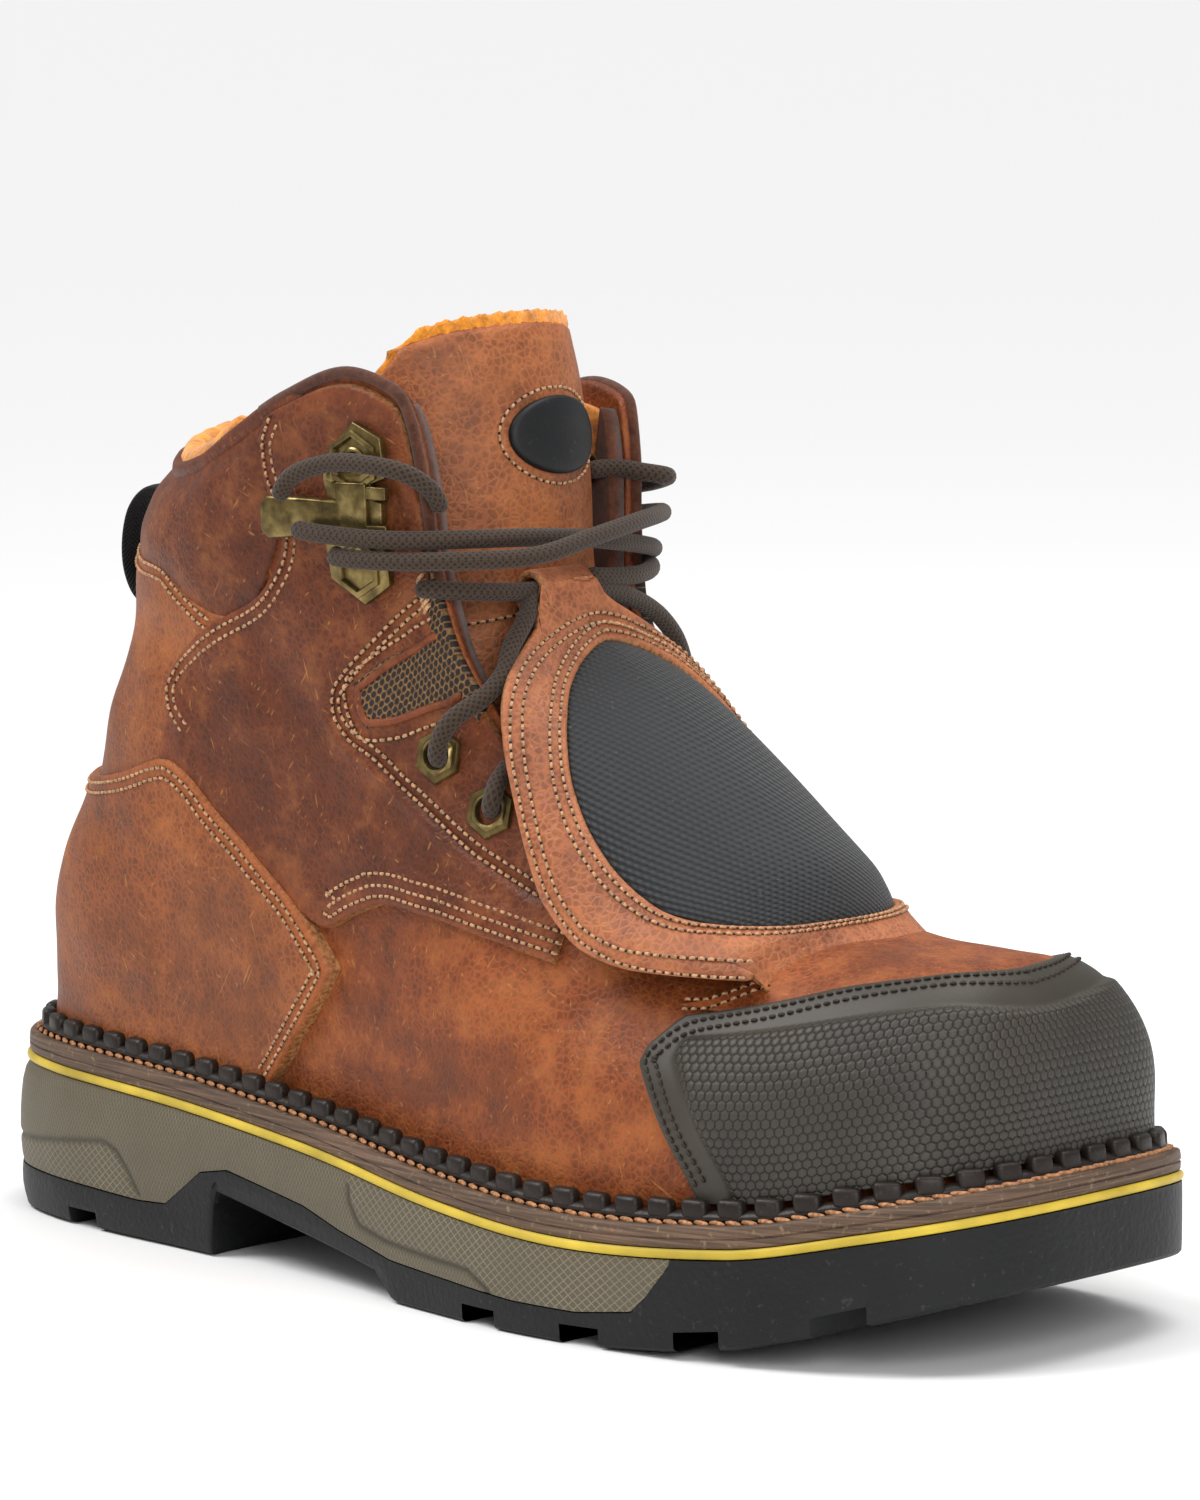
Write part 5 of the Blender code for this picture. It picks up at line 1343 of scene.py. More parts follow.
HEEL_PANEL = [(-6.0, 17.0), (20.0, 18.4), (51.0, 22.0), (56.0, 20.4), (60.0, 16.5), (64.0, 11.0)]
MIDDLE_PANEL = [(142.5, 24.0), (143.0, 20.5), (147.0, 15.6), (157.0, 13.7), (171.0, 12.8), (188.0, 12.0),
                (195.0, 8.4)]


def make_sole():
    """Outsole with its lugs, midsole, bright line and welt."""
    def between(low, high, share):
        return lambda x: low(x) * (1 - share) + high(x) * share

    def low_edge(x):
        return np.minimum(tread(x) + 0.097 * SOLE_HEIGHT, rand(x) - 0.6)

    levels = [(1.6, tread), (0.5, above(tread, 0.25)), (flare(0.5), above(tread, 0.9)),
              (flare(0.8), low_edge), (flare(0.98), between(tread, rand, 0.55)),
              (flare(1.0), between(tread, rand, 0.8)), (flare(0.95), between(tread, rand, 0.95)),
              (flare(0.9), rand)]
    verts, faces, _, _ = sole_body(levels, count=340)
    tread_body = build("boot_outsole", verts, faces, "outsole", "black_rubber", stands_for=("outsole",))
    cuts = build("lug_cuts", *lug_boxes(), "outsole")
    cut_out(tread_body, cuts)
    soften(tread_body, 0.45, 32)

    def mid_bottom(x):
        return np.minimum(rand(x) + GAP, line_height(x) - 1.0)

    def mid_top(x):
        return line_height(x) - 0.25

    shares = np.r_[0.0, 0.025, np.linspace(0.06, 0.97, 34), 1.0]
    puff = np.interp(shares, [0.0, 0.08, 0.2, 0.34, 0.5, 0.66, 0.8, 0.92, 1.0],
                     [0.82, 1.0, 1.1, 1.14, 1.1, 0.98, 0.79, 0.45, -0.1])
    levels = [(flare(f), between(mid_bottom, mid_top, q)) for q, f in zip(shares, puff)]
    start_x = MIDSOLE_END * LENGTH
    verts, faces, uv, rings = sole_body(levels, start_x, 340)
    xz = rings[..., [0, 2]]
    line = np.minimum(line_distance(xz, np.array(HEEL_PANEL)), line_distance(xz, np.array(MIDDLE_PANEL)))
    # the groove is pressed into the foam here and is also painted darker, as shade, by the foam's shader
    groove = np.exp(-(line / 0.75) ** 2)
    heel = inside(xz[..., 0], xz[..., 1], HEEL_PANEL + [(66.0, 0.0), (-6.0, 0.0)])
    middle = inside(xz[..., 0], xz[..., 1], MIDDLE_PANEL + [(255.0, 5.0), (255.0, 40.0), (142.5, 40.0)])
    centre = np.array([0.5 * LENGTH, 0.0])
    inward = centre - rings[..., :2]
    inward[..., 0] *= 0.25
    inward /= np.linalg.norm(inward, axis=-1, keepdims=True)
    rings[..., :2] += inward * (groove * 0.55)[..., None]
    build("boot_midsole", rings.reshape(-1, 3), faces, "midsole", "grey_foam", uv,
          {"groove": groove, "panel": (heel | middle).astype(float)}, ("midsole",), 38)

    def layer(base, rows):
        return sole_body([(inset, above(base, rise)) for inset, rise in rows])

    verts, faces, uv, _ = layer(line_height, [(0.4, 0.0), (-0.2, 0.12), (-0.55, 0.6), (-0.62, 1.1),
                                              (-0.5, 1.65), (-0.1, 2.05), (0.5, 2.1)])
    build("bright_line", verts, faces, "line", "yellow_rubber", uv, stands_for=("sole_line",))
    verts, faces, uv, _ = layer(above(line_height, LINE_THICK), [
        (0.9, 0.1), (0.35, 0.2), (0.1, 0.5), (0.02, 1.4), (0.0, 2.0), (0.32, 2.2), (0.32, 2.35), (0.0, 2.55),
        (0.05, 3.6), (0.2, 4.5), (0.55, 4.95), (1.1, 5.12), (1.7, 5.15), (2.0, 4.8), (3.3, 4.8), (3.6, 5.1),
        (8.0, 5.1)])
    build("stacked_welt", verts, faces, "welt", "brown_welt", uv, stands_for=("welt",), sharp=50)


def lug_boxes():
    """The gaps between the lugs, as in the part's source."""
    corners = []
    below = -0.17 * SOLE_HEIGHT
    ball = 0.5942 * LENGTH
    for side in (-1, 1):
        for x0 in [0.1163 * LENGTH] + [ball + LUG_PITCH * k for k in range(4)]:
            x1 = x0 + LUG_GAP
            y = np.interp(0.5 * (x0 + x1), PLAN[side][::-1, 0], np.abs(PLAN[side][::-1, 1]))
            low, high = sorted((side * (y - 0.36 * HALF_BALL), side * (y + 0.15 * HALF_BALL)))
            top = float(tread(x0)) + 0.122 * SOLE_HEIGHT
            corners.append((x0, x1, low, high, below, top, float(tread(x1)) - float(tread(x0))))
    half = 0.29 * HALF_BALL
    for x0 in [0.1917 * LENGTH, ball - 0.58 * LUG_PITCH] + [ball + LUG_PITCH * (0.5 + k) for k in range(3)]:
        x1 = x0 + 0.6 * LUG_GAP
        top = float(tread(x0)) + 0.095 * SOLE_HEIGHT
        corners.append((x0, x1, -half, half, below, top, float(tread(x1)) - float(tread(x0))))
    corners.append((-0.026 * LENGTH, 0.048 * LENGTH, -0.1 * HALF_BALL, 0.1 * HALF_BALL, below,
                    0.1 * SOLE_HEIGHT, 0.0))
    verts, faces = [], []
    for x0, x1, y0, y1, z0, z1, rise in corners:
        b = len(verts)
        verts += [(x0, y0, z0), (x1, y0, z0), (x1, y1, z0), (x0, y1, z0)]
        verts += [(x0, y0, z1), (x1, y0, z1 + rise), (x1, y1, z1 + rise), (x0, y1, z1)]
        faces += [(b, b + 3, b + 2, b + 1), (b + 4, b + 5, b + 6, b + 7)]
        faces += [(b + i, b + (i + 1) % 4, b + 4 + (i + 1) % 4, b + 4 + i) for i in range(4)]
    return verts, faces


def apply_modifiers(obj):
    """The modified mesh as the object's own."""
    bpy.context.view_layer.update()
    mesh = bpy.data.meshes.new_from_object(obj.evaluated_get(bpy.context.evaluated_depsgraph_get()))
    obj.modifiers.clear()
    obj.data = mesh


def cut_out(obj, other):
    """Cuts another solid out of this one and removes it."""
    modifier = obj.modifiers.new("cut", "BOOLEAN")
    modifier.operation, modifier.solver, modifier.object = "DIFFERENCE", "EXACT", other
    apply_modifiers(obj)
    drop(other)


def soften(obj, width, angle):
    """Rounds the hard edges of a piece by a small width in millimetres."""
    modifier = obj.modifiers.new("soft edges", "BEVEL")
    modifier.width = width * 0.001
    modifier.segments = 2
    modifier.limit_method, modifier.angle_limit = "ANGLE", math.radians(angle)
    modifier.harden_normals = False
    apply_modifiers(obj)
    smooth_faces(obj.data)
    obj.data.set_sharp_from_angle(angle=math.radians(42))


def foot_line(inset, rise, count=900):
    """The line round the boot at an inset from the sole's edge, with outward-leaning directions."""
    rows = []
    for side, order in ((-1, 1), (1, -1)):
        s = np.linspace(0, 1, count // 2)[::order]
        p, n = plan_edge(side, s, inset * np.ones(len(s)))
        if side > 0:
            p, n = p[1:-1], n[1:-1]
        rows.append(np.c_[p, welt_top(p[:, 0]) + rise, n])
    rows = np.vstack(rows)
    return rows[:, :3], rows[:, 3:]


def make_storm_rib():
    """Rubber blocks along the foot of the upper, the web between them, and the twisted stitch of the welt."""
    points, n = foot_line(WELT_REACH - 4.6, 0.35)
    upright = np.c_[np.zeros((len(n), 2)), np.ones(len(n))]
    m = len(points)
    rings = []
    for out, rise in ((-1.6, -0.2), (-1.6, 1.7), (-0.4, 1.9), (1.0, 1.5), (1.7, 0.9), (2.1, -0.2)):
        rings.append(points + np.c_[n * out, np.full(m, rise)])
    verts, faces = np.vstack(rings), ring_faces(6, m, meet=True)
    build("rib_web", verts, outward_faces(verts, faces), "rib", "dark_rubber", stands_for=("storm_rib",))
    block = bmesh.new()
    bmesh.ops.create_cube(block, size=1.0)
    for v in block.verts:
        v.co.x = v.co.x * 6.3 + (0.5 if v.co.z > 0 else 0.0)
        v.co.y = v.co.y * (3.3 if v.co.z > 0 else 3.9)
        v.co.z = v.co.z * 4.6 + 2.1
    bmesh.ops.bevel(block, geom=list(block.edges), offset=1.2, segments=3, profile=0.5, affect="EDGES")
    bmesh.ops.recalc_face_normals(block, faces=block.faces)
    shape = mesh_object("rib_block", [v.co[:] for v in block.verts], [],
                        [[v.index for v in f.verts] for f in block.faces])
    block.free()
    repeat_along("rib_blocks", [(points, upright)], shape, RIB_PITCH, "rib", "dark_rubber", loop=True)
    drop(shape)
    points, n = foot_line(2.65, -0.35)
    upright = np.c_[np.zeros((len(n), 2)), np.ones(len(n))]
    verts, sides, steps = [], 7, 9
    for i in range(steps):
        a = i / (steps - 1)
        r = 0.62 * math.sqrt(max(1 - (2 * a - 1) ** 4, 0.04))
        for k in range(sides):
            b = 2 * math.pi * k / sides
            verts.append(((a - 0.5) * 4.6, 0.6 * math.cos(math.pi * a) + r * math.cos(b),
                          0.2 + r * math.sin(b)))
    shape = mesh_object("welt_stitch", verts, [], ring_faces(steps, sides, caps=True))
    repeat_along("welt_stitches", [(points, upright)], shape, 3.9, "welt_thread", "brown_welt", loop=True)
    drop(shape)


# Upper

def make_upper():
    """The creased leather skin with its wall, the linings and the soft roll of the collar."""
    s = np.unique(np.r_[np.linspace(0, RIDGE_END, 52), np.linspace(RIDGE_END, 0.70, 74),
                        np.linspace(0.70, 1.0, 50)])
    t = np.r_[np.linspace(0, 0.9, 50), np.linspace(0.9, 1.0, 12)[1:]]
    s, t = np.meshgrid(s, t, indexing="ij")
    p, n = [np.concatenate([a[::-1], b[1:]]) for a, b in zip(skin(-1, s, t), skin(1, s, t))]
    height = np.clip(8.3 * (p[..., 2] / COLLAR_HEIGHT - 0.728), 0, 1)
    back = np.clip(10.4 * (0.383 - p[..., 0] / LENGTH), 0, 1)
    wall = WALL * (1 + 0.34 * height * back)
    inner = p - n * wall[..., None]
    verts, faces = closed_sheet(p, inner, n)
    verts, faces = weld(verts, faces, 2e-3)
    build("leather_upper", verts, outward_faces(verts, faces), "leather", "brown_leather",
          stands_for=("upper",))
    # fleece inside, from the ball of the foot to the heel
    u, v = np.linspace(0, 1, 90), np.linspace(0, 1, 50)
    lining = outlined([(0.42, 0.04), (1.0, 0.04)], [(1.0, 0.04), (1.0, 0.985)],
                      [(0.42, 0.90), (0.55, 0.93), (0.62, 0.965), (1.0, 0.985)], [(0.42, 0.04), (0.42, 0.90)],
                      u, v)
    laid_piece("fleece_lining", lining, (-1, 1), -2.5, "fleece", "brown_leather", ("top",), thick=2.4,
               seam_first=False, extra=lambda d, s, t: 0.35 * np.sin(s * 260 + 3 * np.sin(t * 90))
               * np.sin(t * 140))
    flap = outlined([(0.50, 0.66), (0.62, 0.64)], [(0.62, 0.64), (0.66, 0.985)],
                    [(0.51, 0.985), (0.66, 0.985)], [(0.50, 0.66), (0.51, 0.985)], np.linspace(0, 1, 50),
                    np.linspace(0, 1, 50))
    for side, label in SIDES:
        laid_piece("flap_lining_" + label, flap, (side,), -2.4, "suede", "brown_leather", (), thick=4.3)
    # roll along the top of the collar and binding down the front of each flap
    for side, label in SIDES:
        s = np.linspace(0.735, 1.0, 60)
        p, n = skin(side, s, np.full(60, 0.999))
        roll = swept(p - n * 0.6 - [0, 0, 1.2], 2.5, 14, 2.0)
        build("collar_roll_" + label, *roll[:2], "quarter", "brown_leather")
        s = np.linspace(0.80, 1.0, 60)
        p, n = skin(side, s, np.full(60, 0.999))
        curls = 0.5 * np.sin(s * 300) + 0.4 * np.sin(s * 730)
        pile = swept(p - n * (3.6 + 0.3 * curls)[:, None] + np.c_[0 * s, 0 * s, 1.6 + 0.5 * curls], 3.2, 18,
                     1.2)
        build("collar_fleece_" + label, *pile[:2], "fleece", "brown_leather")
        s = np.linspace(0.566, 0.775, 96)
        p, n = skin(side, s, np.full(96, 0.999))
        edge = swept(p + n * 0.7, 1.35, 12, 1.6)
        build("flap_binding_" + label, *edge[:2], "suede", "brown_leather")


COUNTER = ([(0.664, 0.0), (1.0, 0.0)], [(1.0, 0.0), (1.0, 0.445)], COUNTER_TOP, COUNTER_FRONT)
CAP = ([(0.0, 0.014), (0.262, 0.014)], CAP_BACK, CAP_TOP, [(0.0, 0.014), (0.0, 0.80)])
BACK_PANEL = ([(0.775, 0.44), (1.0, 0.42)], [(1.0, 0.42), (1.0, 0.862)],
              [(0.770, 0.69), (0.790, 0.712), (0.826, 0.778), (0.862, 0.844), (0.93, 0.856), (1.0, 0.862)],
              [(0.775, 0.44), (0.770, 0.69)])
COLLAR_PAD = ([(0.745, 0.66), (0.80, 0.69), (0.862, 0.80), (1.0, 0.82)], [(1.0, 0.82), (1.0, 1.0)],
              [(0.735, 1.0), (1.0, 1.0)], [(0.745, 0.66), (0.735, 0.80), (0.735, 1.0)])
VENT_SEAM = [(0.586, 0.925), (0.652, 0.624), (0.662, 0.584), (0.654, 0.552), (0.632, 0.558), (0.588, 0.618),
             (0.530, 0.655), (0.484, 0.652), (0.425, 0.620)]
VENT_EDGE = [(0.553, 0.965), (0.568, 0.908), (0.632, 0.650), (0.639, 0.628), (0.628, 0.612), (0.614, 0.618),
             (0.527, 0.885), (0.517, 0.950)]


def make_panels():
    """The leather pieces laid on the upper: quarters, counter, back panel and collar pad."""
    pad = outlined(*COLLAR_PAD, np.linspace(0, 1, 70), np.linspace(0, 1, 48))

    def puff(distance, s, t):
        return 2.4 * smoothstep(distance, 0.0, 12.0) * smoothstep(s, 0.738, 0.775)

    cushion = laid_piece("collar_pad", pad, (-1, 1), 0.7, "quarter", "brown_leather", ("top", "bottom"),
                         extra=puff, seam_first=False)
    panel = outlined(*BACK_PANEL, np.linspace(0, 1, 60), spaced(52, 75.0))
    laid_piece("back_panel", panel, (-1, 1), PANEL_LIFT, "counter", "brown_leather", ("top",),
               seam_first=False)
    counter = outlined(*COUNTER, spaced(90, 130.0), spaced(62, 75.0))
    laid_piece("boot_counter", counter, (-1, 1), COUNTER_LIFT, "counter", "brown_leather",
               ("start", "end", "top"), stands_for=("counter",), seam_first=False)
    # the quarter runs on under the counter
    foot = QUARTER_FOOT[:5] + [(0.628, 0.272), (0.662, 0.272), (0.702, 0.306), (0.756, 0.388), (0.786, 0.452),
                               (0.812, 0.49)]
    quarter = outlined(foot, [(0.812, 0.49)] + QUARTER_BACK[1:], QUARTER_TOP,
                       [(0.405, 0.474), (0.405, 0.955)], spaced(116, 125.0), spaced(98, 95.0))
    for side, label in SIDES:
        seam = skin_row(side, VENT_SEAM, 0.0, 0.0, (0.5, 0.5))[0]
        ring = skin_row(side, VENT_SEAM, 2.4, 0.0, (0.70, 0.40))[0]

        def print_through(distance, s, t, side=side, seam=seam, ring=ring):
            p = surface(side, s, t)
            return (0.55 * np.exp(-(line_distance(p, ring) / 1.5) ** 2)
                    - 0.35 * np.exp(-(line_distance(p, seam) / 1.3) ** 2)
                    + 0.35 * np.exp(-((distance - 6.5) / 2.5) ** 2))

        laid_piece("boot_quarter_" + label, quarter, (side,), QUARTER_LIFT, "quarter", "brown_leather",
                   ("start", "end", "bottom", "top"), ("quarter_" + label,), print_through)
        window = outlined([(0.616, 0.615), (0.527, 0.885)], [(0.527, 0.885), (0.514, 0.985)],
                          [(0.640, 0.630), (0.568, 0.908), (0.545, 0.985), (0.514, 0.985)],
                          [(0.616, 0.615), (0.640, 0.630)], np.linspace(0, 1, 40), np.linspace(0, 1, 24))
        laid_piece("vent_mesh_" + label, window, (side,), 2.75, "mesh", "vent_mesh", (),
                   ("vent_" + label,), thick=0.6)
        facing = outlined([(0.500, 0.928), (0.572, 0.928)], [(0.572, 0.928), (0.580, 0.998)],
                          [(0.500, 0.998), (0.580, 0.998)], [(0.500, 0.928), (0.500, 0.998)],
                          np.linspace(0, 1, 40), np.linspace(0, 1, 12))
        laid_piece("vent_facing_" + label, facing, (side,), 2.9, "mesh", "vent_mesh", ("end", "bottom"),
                   thick=3.4)
        line = skin_row(side, VENT_EDGE, 0.6, 2.5, (0.70, 0.40))[0]
        bead = swept(line, 0.95, 10)
        build("vent_binding_" + label, *bead[:2], "quarter", "brown_leather",
              marks={"wear": np.full(len(bead[0]), 0.8)})


def make_foot_patch():
    """The leather that runs on from the guard's foot, over the forefoot and under the toe cap."""
    patch = outlined([(0.0, 0.76), (0.10, 0.72), (0.164, 0.64), (0.238, 0.505), (0.306, 0.482)],
                     [(0.306, 0.482), (0.292, 0.510), (0.268, 0.62), (0.300, 0.72), (0.340, 0.82),
                      (0.350, 1.0)], [(0.0, 1.0), (0.350, 1.0)], [(0.0, 0.76), (0.0, 1.0)], spaced(64, 90.0),
                     spaced(40, 50.0))
    laid_piece("foot_patch", patch, (-1, 1), GUARD_LIFT, "leather", "brown_leather", ("start", "end"))


def make_toe_cap():
    """The rubber bumper with its raised panel of hexagons."""
    grid = outlined(*CAP, spaced(90, 110.0), spaced(58, 55.0), 1)
    p = surface(-1, grid[..., 0], grid[..., 1])
    distance = edge_distance(p, ("end", "top"))
    panel = smoothstep(distance, 9.0, 11.5)
    panel = panel * smoothstep(p[..., 2] - welt_top(p[..., 0]), 1.0, 4.0)
    panel = np.concatenate([panel[::-1], panel[1:]])
    cap = laid_piece("toe_bumper", grid, (-1, 1), CAP_LIFT, "cap", "cap_rubber", ("start", "end", "top"),
                     ("toe_cap",), lambda distance, s, t: 1.3 * panel)
    attribute = cap.data.attributes.new("panel", "FLOAT", "POINT")
    attribute.data.foreach_set("value", twice(panel).astype(np.float32))


# Tongue and guard

def tongue_skin(v, w, lift=0.0):
    """Points and outward directions of the tongue, its top corners rounded."""
    w = w * (1 - 0.16 * smoothstep(v, 0.90, 1.0) ** 2)
    p = tongue_point(np.clip(v, 0, 1), w)
    e = 0.008
    a = tongue_point(np.clip(v + e, 0, 1), w) - tongue_point(np.clip(v - e, 0, 1), w)
    b = tongue_point(np.clip(v, 0, 1), w + e) - tongue_point(np.clip(v, 0, 1), w - e)
    n = np.cross(a, b)
    n /= np.linalg.norm(n, axis=-1, keepdims=True)
    n = np.where(n[..., :1] < 0, -n, n)
    soft = 0.5 * np.sin(p[..., 2] / 7.0 + 0.9 * np.sin(p[..., 1] / 9.0)) * smoothstep(v, 0.2, 0.35)
    soft = soft * (1 - smoothstep(v, 0.62, 0.75))
    return p + n * (np.asarray(lift, float) + soft)[..., None], n


# The badge's middle and half size on the tongue, up and across
BADGE_AT = (0.815, 0.15)
BADGE_SIZE = (0.053, 0.46)


def make_tongue():
    """The padded leather tongue, its fleece back and its blank oval badge."""
    v, w = np.meshgrid(np.linspace(0.02, 1, 110), np.r_[-1, -0.985, np.linspace(-0.96, 0.96, 56), 0.985, 1],
                       indexing="ij")
    p, n = tongue_skin(v, w)
    d = edge_distance(p, ("start", "end", "bottom", "top"))
    outer = p - n * (1.1 * (1 - round_over(d, 1.6)))[..., None]
    verts, faces = closed_sheet(outer, p - n * 2.2, n)
    near = np.clip(1 - d / 3.5, 0, 1)
    build("tongue_leather", verts, outward_faces(verts, faces), "tongue", "tongue_leather",
          marks={"wear": twice(near)}, stands_for=("tongue",))
    v, w = np.meshgrid(np.linspace(0.45, 1, 96), np.linspace(-1.05, 1.05, 110), indexing="ij")
    p, n = tongue_skin(v, w)
    curls = 0.5 * np.sin(w * 41 + 2 * np.sin(v * 60)) + 0.35 * np.sin(w * 97 + 3 * np.sin(v * 110))
    rise = smoothstep(v, 0.965, 1.0) * (2.3 + 0.6 * curls) * (1 - smoothstep(np.abs(w), 0.86, 1.0))
    p = p + np.stack([np.zeros_like(rise), np.zeros_like(rise), rise], -1)
    fuzz = 0.35 * curls + 0.3 * np.sin(v * 320 + 2 * np.sin(w * 60)) * np.sin(w * 130)
    verts, faces = closed_sheet(p - n * (1.5 - 0.8 * smoothstep(v, 0.97, 1.0) + fuzz)[..., None],
                                p - n * 5.2, n)
    build("tongue_fleece", verts, outward_faces(verts, faces), "fleece", "tongue_leather")
    rings, m = [], 64
    angle = np.arange(m) * 2 * math.pi / m
    for share, lift in ((0.0, 1.9), (0.35, 1.9), (0.7, 1.85), (0.9, 1.7), (0.97, 1.4), (1.0, 0.9),
                        (1.0, -0.4)):
        at = BADGE_AT[0] + BADGE_SIZE[0] * share * np.sin(angle)
        cross = BADGE_AT[1] + BADGE_SIZE[1] * share * np.cos(angle)
        rings.append(tongue_skin(at, cross, lift)[0])
    verts = np.vstack(rings)
    faces = ring_faces(len(rings), m) + [[6 * m + j for j in range(m)]]
    verts, faces = weld(verts, faces, 1e-3)
    build("oval_badge", verts, outward_faces(verts, faces), "badge", "black_badge",
          stands_for=("tongue_badge",))


def guard_skin(v, w, lift=0.0):
    """Points and outward directions of the guard."""
    v, w = np.asarray(v, float), np.asarray(w, float)
    p = guard_point(np.clip(v, 0, 1), w)
    e = 0.012
    a = guard_point(np.clip(v + e, 0, 1), w) - guard_point(np.clip(v - e, 0, 1), w)
    b = guard_point(np.clip(v, 0, 1), np.clip(w + e, -1, 1)) - guard_point(np.clip(v, 0, 1),
                                                                           np.clip(w - e, -1, 1))
    n = np.cross(a, b)
    n /= np.maximum(np.linalg.norm(n, axis=-1, keepdims=True), 1e-9)
    middle = np.array([200.0, 0.0, 60.0])
    n = np.where(((p - middle) * n).sum(-1, keepdims=True) < 0, -n, n)
    return p + n * np.asarray(lift, float)[..., None], n


# The guard's edge and its pad as (down, across) places, measured down the outer and the inner side
GUARD_OUTER = [(0.055, 0.50), (0.075, 0.36), (0.10, 0.31), (0.13, 0.36), (0.175, 0.46), (0.235, 0.60),
               (0.325, 0.79), (0.40, 0.87), (0.465, 0.91), (0.545, 0.95), (0.65, 1.0), (1.0, 1.0)]
GUARD_INNER = [(0.055, 0.17), (0.08, 0.15), (0.11, 0.22), (0.14, 0.35), (0.175, 0.48), (0.235, 0.62),
               (0.325, 0.80), (0.40, 0.88), (0.50, 0.94), (0.65, 1.0), (1.0, 1.0)]
PAD_OUTER = [(0.198, 0.0), (0.206, 0.06), (0.235, 0.17), (0.295, 0.32), (0.38, 0.475), (0.46, 0.58),
             (0.545, 0.63), (0.64, 0.63), (0.745, 0.57), (0.82, 0.42), (0.87, 0.25), (0.885, 0.05)]
PAD_INNER = [(0.885, 0.05), (0.885, -0.2), (0.875, -0.45), (0.845, -0.66), (0.78, -0.72), (0.70, -0.72),
             (0.58, -0.69), (0.46, -0.62), (0.36, -0.53), (0.28, -0.42), (0.225, -0.24), (0.203, -0.10),
             (0.198, 0.0)]
OUTER_ROW = [(0.985, -0.955), (0.80, -0.955), (0.65, -0.95), (0.545, -0.90), (0.465, -0.86), (0.40, -0.815),
             (0.325, -0.72), (0.235, -0.52), (0.19, -0.38), (0.158, -0.22), (0.142, -0.06), (0.142, 0.06),
             (0.158, 0.22), (0.19, 0.38), (0.235, 0.54), (0.325, 0.74), (0.40, 0.83), (0.50, 0.89),
             (0.65, 0.95), (0.985, 0.955)]


def even_places(loop, count):
    """Places evenly spaced along a line of (down, across) places on the guard."""
    p = guard_point(loop[:, 0], loop[:, 1])
    d = np.r_[0, np.cumsum(np.linalg.norm(np.diff(p, axis=0), axis=1))]
    at = np.linspace(0, d[-1], count + 1)[:-1]
    return np.c_[np.interp(at, d, loop[:, 0]), np.interp(at, d, loop[:, 1])]


def pad_outline(count):
    """The pad's outline as a closed ring of places, from its top round the outer side."""
    ring = np.array(PAD_OUTER + PAD_INNER[1:]) * [1, -1]
    return even_places(along(rounded(ring, 3), np.linspace(0, 1, 900)), count)


def guard_edge(outline):
    """The guard's outer boundary, matched to the pad's outline by direction from the middle."""
    near, far = np.array(GUARD_OUTER) * [1, -1], np.array(GUARD_INNER)
    foot = np.array([(1.0, 0.95 * k) for k in np.linspace(-1, 1, 9)])
    ring = np.vstack([[0.055, 0.0], rounded(near, 1), foot, rounded(far, 1)[::-1], [0.055, 0.0]])
    dense = along(ring, np.linspace(0, 1, 3001))
    middle = np.array([0.56, 0.0])
    turn = np.unwrap(np.arctan2(middle[1] - dense[:, 1], (middle[0] - dense[:, 0]) * 1.6))
    want = np.unwrap(np.arctan2(middle[1] - outline[:, 1], (middle[0] - outline[:, 0]) * 1.6))
    turn = np.maximum.accumulate(turn)
    return np.c_[np.interp(want, turn, dense[:, 0]), np.interp(want, turn, dense[:, 1])]


def vamp_below(points):
    """The places of the skin straight below or above points of the forefoot."""
    s, t = np.meshgrid(np.linspace(0.05, 0.5, 160), np.linspace(0.3, 1.0, 160), indexing="ij")
    cloud = np.vstack([surface(side, s, t).reshape(-1, 3) for side in (-1, 1)])
    found = [cloud[np.argmin(((cloud[:, :2] - q[:2]) ** 2).sum(1))] for q in points]
    return np.array(found)


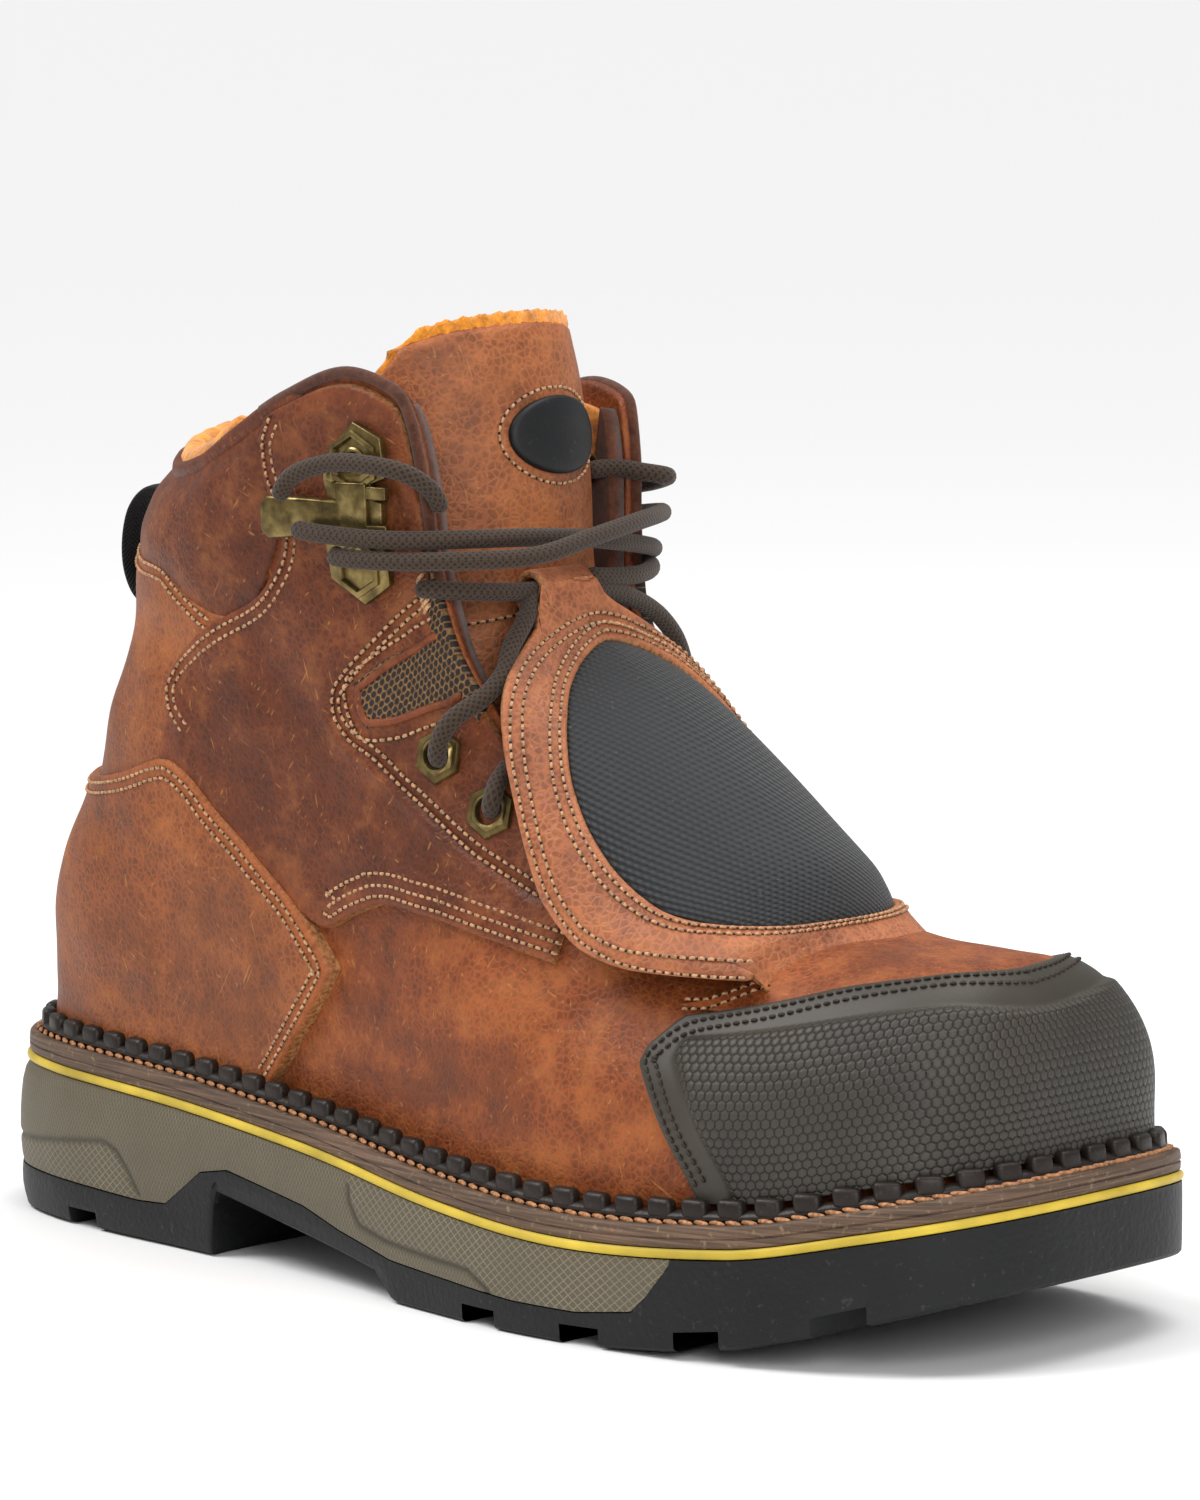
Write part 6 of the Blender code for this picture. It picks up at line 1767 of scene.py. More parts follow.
def make_guard():
    """The leather shield over the instep, its woven pad and the tab that the lace runs through."""
    count = 360
    outline = pad_outline(count)
    edge = guard_edge(outline)
    b = np.r_[0.0, 0.006, 0.02, 0.045, 0.08, np.linspace(0.12, 0.90, 20), 0.935, 0.965, 0.985, 0.995, 1.0]
    uv = outline[:, None] * (1 - b[None, :, None]) + edge[:, None] * b[None, :, None]
    p, n = guard_skin(uv[..., 0], uv[..., 1])
    inner = np.linalg.norm(np.diff(p, axis=1), axis=2)
    from_pad = np.concatenate([np.zeros((count, 1)), np.cumsum(inner, 1)], 1)
    from_edge = np.concatenate([np.cumsum(inner[:, ::-1], 1)[:, ::-1], np.zeros((count, 1))], 1)
    near = np.minimum(from_pad, from_edge)
    top = GUARD_LIFT * round_over(near, 1.2)
    wave = 0.35 * np.sin(uv[..., 0] * 24 + 2 * np.sin(uv[..., 1] * 5)) * smoothstep(from_edge, 3, 9)
    # the foot is sewn down: it runs forward and dips under the vamp, but for the outer corner
    foot = smoothstep(edge[:, 0], 0.985, 1.0) * smoothstep(edge[:, 1], -0.92, -0.55)
    pull = foot[:, None] * smoothstep(b, 0.45, 1.0)[None]
    ahead = 1.0 + 10.0 * smoothstep(edge[:, 1], -0.6, 0.4) * (1 - smoothstep(edge[:, 1], 0.5, 0.95))
    goal = vamp_below(p[:, -1] + ahead[:, None] * [1.0, 0.0, 0.0]) - p[:, -1]
    p = p + goal[:, None] * pull[..., None]
    top = top * (1 - pull) + wave * 0.5 - 1.2 * pull
    outer = p + n * top[..., None]
    under = p + n * (np.minimum(-0.9, top - 1.0))[..., None]
    m = len(b)
    verts = np.vstack([outer.reshape(-1, 3), under.reshape(-1, 3)])
    faces, half = [], count * m
    for i in range(count):
        k = (i + 1) % count
        for j in range(m - 1):
            faces.append([i * m + j, k * m + j, k * m + j + 1, i * m + j + 1])
            faces.append([half + i * m + j, half + i * m + j + 1, half + k * m + j + 1, half + k * m + j])
        faces.append([i * m, half + i * m, half + k * m, k * m])
        faces.append([i * m + m - 1, k * m + m - 1, half + k * m + m - 1, half + i * m + m - 1])
    wear = np.clip(1 - near / 3.0, 0, 1)
    raw = np.clip(1 - near / 0.7, 0, 1)
    build("guard_leather", verts, outward_faces(verts, faces), "guard", "guard_leather",
          marks={"wear": twice(wear), "raw": twice(raw)},
          stands_for=("guard_flap",))
    # pad: rings from its outline to its middle
    shares = np.r_[0.0, 0.02, 0.05, 0.09, 0.13, 0.18, np.linspace(0.25, 1.0, 30)]
    middle = np.array([0.55, 0.02])
    uv = outline[None] * (1 - shares[:, None, None]) + middle * shares[:, None, None]
    dome = 0.2 + 3.9 * np.sin(np.clip(shares / 0.60, 0, 1) * math.pi / 2) ** 0.75
    p, n = guard_skin(uv[..., 0], uv[..., 1])
    q = p + n * dome[:, None, None]
    under = p[::-1] + n[::-1] * -0.8
    grid = np.concatenate([q[::-1], under[::-1]])
    rows = grid.shape[0]
    verts = grid.reshape(-1, 3)
    faces = ring_faces(rows, count)
    # millimetres of cloth to a unit across and down the guard
    flat = uv[..., ::-1] * [46.0, 118.0]
    cloth = np.concatenate([flat[::-1], flat]).reshape(-1, 2)
    keep = outward_faces(verts, faces)
    cushion = build("woven_pad", verts, keep, "pad", "black_cloth", cloth, stands_for=("guard_pad",))
    # tab rolled back over the lace
    profile = curve([(173.0, 148.6), (170.6, 152.6), (169.0, 155.9), (167.4, 158.8), (164.8, 160.5),
                     (161.6, 160.0), (159.4, 157.4), (159.5, 154.0), (161.8, 151.4)])
    profile = along(profile, np.linspace(0, 1, 56))
    y = np.r_[-1, -0.97, np.linspace(-0.9, 0.9, 18), 0.97, 1]
    k = np.linspace(0, 1, 56)
    half = 8.6 + 1.5 * (1 - smoothstep(k, 0.0, 0.3))
    grid, n = strip(profile, -4.3 + half[:, None] * y)
    round_off = (1 - np.sqrt(np.clip(1 - np.clip((np.abs(y) - 0.86) / 0.14, 0, 1) ** 2, 0, 1))) * 0.8
    sink = 2.2 * (1 - smoothstep(k, 0.0, 0.22))
    outer = grid + n * (0.6 - round_off - sink[:, None])[..., None]
    inner = grid - n * (1.4 + sink[:, None] - round_off * 0.5)[..., None]
    verts, faces = closed_sheet(outer, inner, n)
    near = np.clip((np.abs(y) - 0.7) / 0.3, 0, 1)[None, :] * np.ones((56, 1))
    raw = np.clip((np.abs(y) - 0.93) / 0.07, 0, 1)[None, :] * np.ones((56, 1))
    build("guard_tab", verts, outward_faces(verts, faces), "guard", "guard_leather",
          marks={"wear": twice(near), "raw": twice(raw)})


# Stitches

def make_stitches():
    """Rows of tan and dark stitches along every seam, with painted shade at their needle holes."""
    tan, dark = [], []
    for side in (-1, 1):
        for inset in (2.2, 4.6, 7.2):
            tan.append(skin_row(side, QUARTER_FOOT[:7] + [(0.648, 0.30)], inset, QUARTER_LIFT + STITCH_RISE,
                                (0.6, 0.7), (0.0, 0.06)))
        for inset in (2.1, 4.5):
            tan.append(skin_row(side, QUARTER_BACK, inset, QUARTER_LIFT + STITCH_RISE, (0.6, 0.7)))
            tan.append(skin_row(side, COUNTER_FRONT + COUNTER_TOP[1:], inset, COUNTER_LIFT + STITCH_RISE,
                                (0.85, 0.2), (0.03, 0.0)))
            tan.append(skin_row(side, BACK_PANEL[2], inset, PANEL_LIFT + STITCH_RISE, (0.9, 0.6),
                                (0.10, 0.0)))
            dark.append(skin_row(side, CAP_BACK + CAP_TOP[::-1][1:], inset, CAP_LIFT + STITCH_RISE,
                                 (0.1, 0.3), (0.03, 0.0)))
        for inset in (0.0, 2.3):
            tan.append(skin_row(side, VENT_SEAM, inset, 2.5, (0.58, 0.75) if inset else (0.5, 0.5)))
        tan.append(skin_row(side, VENT_EDGE, 3.4, 2.6, (0.75, 0.40), (0.04, 0.03)))
        tan.append(skin_row(side, [(0.972, 0.05), (0.972, 0.44)], 0.0, COUNTER_LIFT + STITCH_RISE,
                            (0.9, 0.3)))
    for inset in (0.0, 2.4):
        tan.append(skin_row(-1, [(0.300, 0.500), (0.284, 0.520), (0.256, 0.640)], inset,
                            GUARD_LIFT + STITCH_RISE, (0.2, 0.5)))

    def guard_lifted(v, w, lift):
        return guard_skin(np.clip(v, 0, 1), np.clip(w, -1, 1), lift + np.zeros(np.shape(v)))

    def guard_at(v, w):
        return guard_point(np.clip(v, 0, 1), np.clip(w, -1.0, 1.0))

    for inset in (0.0, 2.4):
        tan.append(offset_row(guard_at, guard_lifted, OUTER_ROW, inset, GUARD_LIFT + STITCH_RISE, (0.5, 0.0)))
    ring = [tuple(place) for place in np.vstack([pad_outline(120), pad_outline(120)[:1]])]
    for inset in (-2.0, -4.3):
        tan.append(offset_row(guard_at, guard_lifted, ring, inset, GUARD_LIFT + STITCH_RISE, (0.5, 0.0)))
    angle = np.linspace(0, 2 * math.pi, 90)
    at = BADGE_AT[0] + (BADGE_SIZE[0] + 0.013) * np.sin(angle)
    cross = BADGE_AT[1] + (BADGE_SIZE[1] + 0.065) * np.cos(angle)
    tan.append(tongue_skin(at, cross, np.full(90, 0.1)))
    w = np.linspace(-0.95, 0.95, 60)
    tan.append(tongue_skin(0.60 + 0.02 * np.sin(w * 2), w, np.full(60, 0.1)))
    sizes = bpy.context.scene.boot_sizes
    pitch = sizes.stitch_pitch * 1000
    stitch, hole = stitch_shape(0.88 * pitch, 0.84, 0.70), hole_shape(pitch / 2, 0.42)
    repeat_along("tan_stitches", tan, stitch, pitch, "thread", "brown_leather")
    # painted shade: a near-black dot at each needle hole
    repeat_along("needle_holes", tan, hole, pitch, "hole", "brown_leather")
    repeat_along("dark_stitches", dark, stitch, pitch, "dark_thread", "cap_rubber")
    drop(stitch, hole)
    # bar tacks at the top of the vents
    for side, label in SIDES:
        cords = []
        for k in range(6):
            s0 = 0.594 - 0.0032 * k
            bar, _ = skin(side, np.array([s0, s0 - 0.004, s0 - 0.008]), np.array([0.918, 0.942, 0.966]),
                          np.array([2.5, 3.3, 2.5]))
            cords.append(swept(bar, 0.5, 6, 1.0))
        verts, faces, _ = joined(cords)
        build("bar_tack_" + label, verts, faces, "thread", "brown_leather")


# Hardware

def local_solid(outline, low, high, bevel):
    """Points and faces of a plate with soft edges, in its own plane."""
    bm = bmesh.new()
    base = [bm.verts.new((a, b, low)) for a, b in outline]
    top = [bm.verts.new((a, b, high)) for a, b in outline]
    bm.faces.new(base[::-1])
    bm.faces.new(top)
    for i in range(len(outline)):
        j = (i + 1) % len(outline)
        bm.faces.new([base[i], base[j], top[j], top[i]])
    bmesh.ops.recalc_face_normals(bm, faces=bm.faces)
    rim = [e for e in bm.edges if e.verts[0].co.z > high - 1e-6 and e.verts[1].co.z > high - 1e-6]
    upright = [e for e in bm.edges if abs(e.verts[0].co.z - e.verts[1].co.z) > 1e-6]
    bmesh.ops.bevel(bm, geom=rim + upright, offset=bevel, segments=3, profile=0.5, affect="EDGES",
                    clamp_overlap=True)
    bm.verts.index_update()
    out = np.array([v.co[:] for v in bm.verts]), [[v.index for v in f.verts] for f in bm.faces]
    bm.free()
    return out


def local_ring(centre, rows, sides=48):
    """A ring from rows of (radius, height, how hexagonal), closed from its last row to its first."""
    verts = []
    for radius, height, hexagonal in rows:
        for k in range(sides):
            a = 2 * math.pi * k / sides
            r = radius * ((1 - hexagonal) + hexagonal * math.cos(math.pi / 6)
                          / math.cos((a % (math.pi / 3)) - math.pi / 6))
            verts.append((centre[0] + r * math.sin(a), centre[1] + r * math.cos(a), height))
    verts = np.array(verts)
    return verts, outward_faces(verts, ring_faces(len(rows), sides, meet=True))


def local_dome(centre, radius, low, height, sides=24):
    """A low round dome on a plate."""
    verts = []
    rows = [(1.0, 0.0), (1.0, 0.35), (0.86, 0.72), (0.5, 0.95)]
    for r, h in rows:
        for k in range(sides):
            a = 2 * math.pi * k / sides
            verts.append((centre[0] + r * radius * math.cos(a), centre[1] + r * radius * math.sin(a),
                          low + h * height))
    return np.array(verts), ring_faces(len(rows), sides, caps=True)


def put_on(side, s, t, shapes):
    """Shapes in a plate's own plane set on the skin at a place, as one set of points and faces."""
    o = surface(side, np.array(s), np.array(t))
    n = surface_normal(side, np.array(s), np.array(t))
    ahead = np.array([1.0, 0.0, 0.0]) - n * n[0]
    ahead /= np.linalg.norm(ahead)
    up = np.cross(ahead, n)
    up = -up if up[2] < 0 else up
    verts, faces, base = [], [], 0
    for points, polygons in shapes:
        placed = o + points[:, :1] * ahead + points[:, 1:2] * up + points[:, 2:3] * n
        polygons = outward_faces(placed, polygons)
        verts.append(placed)
        faces += [[i + base for i in f] for f in polygons]
        base += len(placed)
    return np.vstack(verts), faces


HOOK_OUTLINE = [(0.0, 20.5), (7.6, 17.0), (8.6, 8.0), (4.6, 6.6), (4.6, 3.4), (7.4, 2.6), (7.4, -2.2),
                (4.6, -3.2), (4.6, -6.4), (8.6, -8.6), (9.0, -16.0), (2.0, -20.5), (-7.5, -15.0),
                (-8.8, -7.0), (-6.8, 0.0), (-8.8, 7.0), (-8.8, 12.0)]


# Where the hook's plate and the eyelets sit on the skin, and how high the plate's foot lies above it
HOOK_AT = (0.672, 0.826)
EYELETS = ((0.532, 0.765), (0.476, 0.765))
PLATE_FOOT = 3.4


def make_hardware():
    """Hexagon eyelets and the hook plates with their levers, in antique brass, with painted shade in their
    holes.
    """
    for side, label in SIDES:
        for number, (s, t) in enumerate(EYELETS, 1):
            rows = [(6.5, 2.3, 1.0), (6.5, 3.0, 1.0), (6.1, 3.5, 1.0), (4.7, 3.5, 0.6), (4.2, 4.0, 0.15),
                    (3.8, 4.25, 0.0), (3.3, 4.1, 0.0), (3.0, 3.5, 0.0), (2.9, 2.2, 0.0)]
            body, hole = local_ring((0, 0), rows), local_dome((0, 0), 3.2, 2.35, 0.15)
            build("eyelet_%s_ring_%d" % (label, number), *put_on(side, s, t, [body]), "brass", "old_brass",
                  stands_for=("eyelet_%s_%d" % (label, number),), sharp=40)
            # painted shade: a dark disc over the eyelet's opening
            build("eyelet_%s_hole_%d" % (label, number), *put_on(side, s, t, [hole]), "hole", "old_brass")
        foot = PLATE_FOOT
        plate = local_solid(HOOK_OUTLINE, foot - 0.9, foot + 1.3, 0.35)
        hexes = [local_ring(centre, [(radius - cut, foot + rise, 1.0) for cut, rise in (
            (0.0, 1.1), (0.0, 2.0), (0.5, 2.3), (1.3, 2.3), (1.7, 1.8), (1.8, 1.1))])
                 for centre, radius in (((0.2, 11.5), 7.2), ((0.6, -12.4), 6.6))]
        rim = local_ring((0.2, 11.5), [(3.4, foot + 1.1, 0.0), (3.4, foot + 1.8, 0.0), (3.0, foot + 2.1, 0.0),
                                       (2.5, foot + 1.9, 0.0), (2.3, foot + 1.1, 0.0)])
        rivets = [local_dome(c, 2.2, foot + 1.0, 1.2) for c in ((-6.0, 8.8), (-5.6, -9.8), (-1.5, -5.2))]
        build("hook_plate_" + label, *put_on(side, *HOOK_AT, [plate, *hexes, rim, *rivets]),
              "brass", "old_brass", stands_for=("hook_" + label,), sharp=35)
        # painted shade: a dark disc in the hook's hole
        build("hook_hole_" + label, *put_on(side, *HOOK_AT, [local_dome((0.2, 11.5), 2.4, foot + 1.0, 0.55)]),
              "hole", "old_brass")
        lever = local_solid([(-24.6, 1.6), (-22.6, 3.6), (-14.0, 3.4), (-3.0, 2.6), (-2.0, 1.0), (-2.0, -2.6),
                             (-3.0, -4.2), (-14.0, -5.4), (-22.4, -6.4), (-24.6, -4.6)], foot + 1.2,
                            foot + 5.0, 1.3)
        # the lever's head is thick at its free end and slopes down to the plate
        points = lever[0].copy()
        slope = np.clip((points[:, 0] + 13.0) / 11.0, 0, 1)
        points[:, 2] = np.where(points[:, 2] > foot + 2.2, points[:, 2] - 2.4 * slope, points[:, 2])
        prongs = [local_solid([(x0, y1), (x1, y1), (x1, y0), (x0, y0)], foot + 1.0, foot + high,
                              bevel) for x0, x1, y0, y1, high, bevel in ((3.0, 9.6, 3.2, 6.2, 2.6, 0.4),
                                                                         (3.0, 9.6, -5.6, -2.4, 2.6, 0.4),
                                                                         (-4.5, 4.2, -6.6, 7.0, 2.8, 0.5))]
        build("hook_lever_" + label, *put_on(side, *HOOK_AT, [(points, lever[1])] + prongs),
              "brass", "old_brass", sharp=35)
    ring = local_ring((0, 0), [(3.6, -3.0, 0.0), (3.6, -6.0, 0.0), (3.2, -6.5, 0.0), (2.4, -6.5, 0.0),
                               (2.1, -6.0, 0.0), (2.0, -3.0, 0.0)])
    build("flap_back_ring", *put_on(1, 0.655, 0.90, [ring]), "brass", "old_brass", sharp=40)


# Laces

def make_laces():
    """The braided lace, run through the tab of the guard and into the eyelets."""
    scale = np.array([LENGTH, HALF_BALL, COLLAR_HEIGHT])
    radius = bpy.context.scene.boot_sizes.lace_diameter * 500
    runs = {"lace_" + name: [np.array(LACES[line]) * scale] for name, line in (
        ("crossing_1", "lace_bar_1"), ("crossing_2", "lace_bar_2"), ("over_hook", "lace_tab_loop"))}
    runs.update({
        "lace_lower_outer": [
            [(155.0, -40.5, 158.5), (161.0, -35.5, 158.0), (164.5, -26.0, 157.2), (165.0, -16.0, 156.6),
             (164.6, -6.0, 156.4)],
            [(161.8, -7.0, 156.6), (164.6, -12.5, 156.0), (168.6, -19.0, 151.2), (171.6, -27.5, 144.8),
             (173.2, -31.2, 140.2), (172.6, -36.8, 135.4), (168.9, -43.6, 130.4), (166.4, -44.6, 126.4),
             (164.6, -43.9, 122.6), (163.2, -41.2, 120.6)]],
        "lace_lower_inner": [
            [(150.0, 40.5, 158.5), (158.0, 34.0, 157.8), (163.5, 24.0, 157.4), (166.0, 13.0, 157.8),
             (166.4, 3.0, 158.8)],
            [(166.9, 2.6, 155.4), (166.0, 13.0, 154.4), (164.2, 23.0, 151.4), (162.6, 32.0, 147.0),
             (161.4, 39.4, 140.0), (159.4, 43.8, 131.0), (157.2, 43.6, 124.6), (156.0, 39.0, 121.0)]],
    })
    solids = {"lace_crossing_1": ("lace_bar_1",), "lace_crossing_2": ("lace_bar_2",),
              "lace_over_hook": ("lace_tab_loop",), "lace_lower_outer": ("lace_outer",),
              "lace_lower_inner": ("lace_inner",)}
    for side, label in SIDES:
        places = np.array([(0.476, 0.765, -1.0), (0.475, 0.775, 3.6), (0.473, 0.81, 5.4), (0.474, 0.85, 4.4),
                           (0.473, 0.89, 3.0), (0.472, 0.93, 1.5)])
        o = surface(side, places[:, 0], places[:, 1])
        runs["lace_lower_" + label].append(o + surface_normal(side, places[:, 0], places[:, 1])
                                           * places[:, 2:])
    runs["lace_far_end"] = [[(147.0, 24.0, 180.0), (150.5, 30.0, 180.6), (155.0, 35.0, 179.6),
                             (157.0, 40.0, 178.6), (153.0, 44.5, 177.6), (146.0, 45.5, 176.0),
                             (141.0, 42.5, 175.4)]]
    for name, paths in runs.items():
        verts, faces, uv = joined([swept(path, radius, 16, 0.9) for path in paths])
        build(name, verts, faces, "lace", "lace_cord", uv, stands_for=solids.get(name, ()))


def make_pull_loop():
    """Webbing loop at the back of the collar."""
    shares = [(0.1425, 0.8350), (0.1150, 0.8374), (0.0974, 0.8155), (0.0895, 0.7767), (0.0914, 0.7403),
              (0.1022, 0.7136), (0.1198, 0.7049)]
    line = along(curve(np.array(shares) * [LENGTH, COLLAR_HEIGHT]), np.linspace(0, 1, 70))
    y = np.r_[-10, -9.8, np.linspace(-9.3, 9.3, 14), 9.8, 10]
    grid, n = strip(line, y[None])
    thick = (0.95 * np.sqrt(np.clip(1 - (y / 10.05) ** 6, 0, 1)))[None, :, None]
    verts, faces = closed_sheet(grid + n * thick, grid - n * thick, n)
    run = np.r_[0, np.cumsum(np.linalg.norm(np.diff(line, axis=0), axis=1))]
    uv = np.stack([np.broadcast_to(run[:, None], (70, len(y))), np.broadcast_to(y, (70, len(y)))],
                  -1).reshape(-1, 2)
    build("webbing_loop", verts, outward_faces(verts, faces), "webbing", "black_webbing",
          np.vstack([uv, uv]), stands_for=("pull_loop",))


def make_heel_stay():
    """The narrow strip down the back, and the insole's finish."""
    stay = outlined([(0.978, 0.045), (1.0, 0.045)], [(1.0, 0.045), (1.0, 0.43)], [(0.978, 0.43), (1.0, 0.43)],
                    [(0.978, 0.045), (0.978, 0.43)], spaced(18, 8.0), spaced(70, 60.0))
    laid_piece("back_strip", stay, (-1, 1), 4.9, "counter", "brown_leather", ("start", "end", "top"),
               ("heel_stay",), seam_first=False)
    insole = frame["nodes"]["insole"]
    insole.data.materials.clear()
    insole.data.materials.append(finish("insole"))


# Stage

def make_stage():
    """Pale floor, soft studio light, and the camera at the photographed angle."""
    scene = bpy.context.scene
    reach = 400000.0
    floor = mesh_object("studio_floor", [(-reach, -reach, 0.0), (reach, -reach, 0.0), (reach, reach, 0.0),
                                         (-reach, reach, 0.0)], [], [(0, 1, 2, 3)])
    material, _, shader, _ = start("studio_paper", 0.75, 0.25)
    fill(shader, {"Base Color": linear("#f8f8f8")})
    floor.data.materials.append(material)
    world = bpy.data.worlds.new("studio")
    world.use_nodes = True
    fill(world.node_tree.nodes["Background"].inputs, {"Color": (1.0, 1.0, 1.0, 1.0), "Strength": 0.45})
    scene.world = world
    target = Vector((0.11, 0.0, 0.10))
    for name, kind, place, power in (("soft_sun", "SUN", (-0.75, -0.75, 1.7), 2.1),
                                     ("side_panel", "AREA", (1.3, -0.75, 0.75), 9.5),
                                     ("top_panel", "AREA", (0.35, 0.3, 1.3), 9.0)):
        light = bpy.data.lights.new(name, kind)
        light.energy = power
        if kind == "SUN":
            light.angle = 0.55
        else:
            light.shape, light.size = "SQUARE", 0.8
        obj = linked(name, light)
        obj.location = place
        obj.rotation_euler = (target - Vector(place)).to_track_quat("-Z", "Y").to_euler()
    scene.view_settings.view_transform = "Standard"
    camera = bpy.data.cameras.new("camera")
    camera.sensor_fit, camera.sensor_height = "VERTICAL", 36.0
    camera.lens = 162.53
    camera.clip_end = 2000.0
    turn, rise, roll = math.radians(42.837), math.radians(6.966), math.radians(-0.433)
    back = Vector((math.sin(turn) * math.cos(rise), -math.cos(turn) * math.cos(rise), math.sin(rise)))
    right = Vector((0, 0, 1)).cross(back).normalized()
    up = back.cross(right)
    right, up = (right * math.cos(roll) + up * math.sin(roll)), (up * math.cos(roll) - right * math.sin(roll))
    # the place the camera looks at, and its distance, fitted to the sole in the photo
    spot = Vector((0.12505, 0.00327, 0.11946)) + back * 1.52844
    obj = linked("camera", camera)
    obj.matrix_world = Matrix(((right.x, up.x, back.x, spot.x), (right.y, up.y, back.y, spot.y),
                               (right.z, up.z, back.z, spot.z), (0, 0, 0, 1)))
    scene.camera = obj


# Add-on

def colour_property(label, description, hex_colour):
    return bpy.props.FloatVectorProperty(name=label, description=description, subtype="COLOR", size=4,
                                         min=0.0, max=1.0, default=linear(hex_colour))


class BootSizes(bpy.types.PropertyGroup):
    """Sizes that a user would change."""
    stitch_pitch: bpy.props.FloatProperty(name="Stitch pitch", description="From one needle hole to the next",
                                          default=0.0021, min=0.0015, max=0.006, subtype="DISTANCE")
    lace_diameter: bpy.props.FloatProperty(name="Lace diameter", description="Thickness of the round lace",
                                           default=0.0042, min=0.002, max=0.008, subtype="DISTANCE")
    hexagon_pitch: bpy.props.FloatProperty(name="Hexagon pitch",
                                           description="Width of the toe bumper's hexagons", default=0.0021,
                                           min=0.001, max=0.01, subtype="DISTANCE")


class BootColours(bpy.types.PropertyGroup):
    """Colours that a user would change."""
    leather: colour_property("Leather", "Vamp, flaps and collar edge", "#753a1a")
    quarter: colour_property("Quarter leather", "Quarters and collar pad", "#5c2c15")
    counter: colour_property("Counter leather", "Counter, back panel and heel strip", "#78401f")
    guard: colour_property("Guard leather", "Instep guard and its tab", "#8a5236")
    tongue: colour_property("Tongue leather", "Tongue", "#834b2c")
    thread: colour_property("Thread", "Stitches along the leather seams", "#bd9069")
    toe_rubber: colour_property("Toe rubber", "Toe bumper", "#37322a")
    midsole: colour_property("Midsole", "Foam side of the sole", "#8f846c")
    line: colour_property("Bright line", "Thin line above the midsole", "#c6ab38")
    lace: colour_property("Lace", "Braided lace", "#3a2d23")
    fleece: colour_property("Fleece", "Lining of collar and tongue", "#ef9426")


class BOOT_OT_stage(bpy.types.Operator):
    """Pale floor, soft studio light, and the camera at the photographed angle."""
    bl_idname = "boot.stage"
    bl_label = "Stage"

    def execute(self, context):
        make_stage()
        return {"FINISHED"}


class BOOT_OT_sole(bpy.types.Operator):
    """Outsole with its lugs, midsole, bright line and welt."""
    bl_idname = "boot.sole"
    bl_label = "Sole"

    def execute(self, context):
        make_sole()
        return {"FINISHED"}


class BOOT_OT_storm_rib(bpy.types.Operator):
    """Rubber blocks along the foot of the upper, and the twisted stitch of the welt."""
    bl_idname = "boot.storm_rib"
    bl_label = "Storm rib"

    def execute(self, context):
        make_storm_rib()
        return {"FINISHED"}


class BOOT_OT_upper(bpy.types.Operator):
    """The creased leather skin, its linings and the rolled edges of collar and flaps."""
    bl_idname = "boot.upper"
    bl_label = "Upper and linings"

    def execute(self, context):
        make_upper()
        return {"FINISHED"}


class BOOT_OT_panels(bpy.types.Operator):
    """Quarters with their vents, counter, back panel and collar pad."""
    bl_idname = "boot.panels"
    bl_label = "Leather panels"

    def execute(self, context):
        make_panels()
        make_foot_patch()
        return {"FINISHED"}


class BOOT_OT_toe_cap(bpy.types.Operator):
    """The rubber bumper with its raised panel of hexagons."""
    bl_idname = "boot.toe_cap"
    bl_label = "Toe bumper"

    def execute(self, context):
        make_toe_cap()
        return {"FINISHED"}


class BOOT_OT_heel_stay(bpy.types.Operator):
    """The narrow strip down the back, and the insole's finish."""
    bl_idname = "boot.heel_stay"
    bl_label = "Heel strip"

    def execute(self, context):
        make_heel_stay()
        return {"FINISHED"}


class BOOT_OT_tongue(bpy.types.Operator):
    """The padded tongue with its fleece back and its blank oval badge."""
    bl_idname = "boot.tongue"
    bl_label = "Tongue"

    def execute(self, context):
        make_tongue()
        return {"FINISHED"}


class BOOT_OT_guard(bpy.types.Operator):
    """The leather shield over the instep, its woven pad and its tab."""
    bl_idname = "boot.guard"
    bl_label = "Instep guard"

    def execute(self, context):
        make_guard()
        return {"FINISHED"}


class BOOT_OT_hardware(bpy.types.Operator):
    """Hexagon eyelets, and the hook plates with their levers."""
    bl_idname = "boot.hardware"
    bl_label = "Eyelets and hooks"

    def execute(self, context):
        make_hardware()
        return {"FINISHED"}


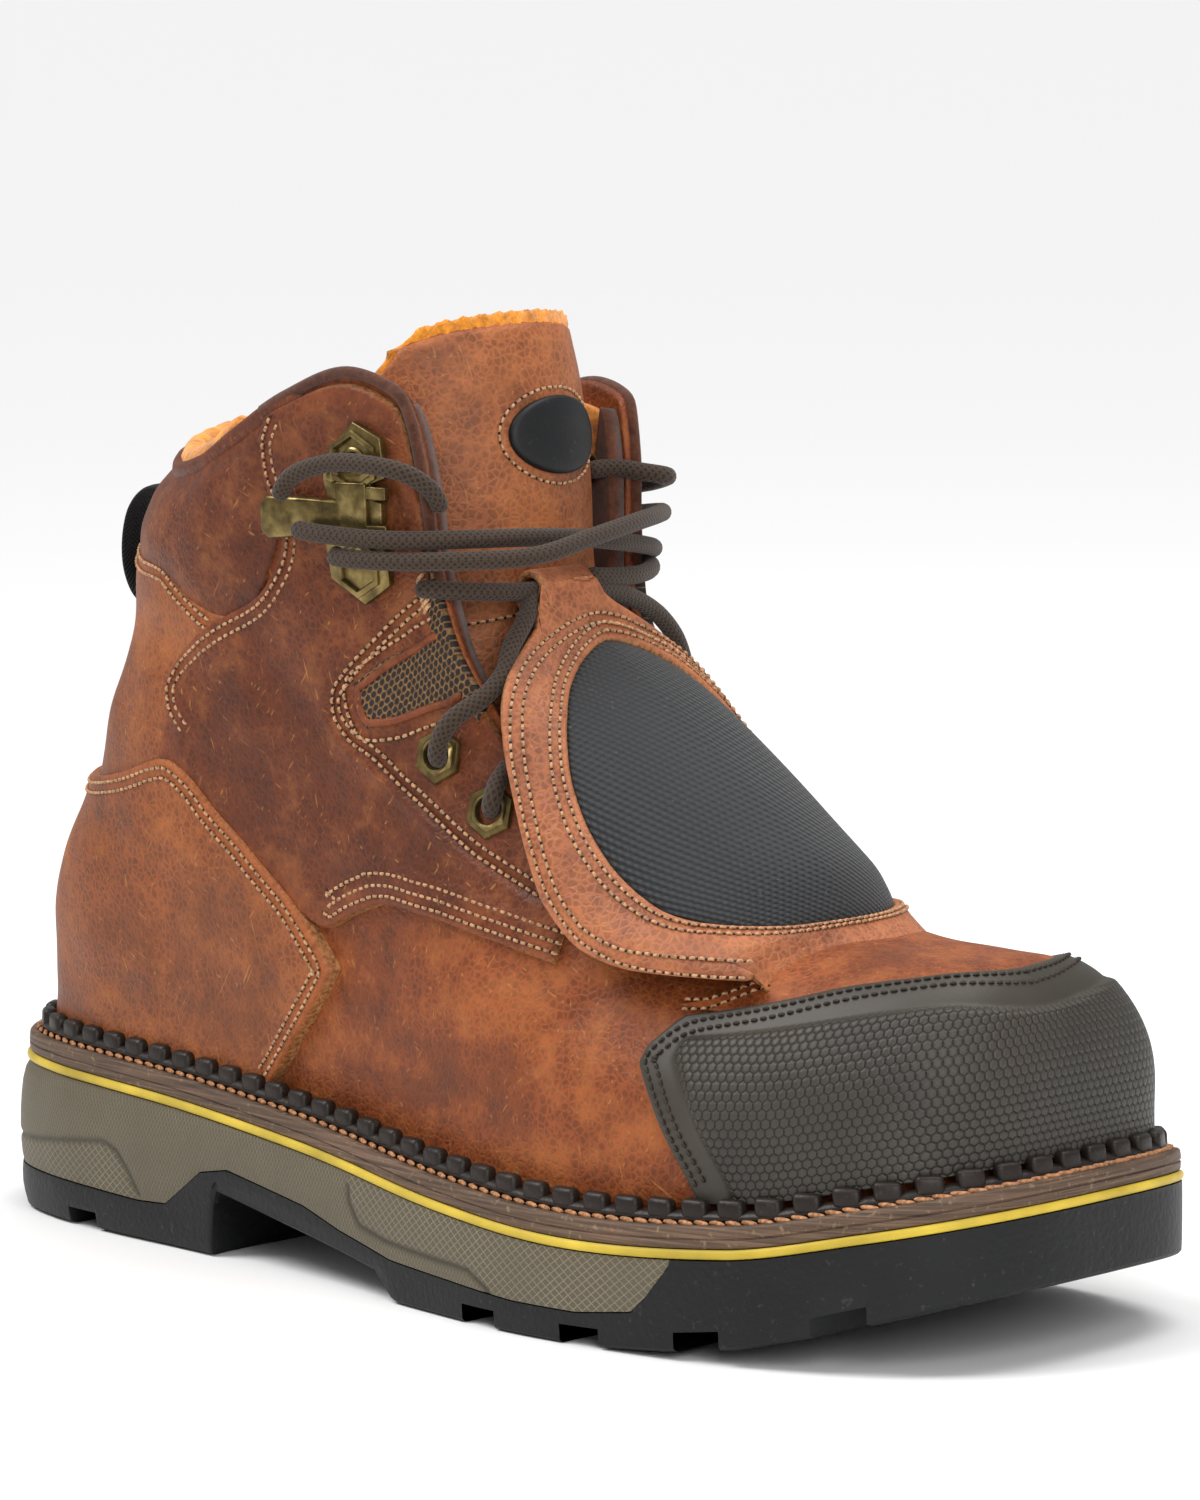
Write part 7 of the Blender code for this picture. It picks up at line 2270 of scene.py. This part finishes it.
class BOOT_OT_laces(bpy.types.Operator):
    """The braided lace, run through the guard's tab and the eyelets."""
    bl_idname = "boot.laces"
    bl_label = "Laces"

    def execute(self, context):
        make_laces()
        return {"FINISHED"}


class BOOT_OT_pull_loop(bpy.types.Operator):
    """Webbing loop at the back of the collar."""
    bl_idname = "boot.pull_loop"
    bl_label = "Pull loop"

    def execute(self, context):
        make_pull_loop()
        return {"FINISHED"}


class BOOT_OT_stitches(bpy.types.Operator):
    """Rows of stitches along every seam, with painted shade at their needle holes."""
    bl_idname = "boot.stitches"
    bl_label = "Stitches"

    def execute(self, context):
        make_stitches()
        return {"FINISHED"}


STEPS = [
    BOOT_OT_stage, BOOT_OT_sole, BOOT_OT_storm_rib, BOOT_OT_upper, BOOT_OT_panels, BOOT_OT_toe_cap,
    BOOT_OT_heel_stay, BOOT_OT_tongue, BOOT_OT_guard, BOOT_OT_hardware, BOOT_OT_laces, BOOT_OT_pull_loop,
    BOOT_OT_stitches,
]


class BOOT_PT_panel(bpy.types.Panel):
    """Lists the steps that build the boot."""
    bl_label = "Work boot"
    bl_idname = "BOOT_PT_panel"
    bl_space_type = "VIEW_3D"
    bl_region_type = "UI"
    bl_category = "Boot"

    def draw(self, context):
        sizes = context.scene.boot_sizes
        for group in (sizes, context.scene.boot_colours):
            for label in group.__annotations__:
                self.layout.prop(group, label)
        for step in STEPS:
            self.layout.operator(step.bl_idname)


def register():
    for cls in (BootSizes, BootColours, *STEPS, BOOT_PT_panel):
        bpy.utils.register_class(cls)
    bpy.types.Scene.boot_sizes = bpy.props.PointerProperty(type=BootSizes)
    bpy.types.Scene.boot_colours = bpy.props.PointerProperty(type=BootColours)


def unregister():
    del bpy.types.Scene.boot_colours
    del bpy.types.Scene.boot_sizes
    for cls in (BOOT_PT_panel, *reversed(STEPS), BootColours, BootSizes):
        bpy.utils.unregister_class(cls)


def main():
    register()
    for step in STEPS:
        name = step.bl_idname.split(".")[1]
        getattr(bpy.ops.boot, name)()


if __name__ == "__main__":
    main()
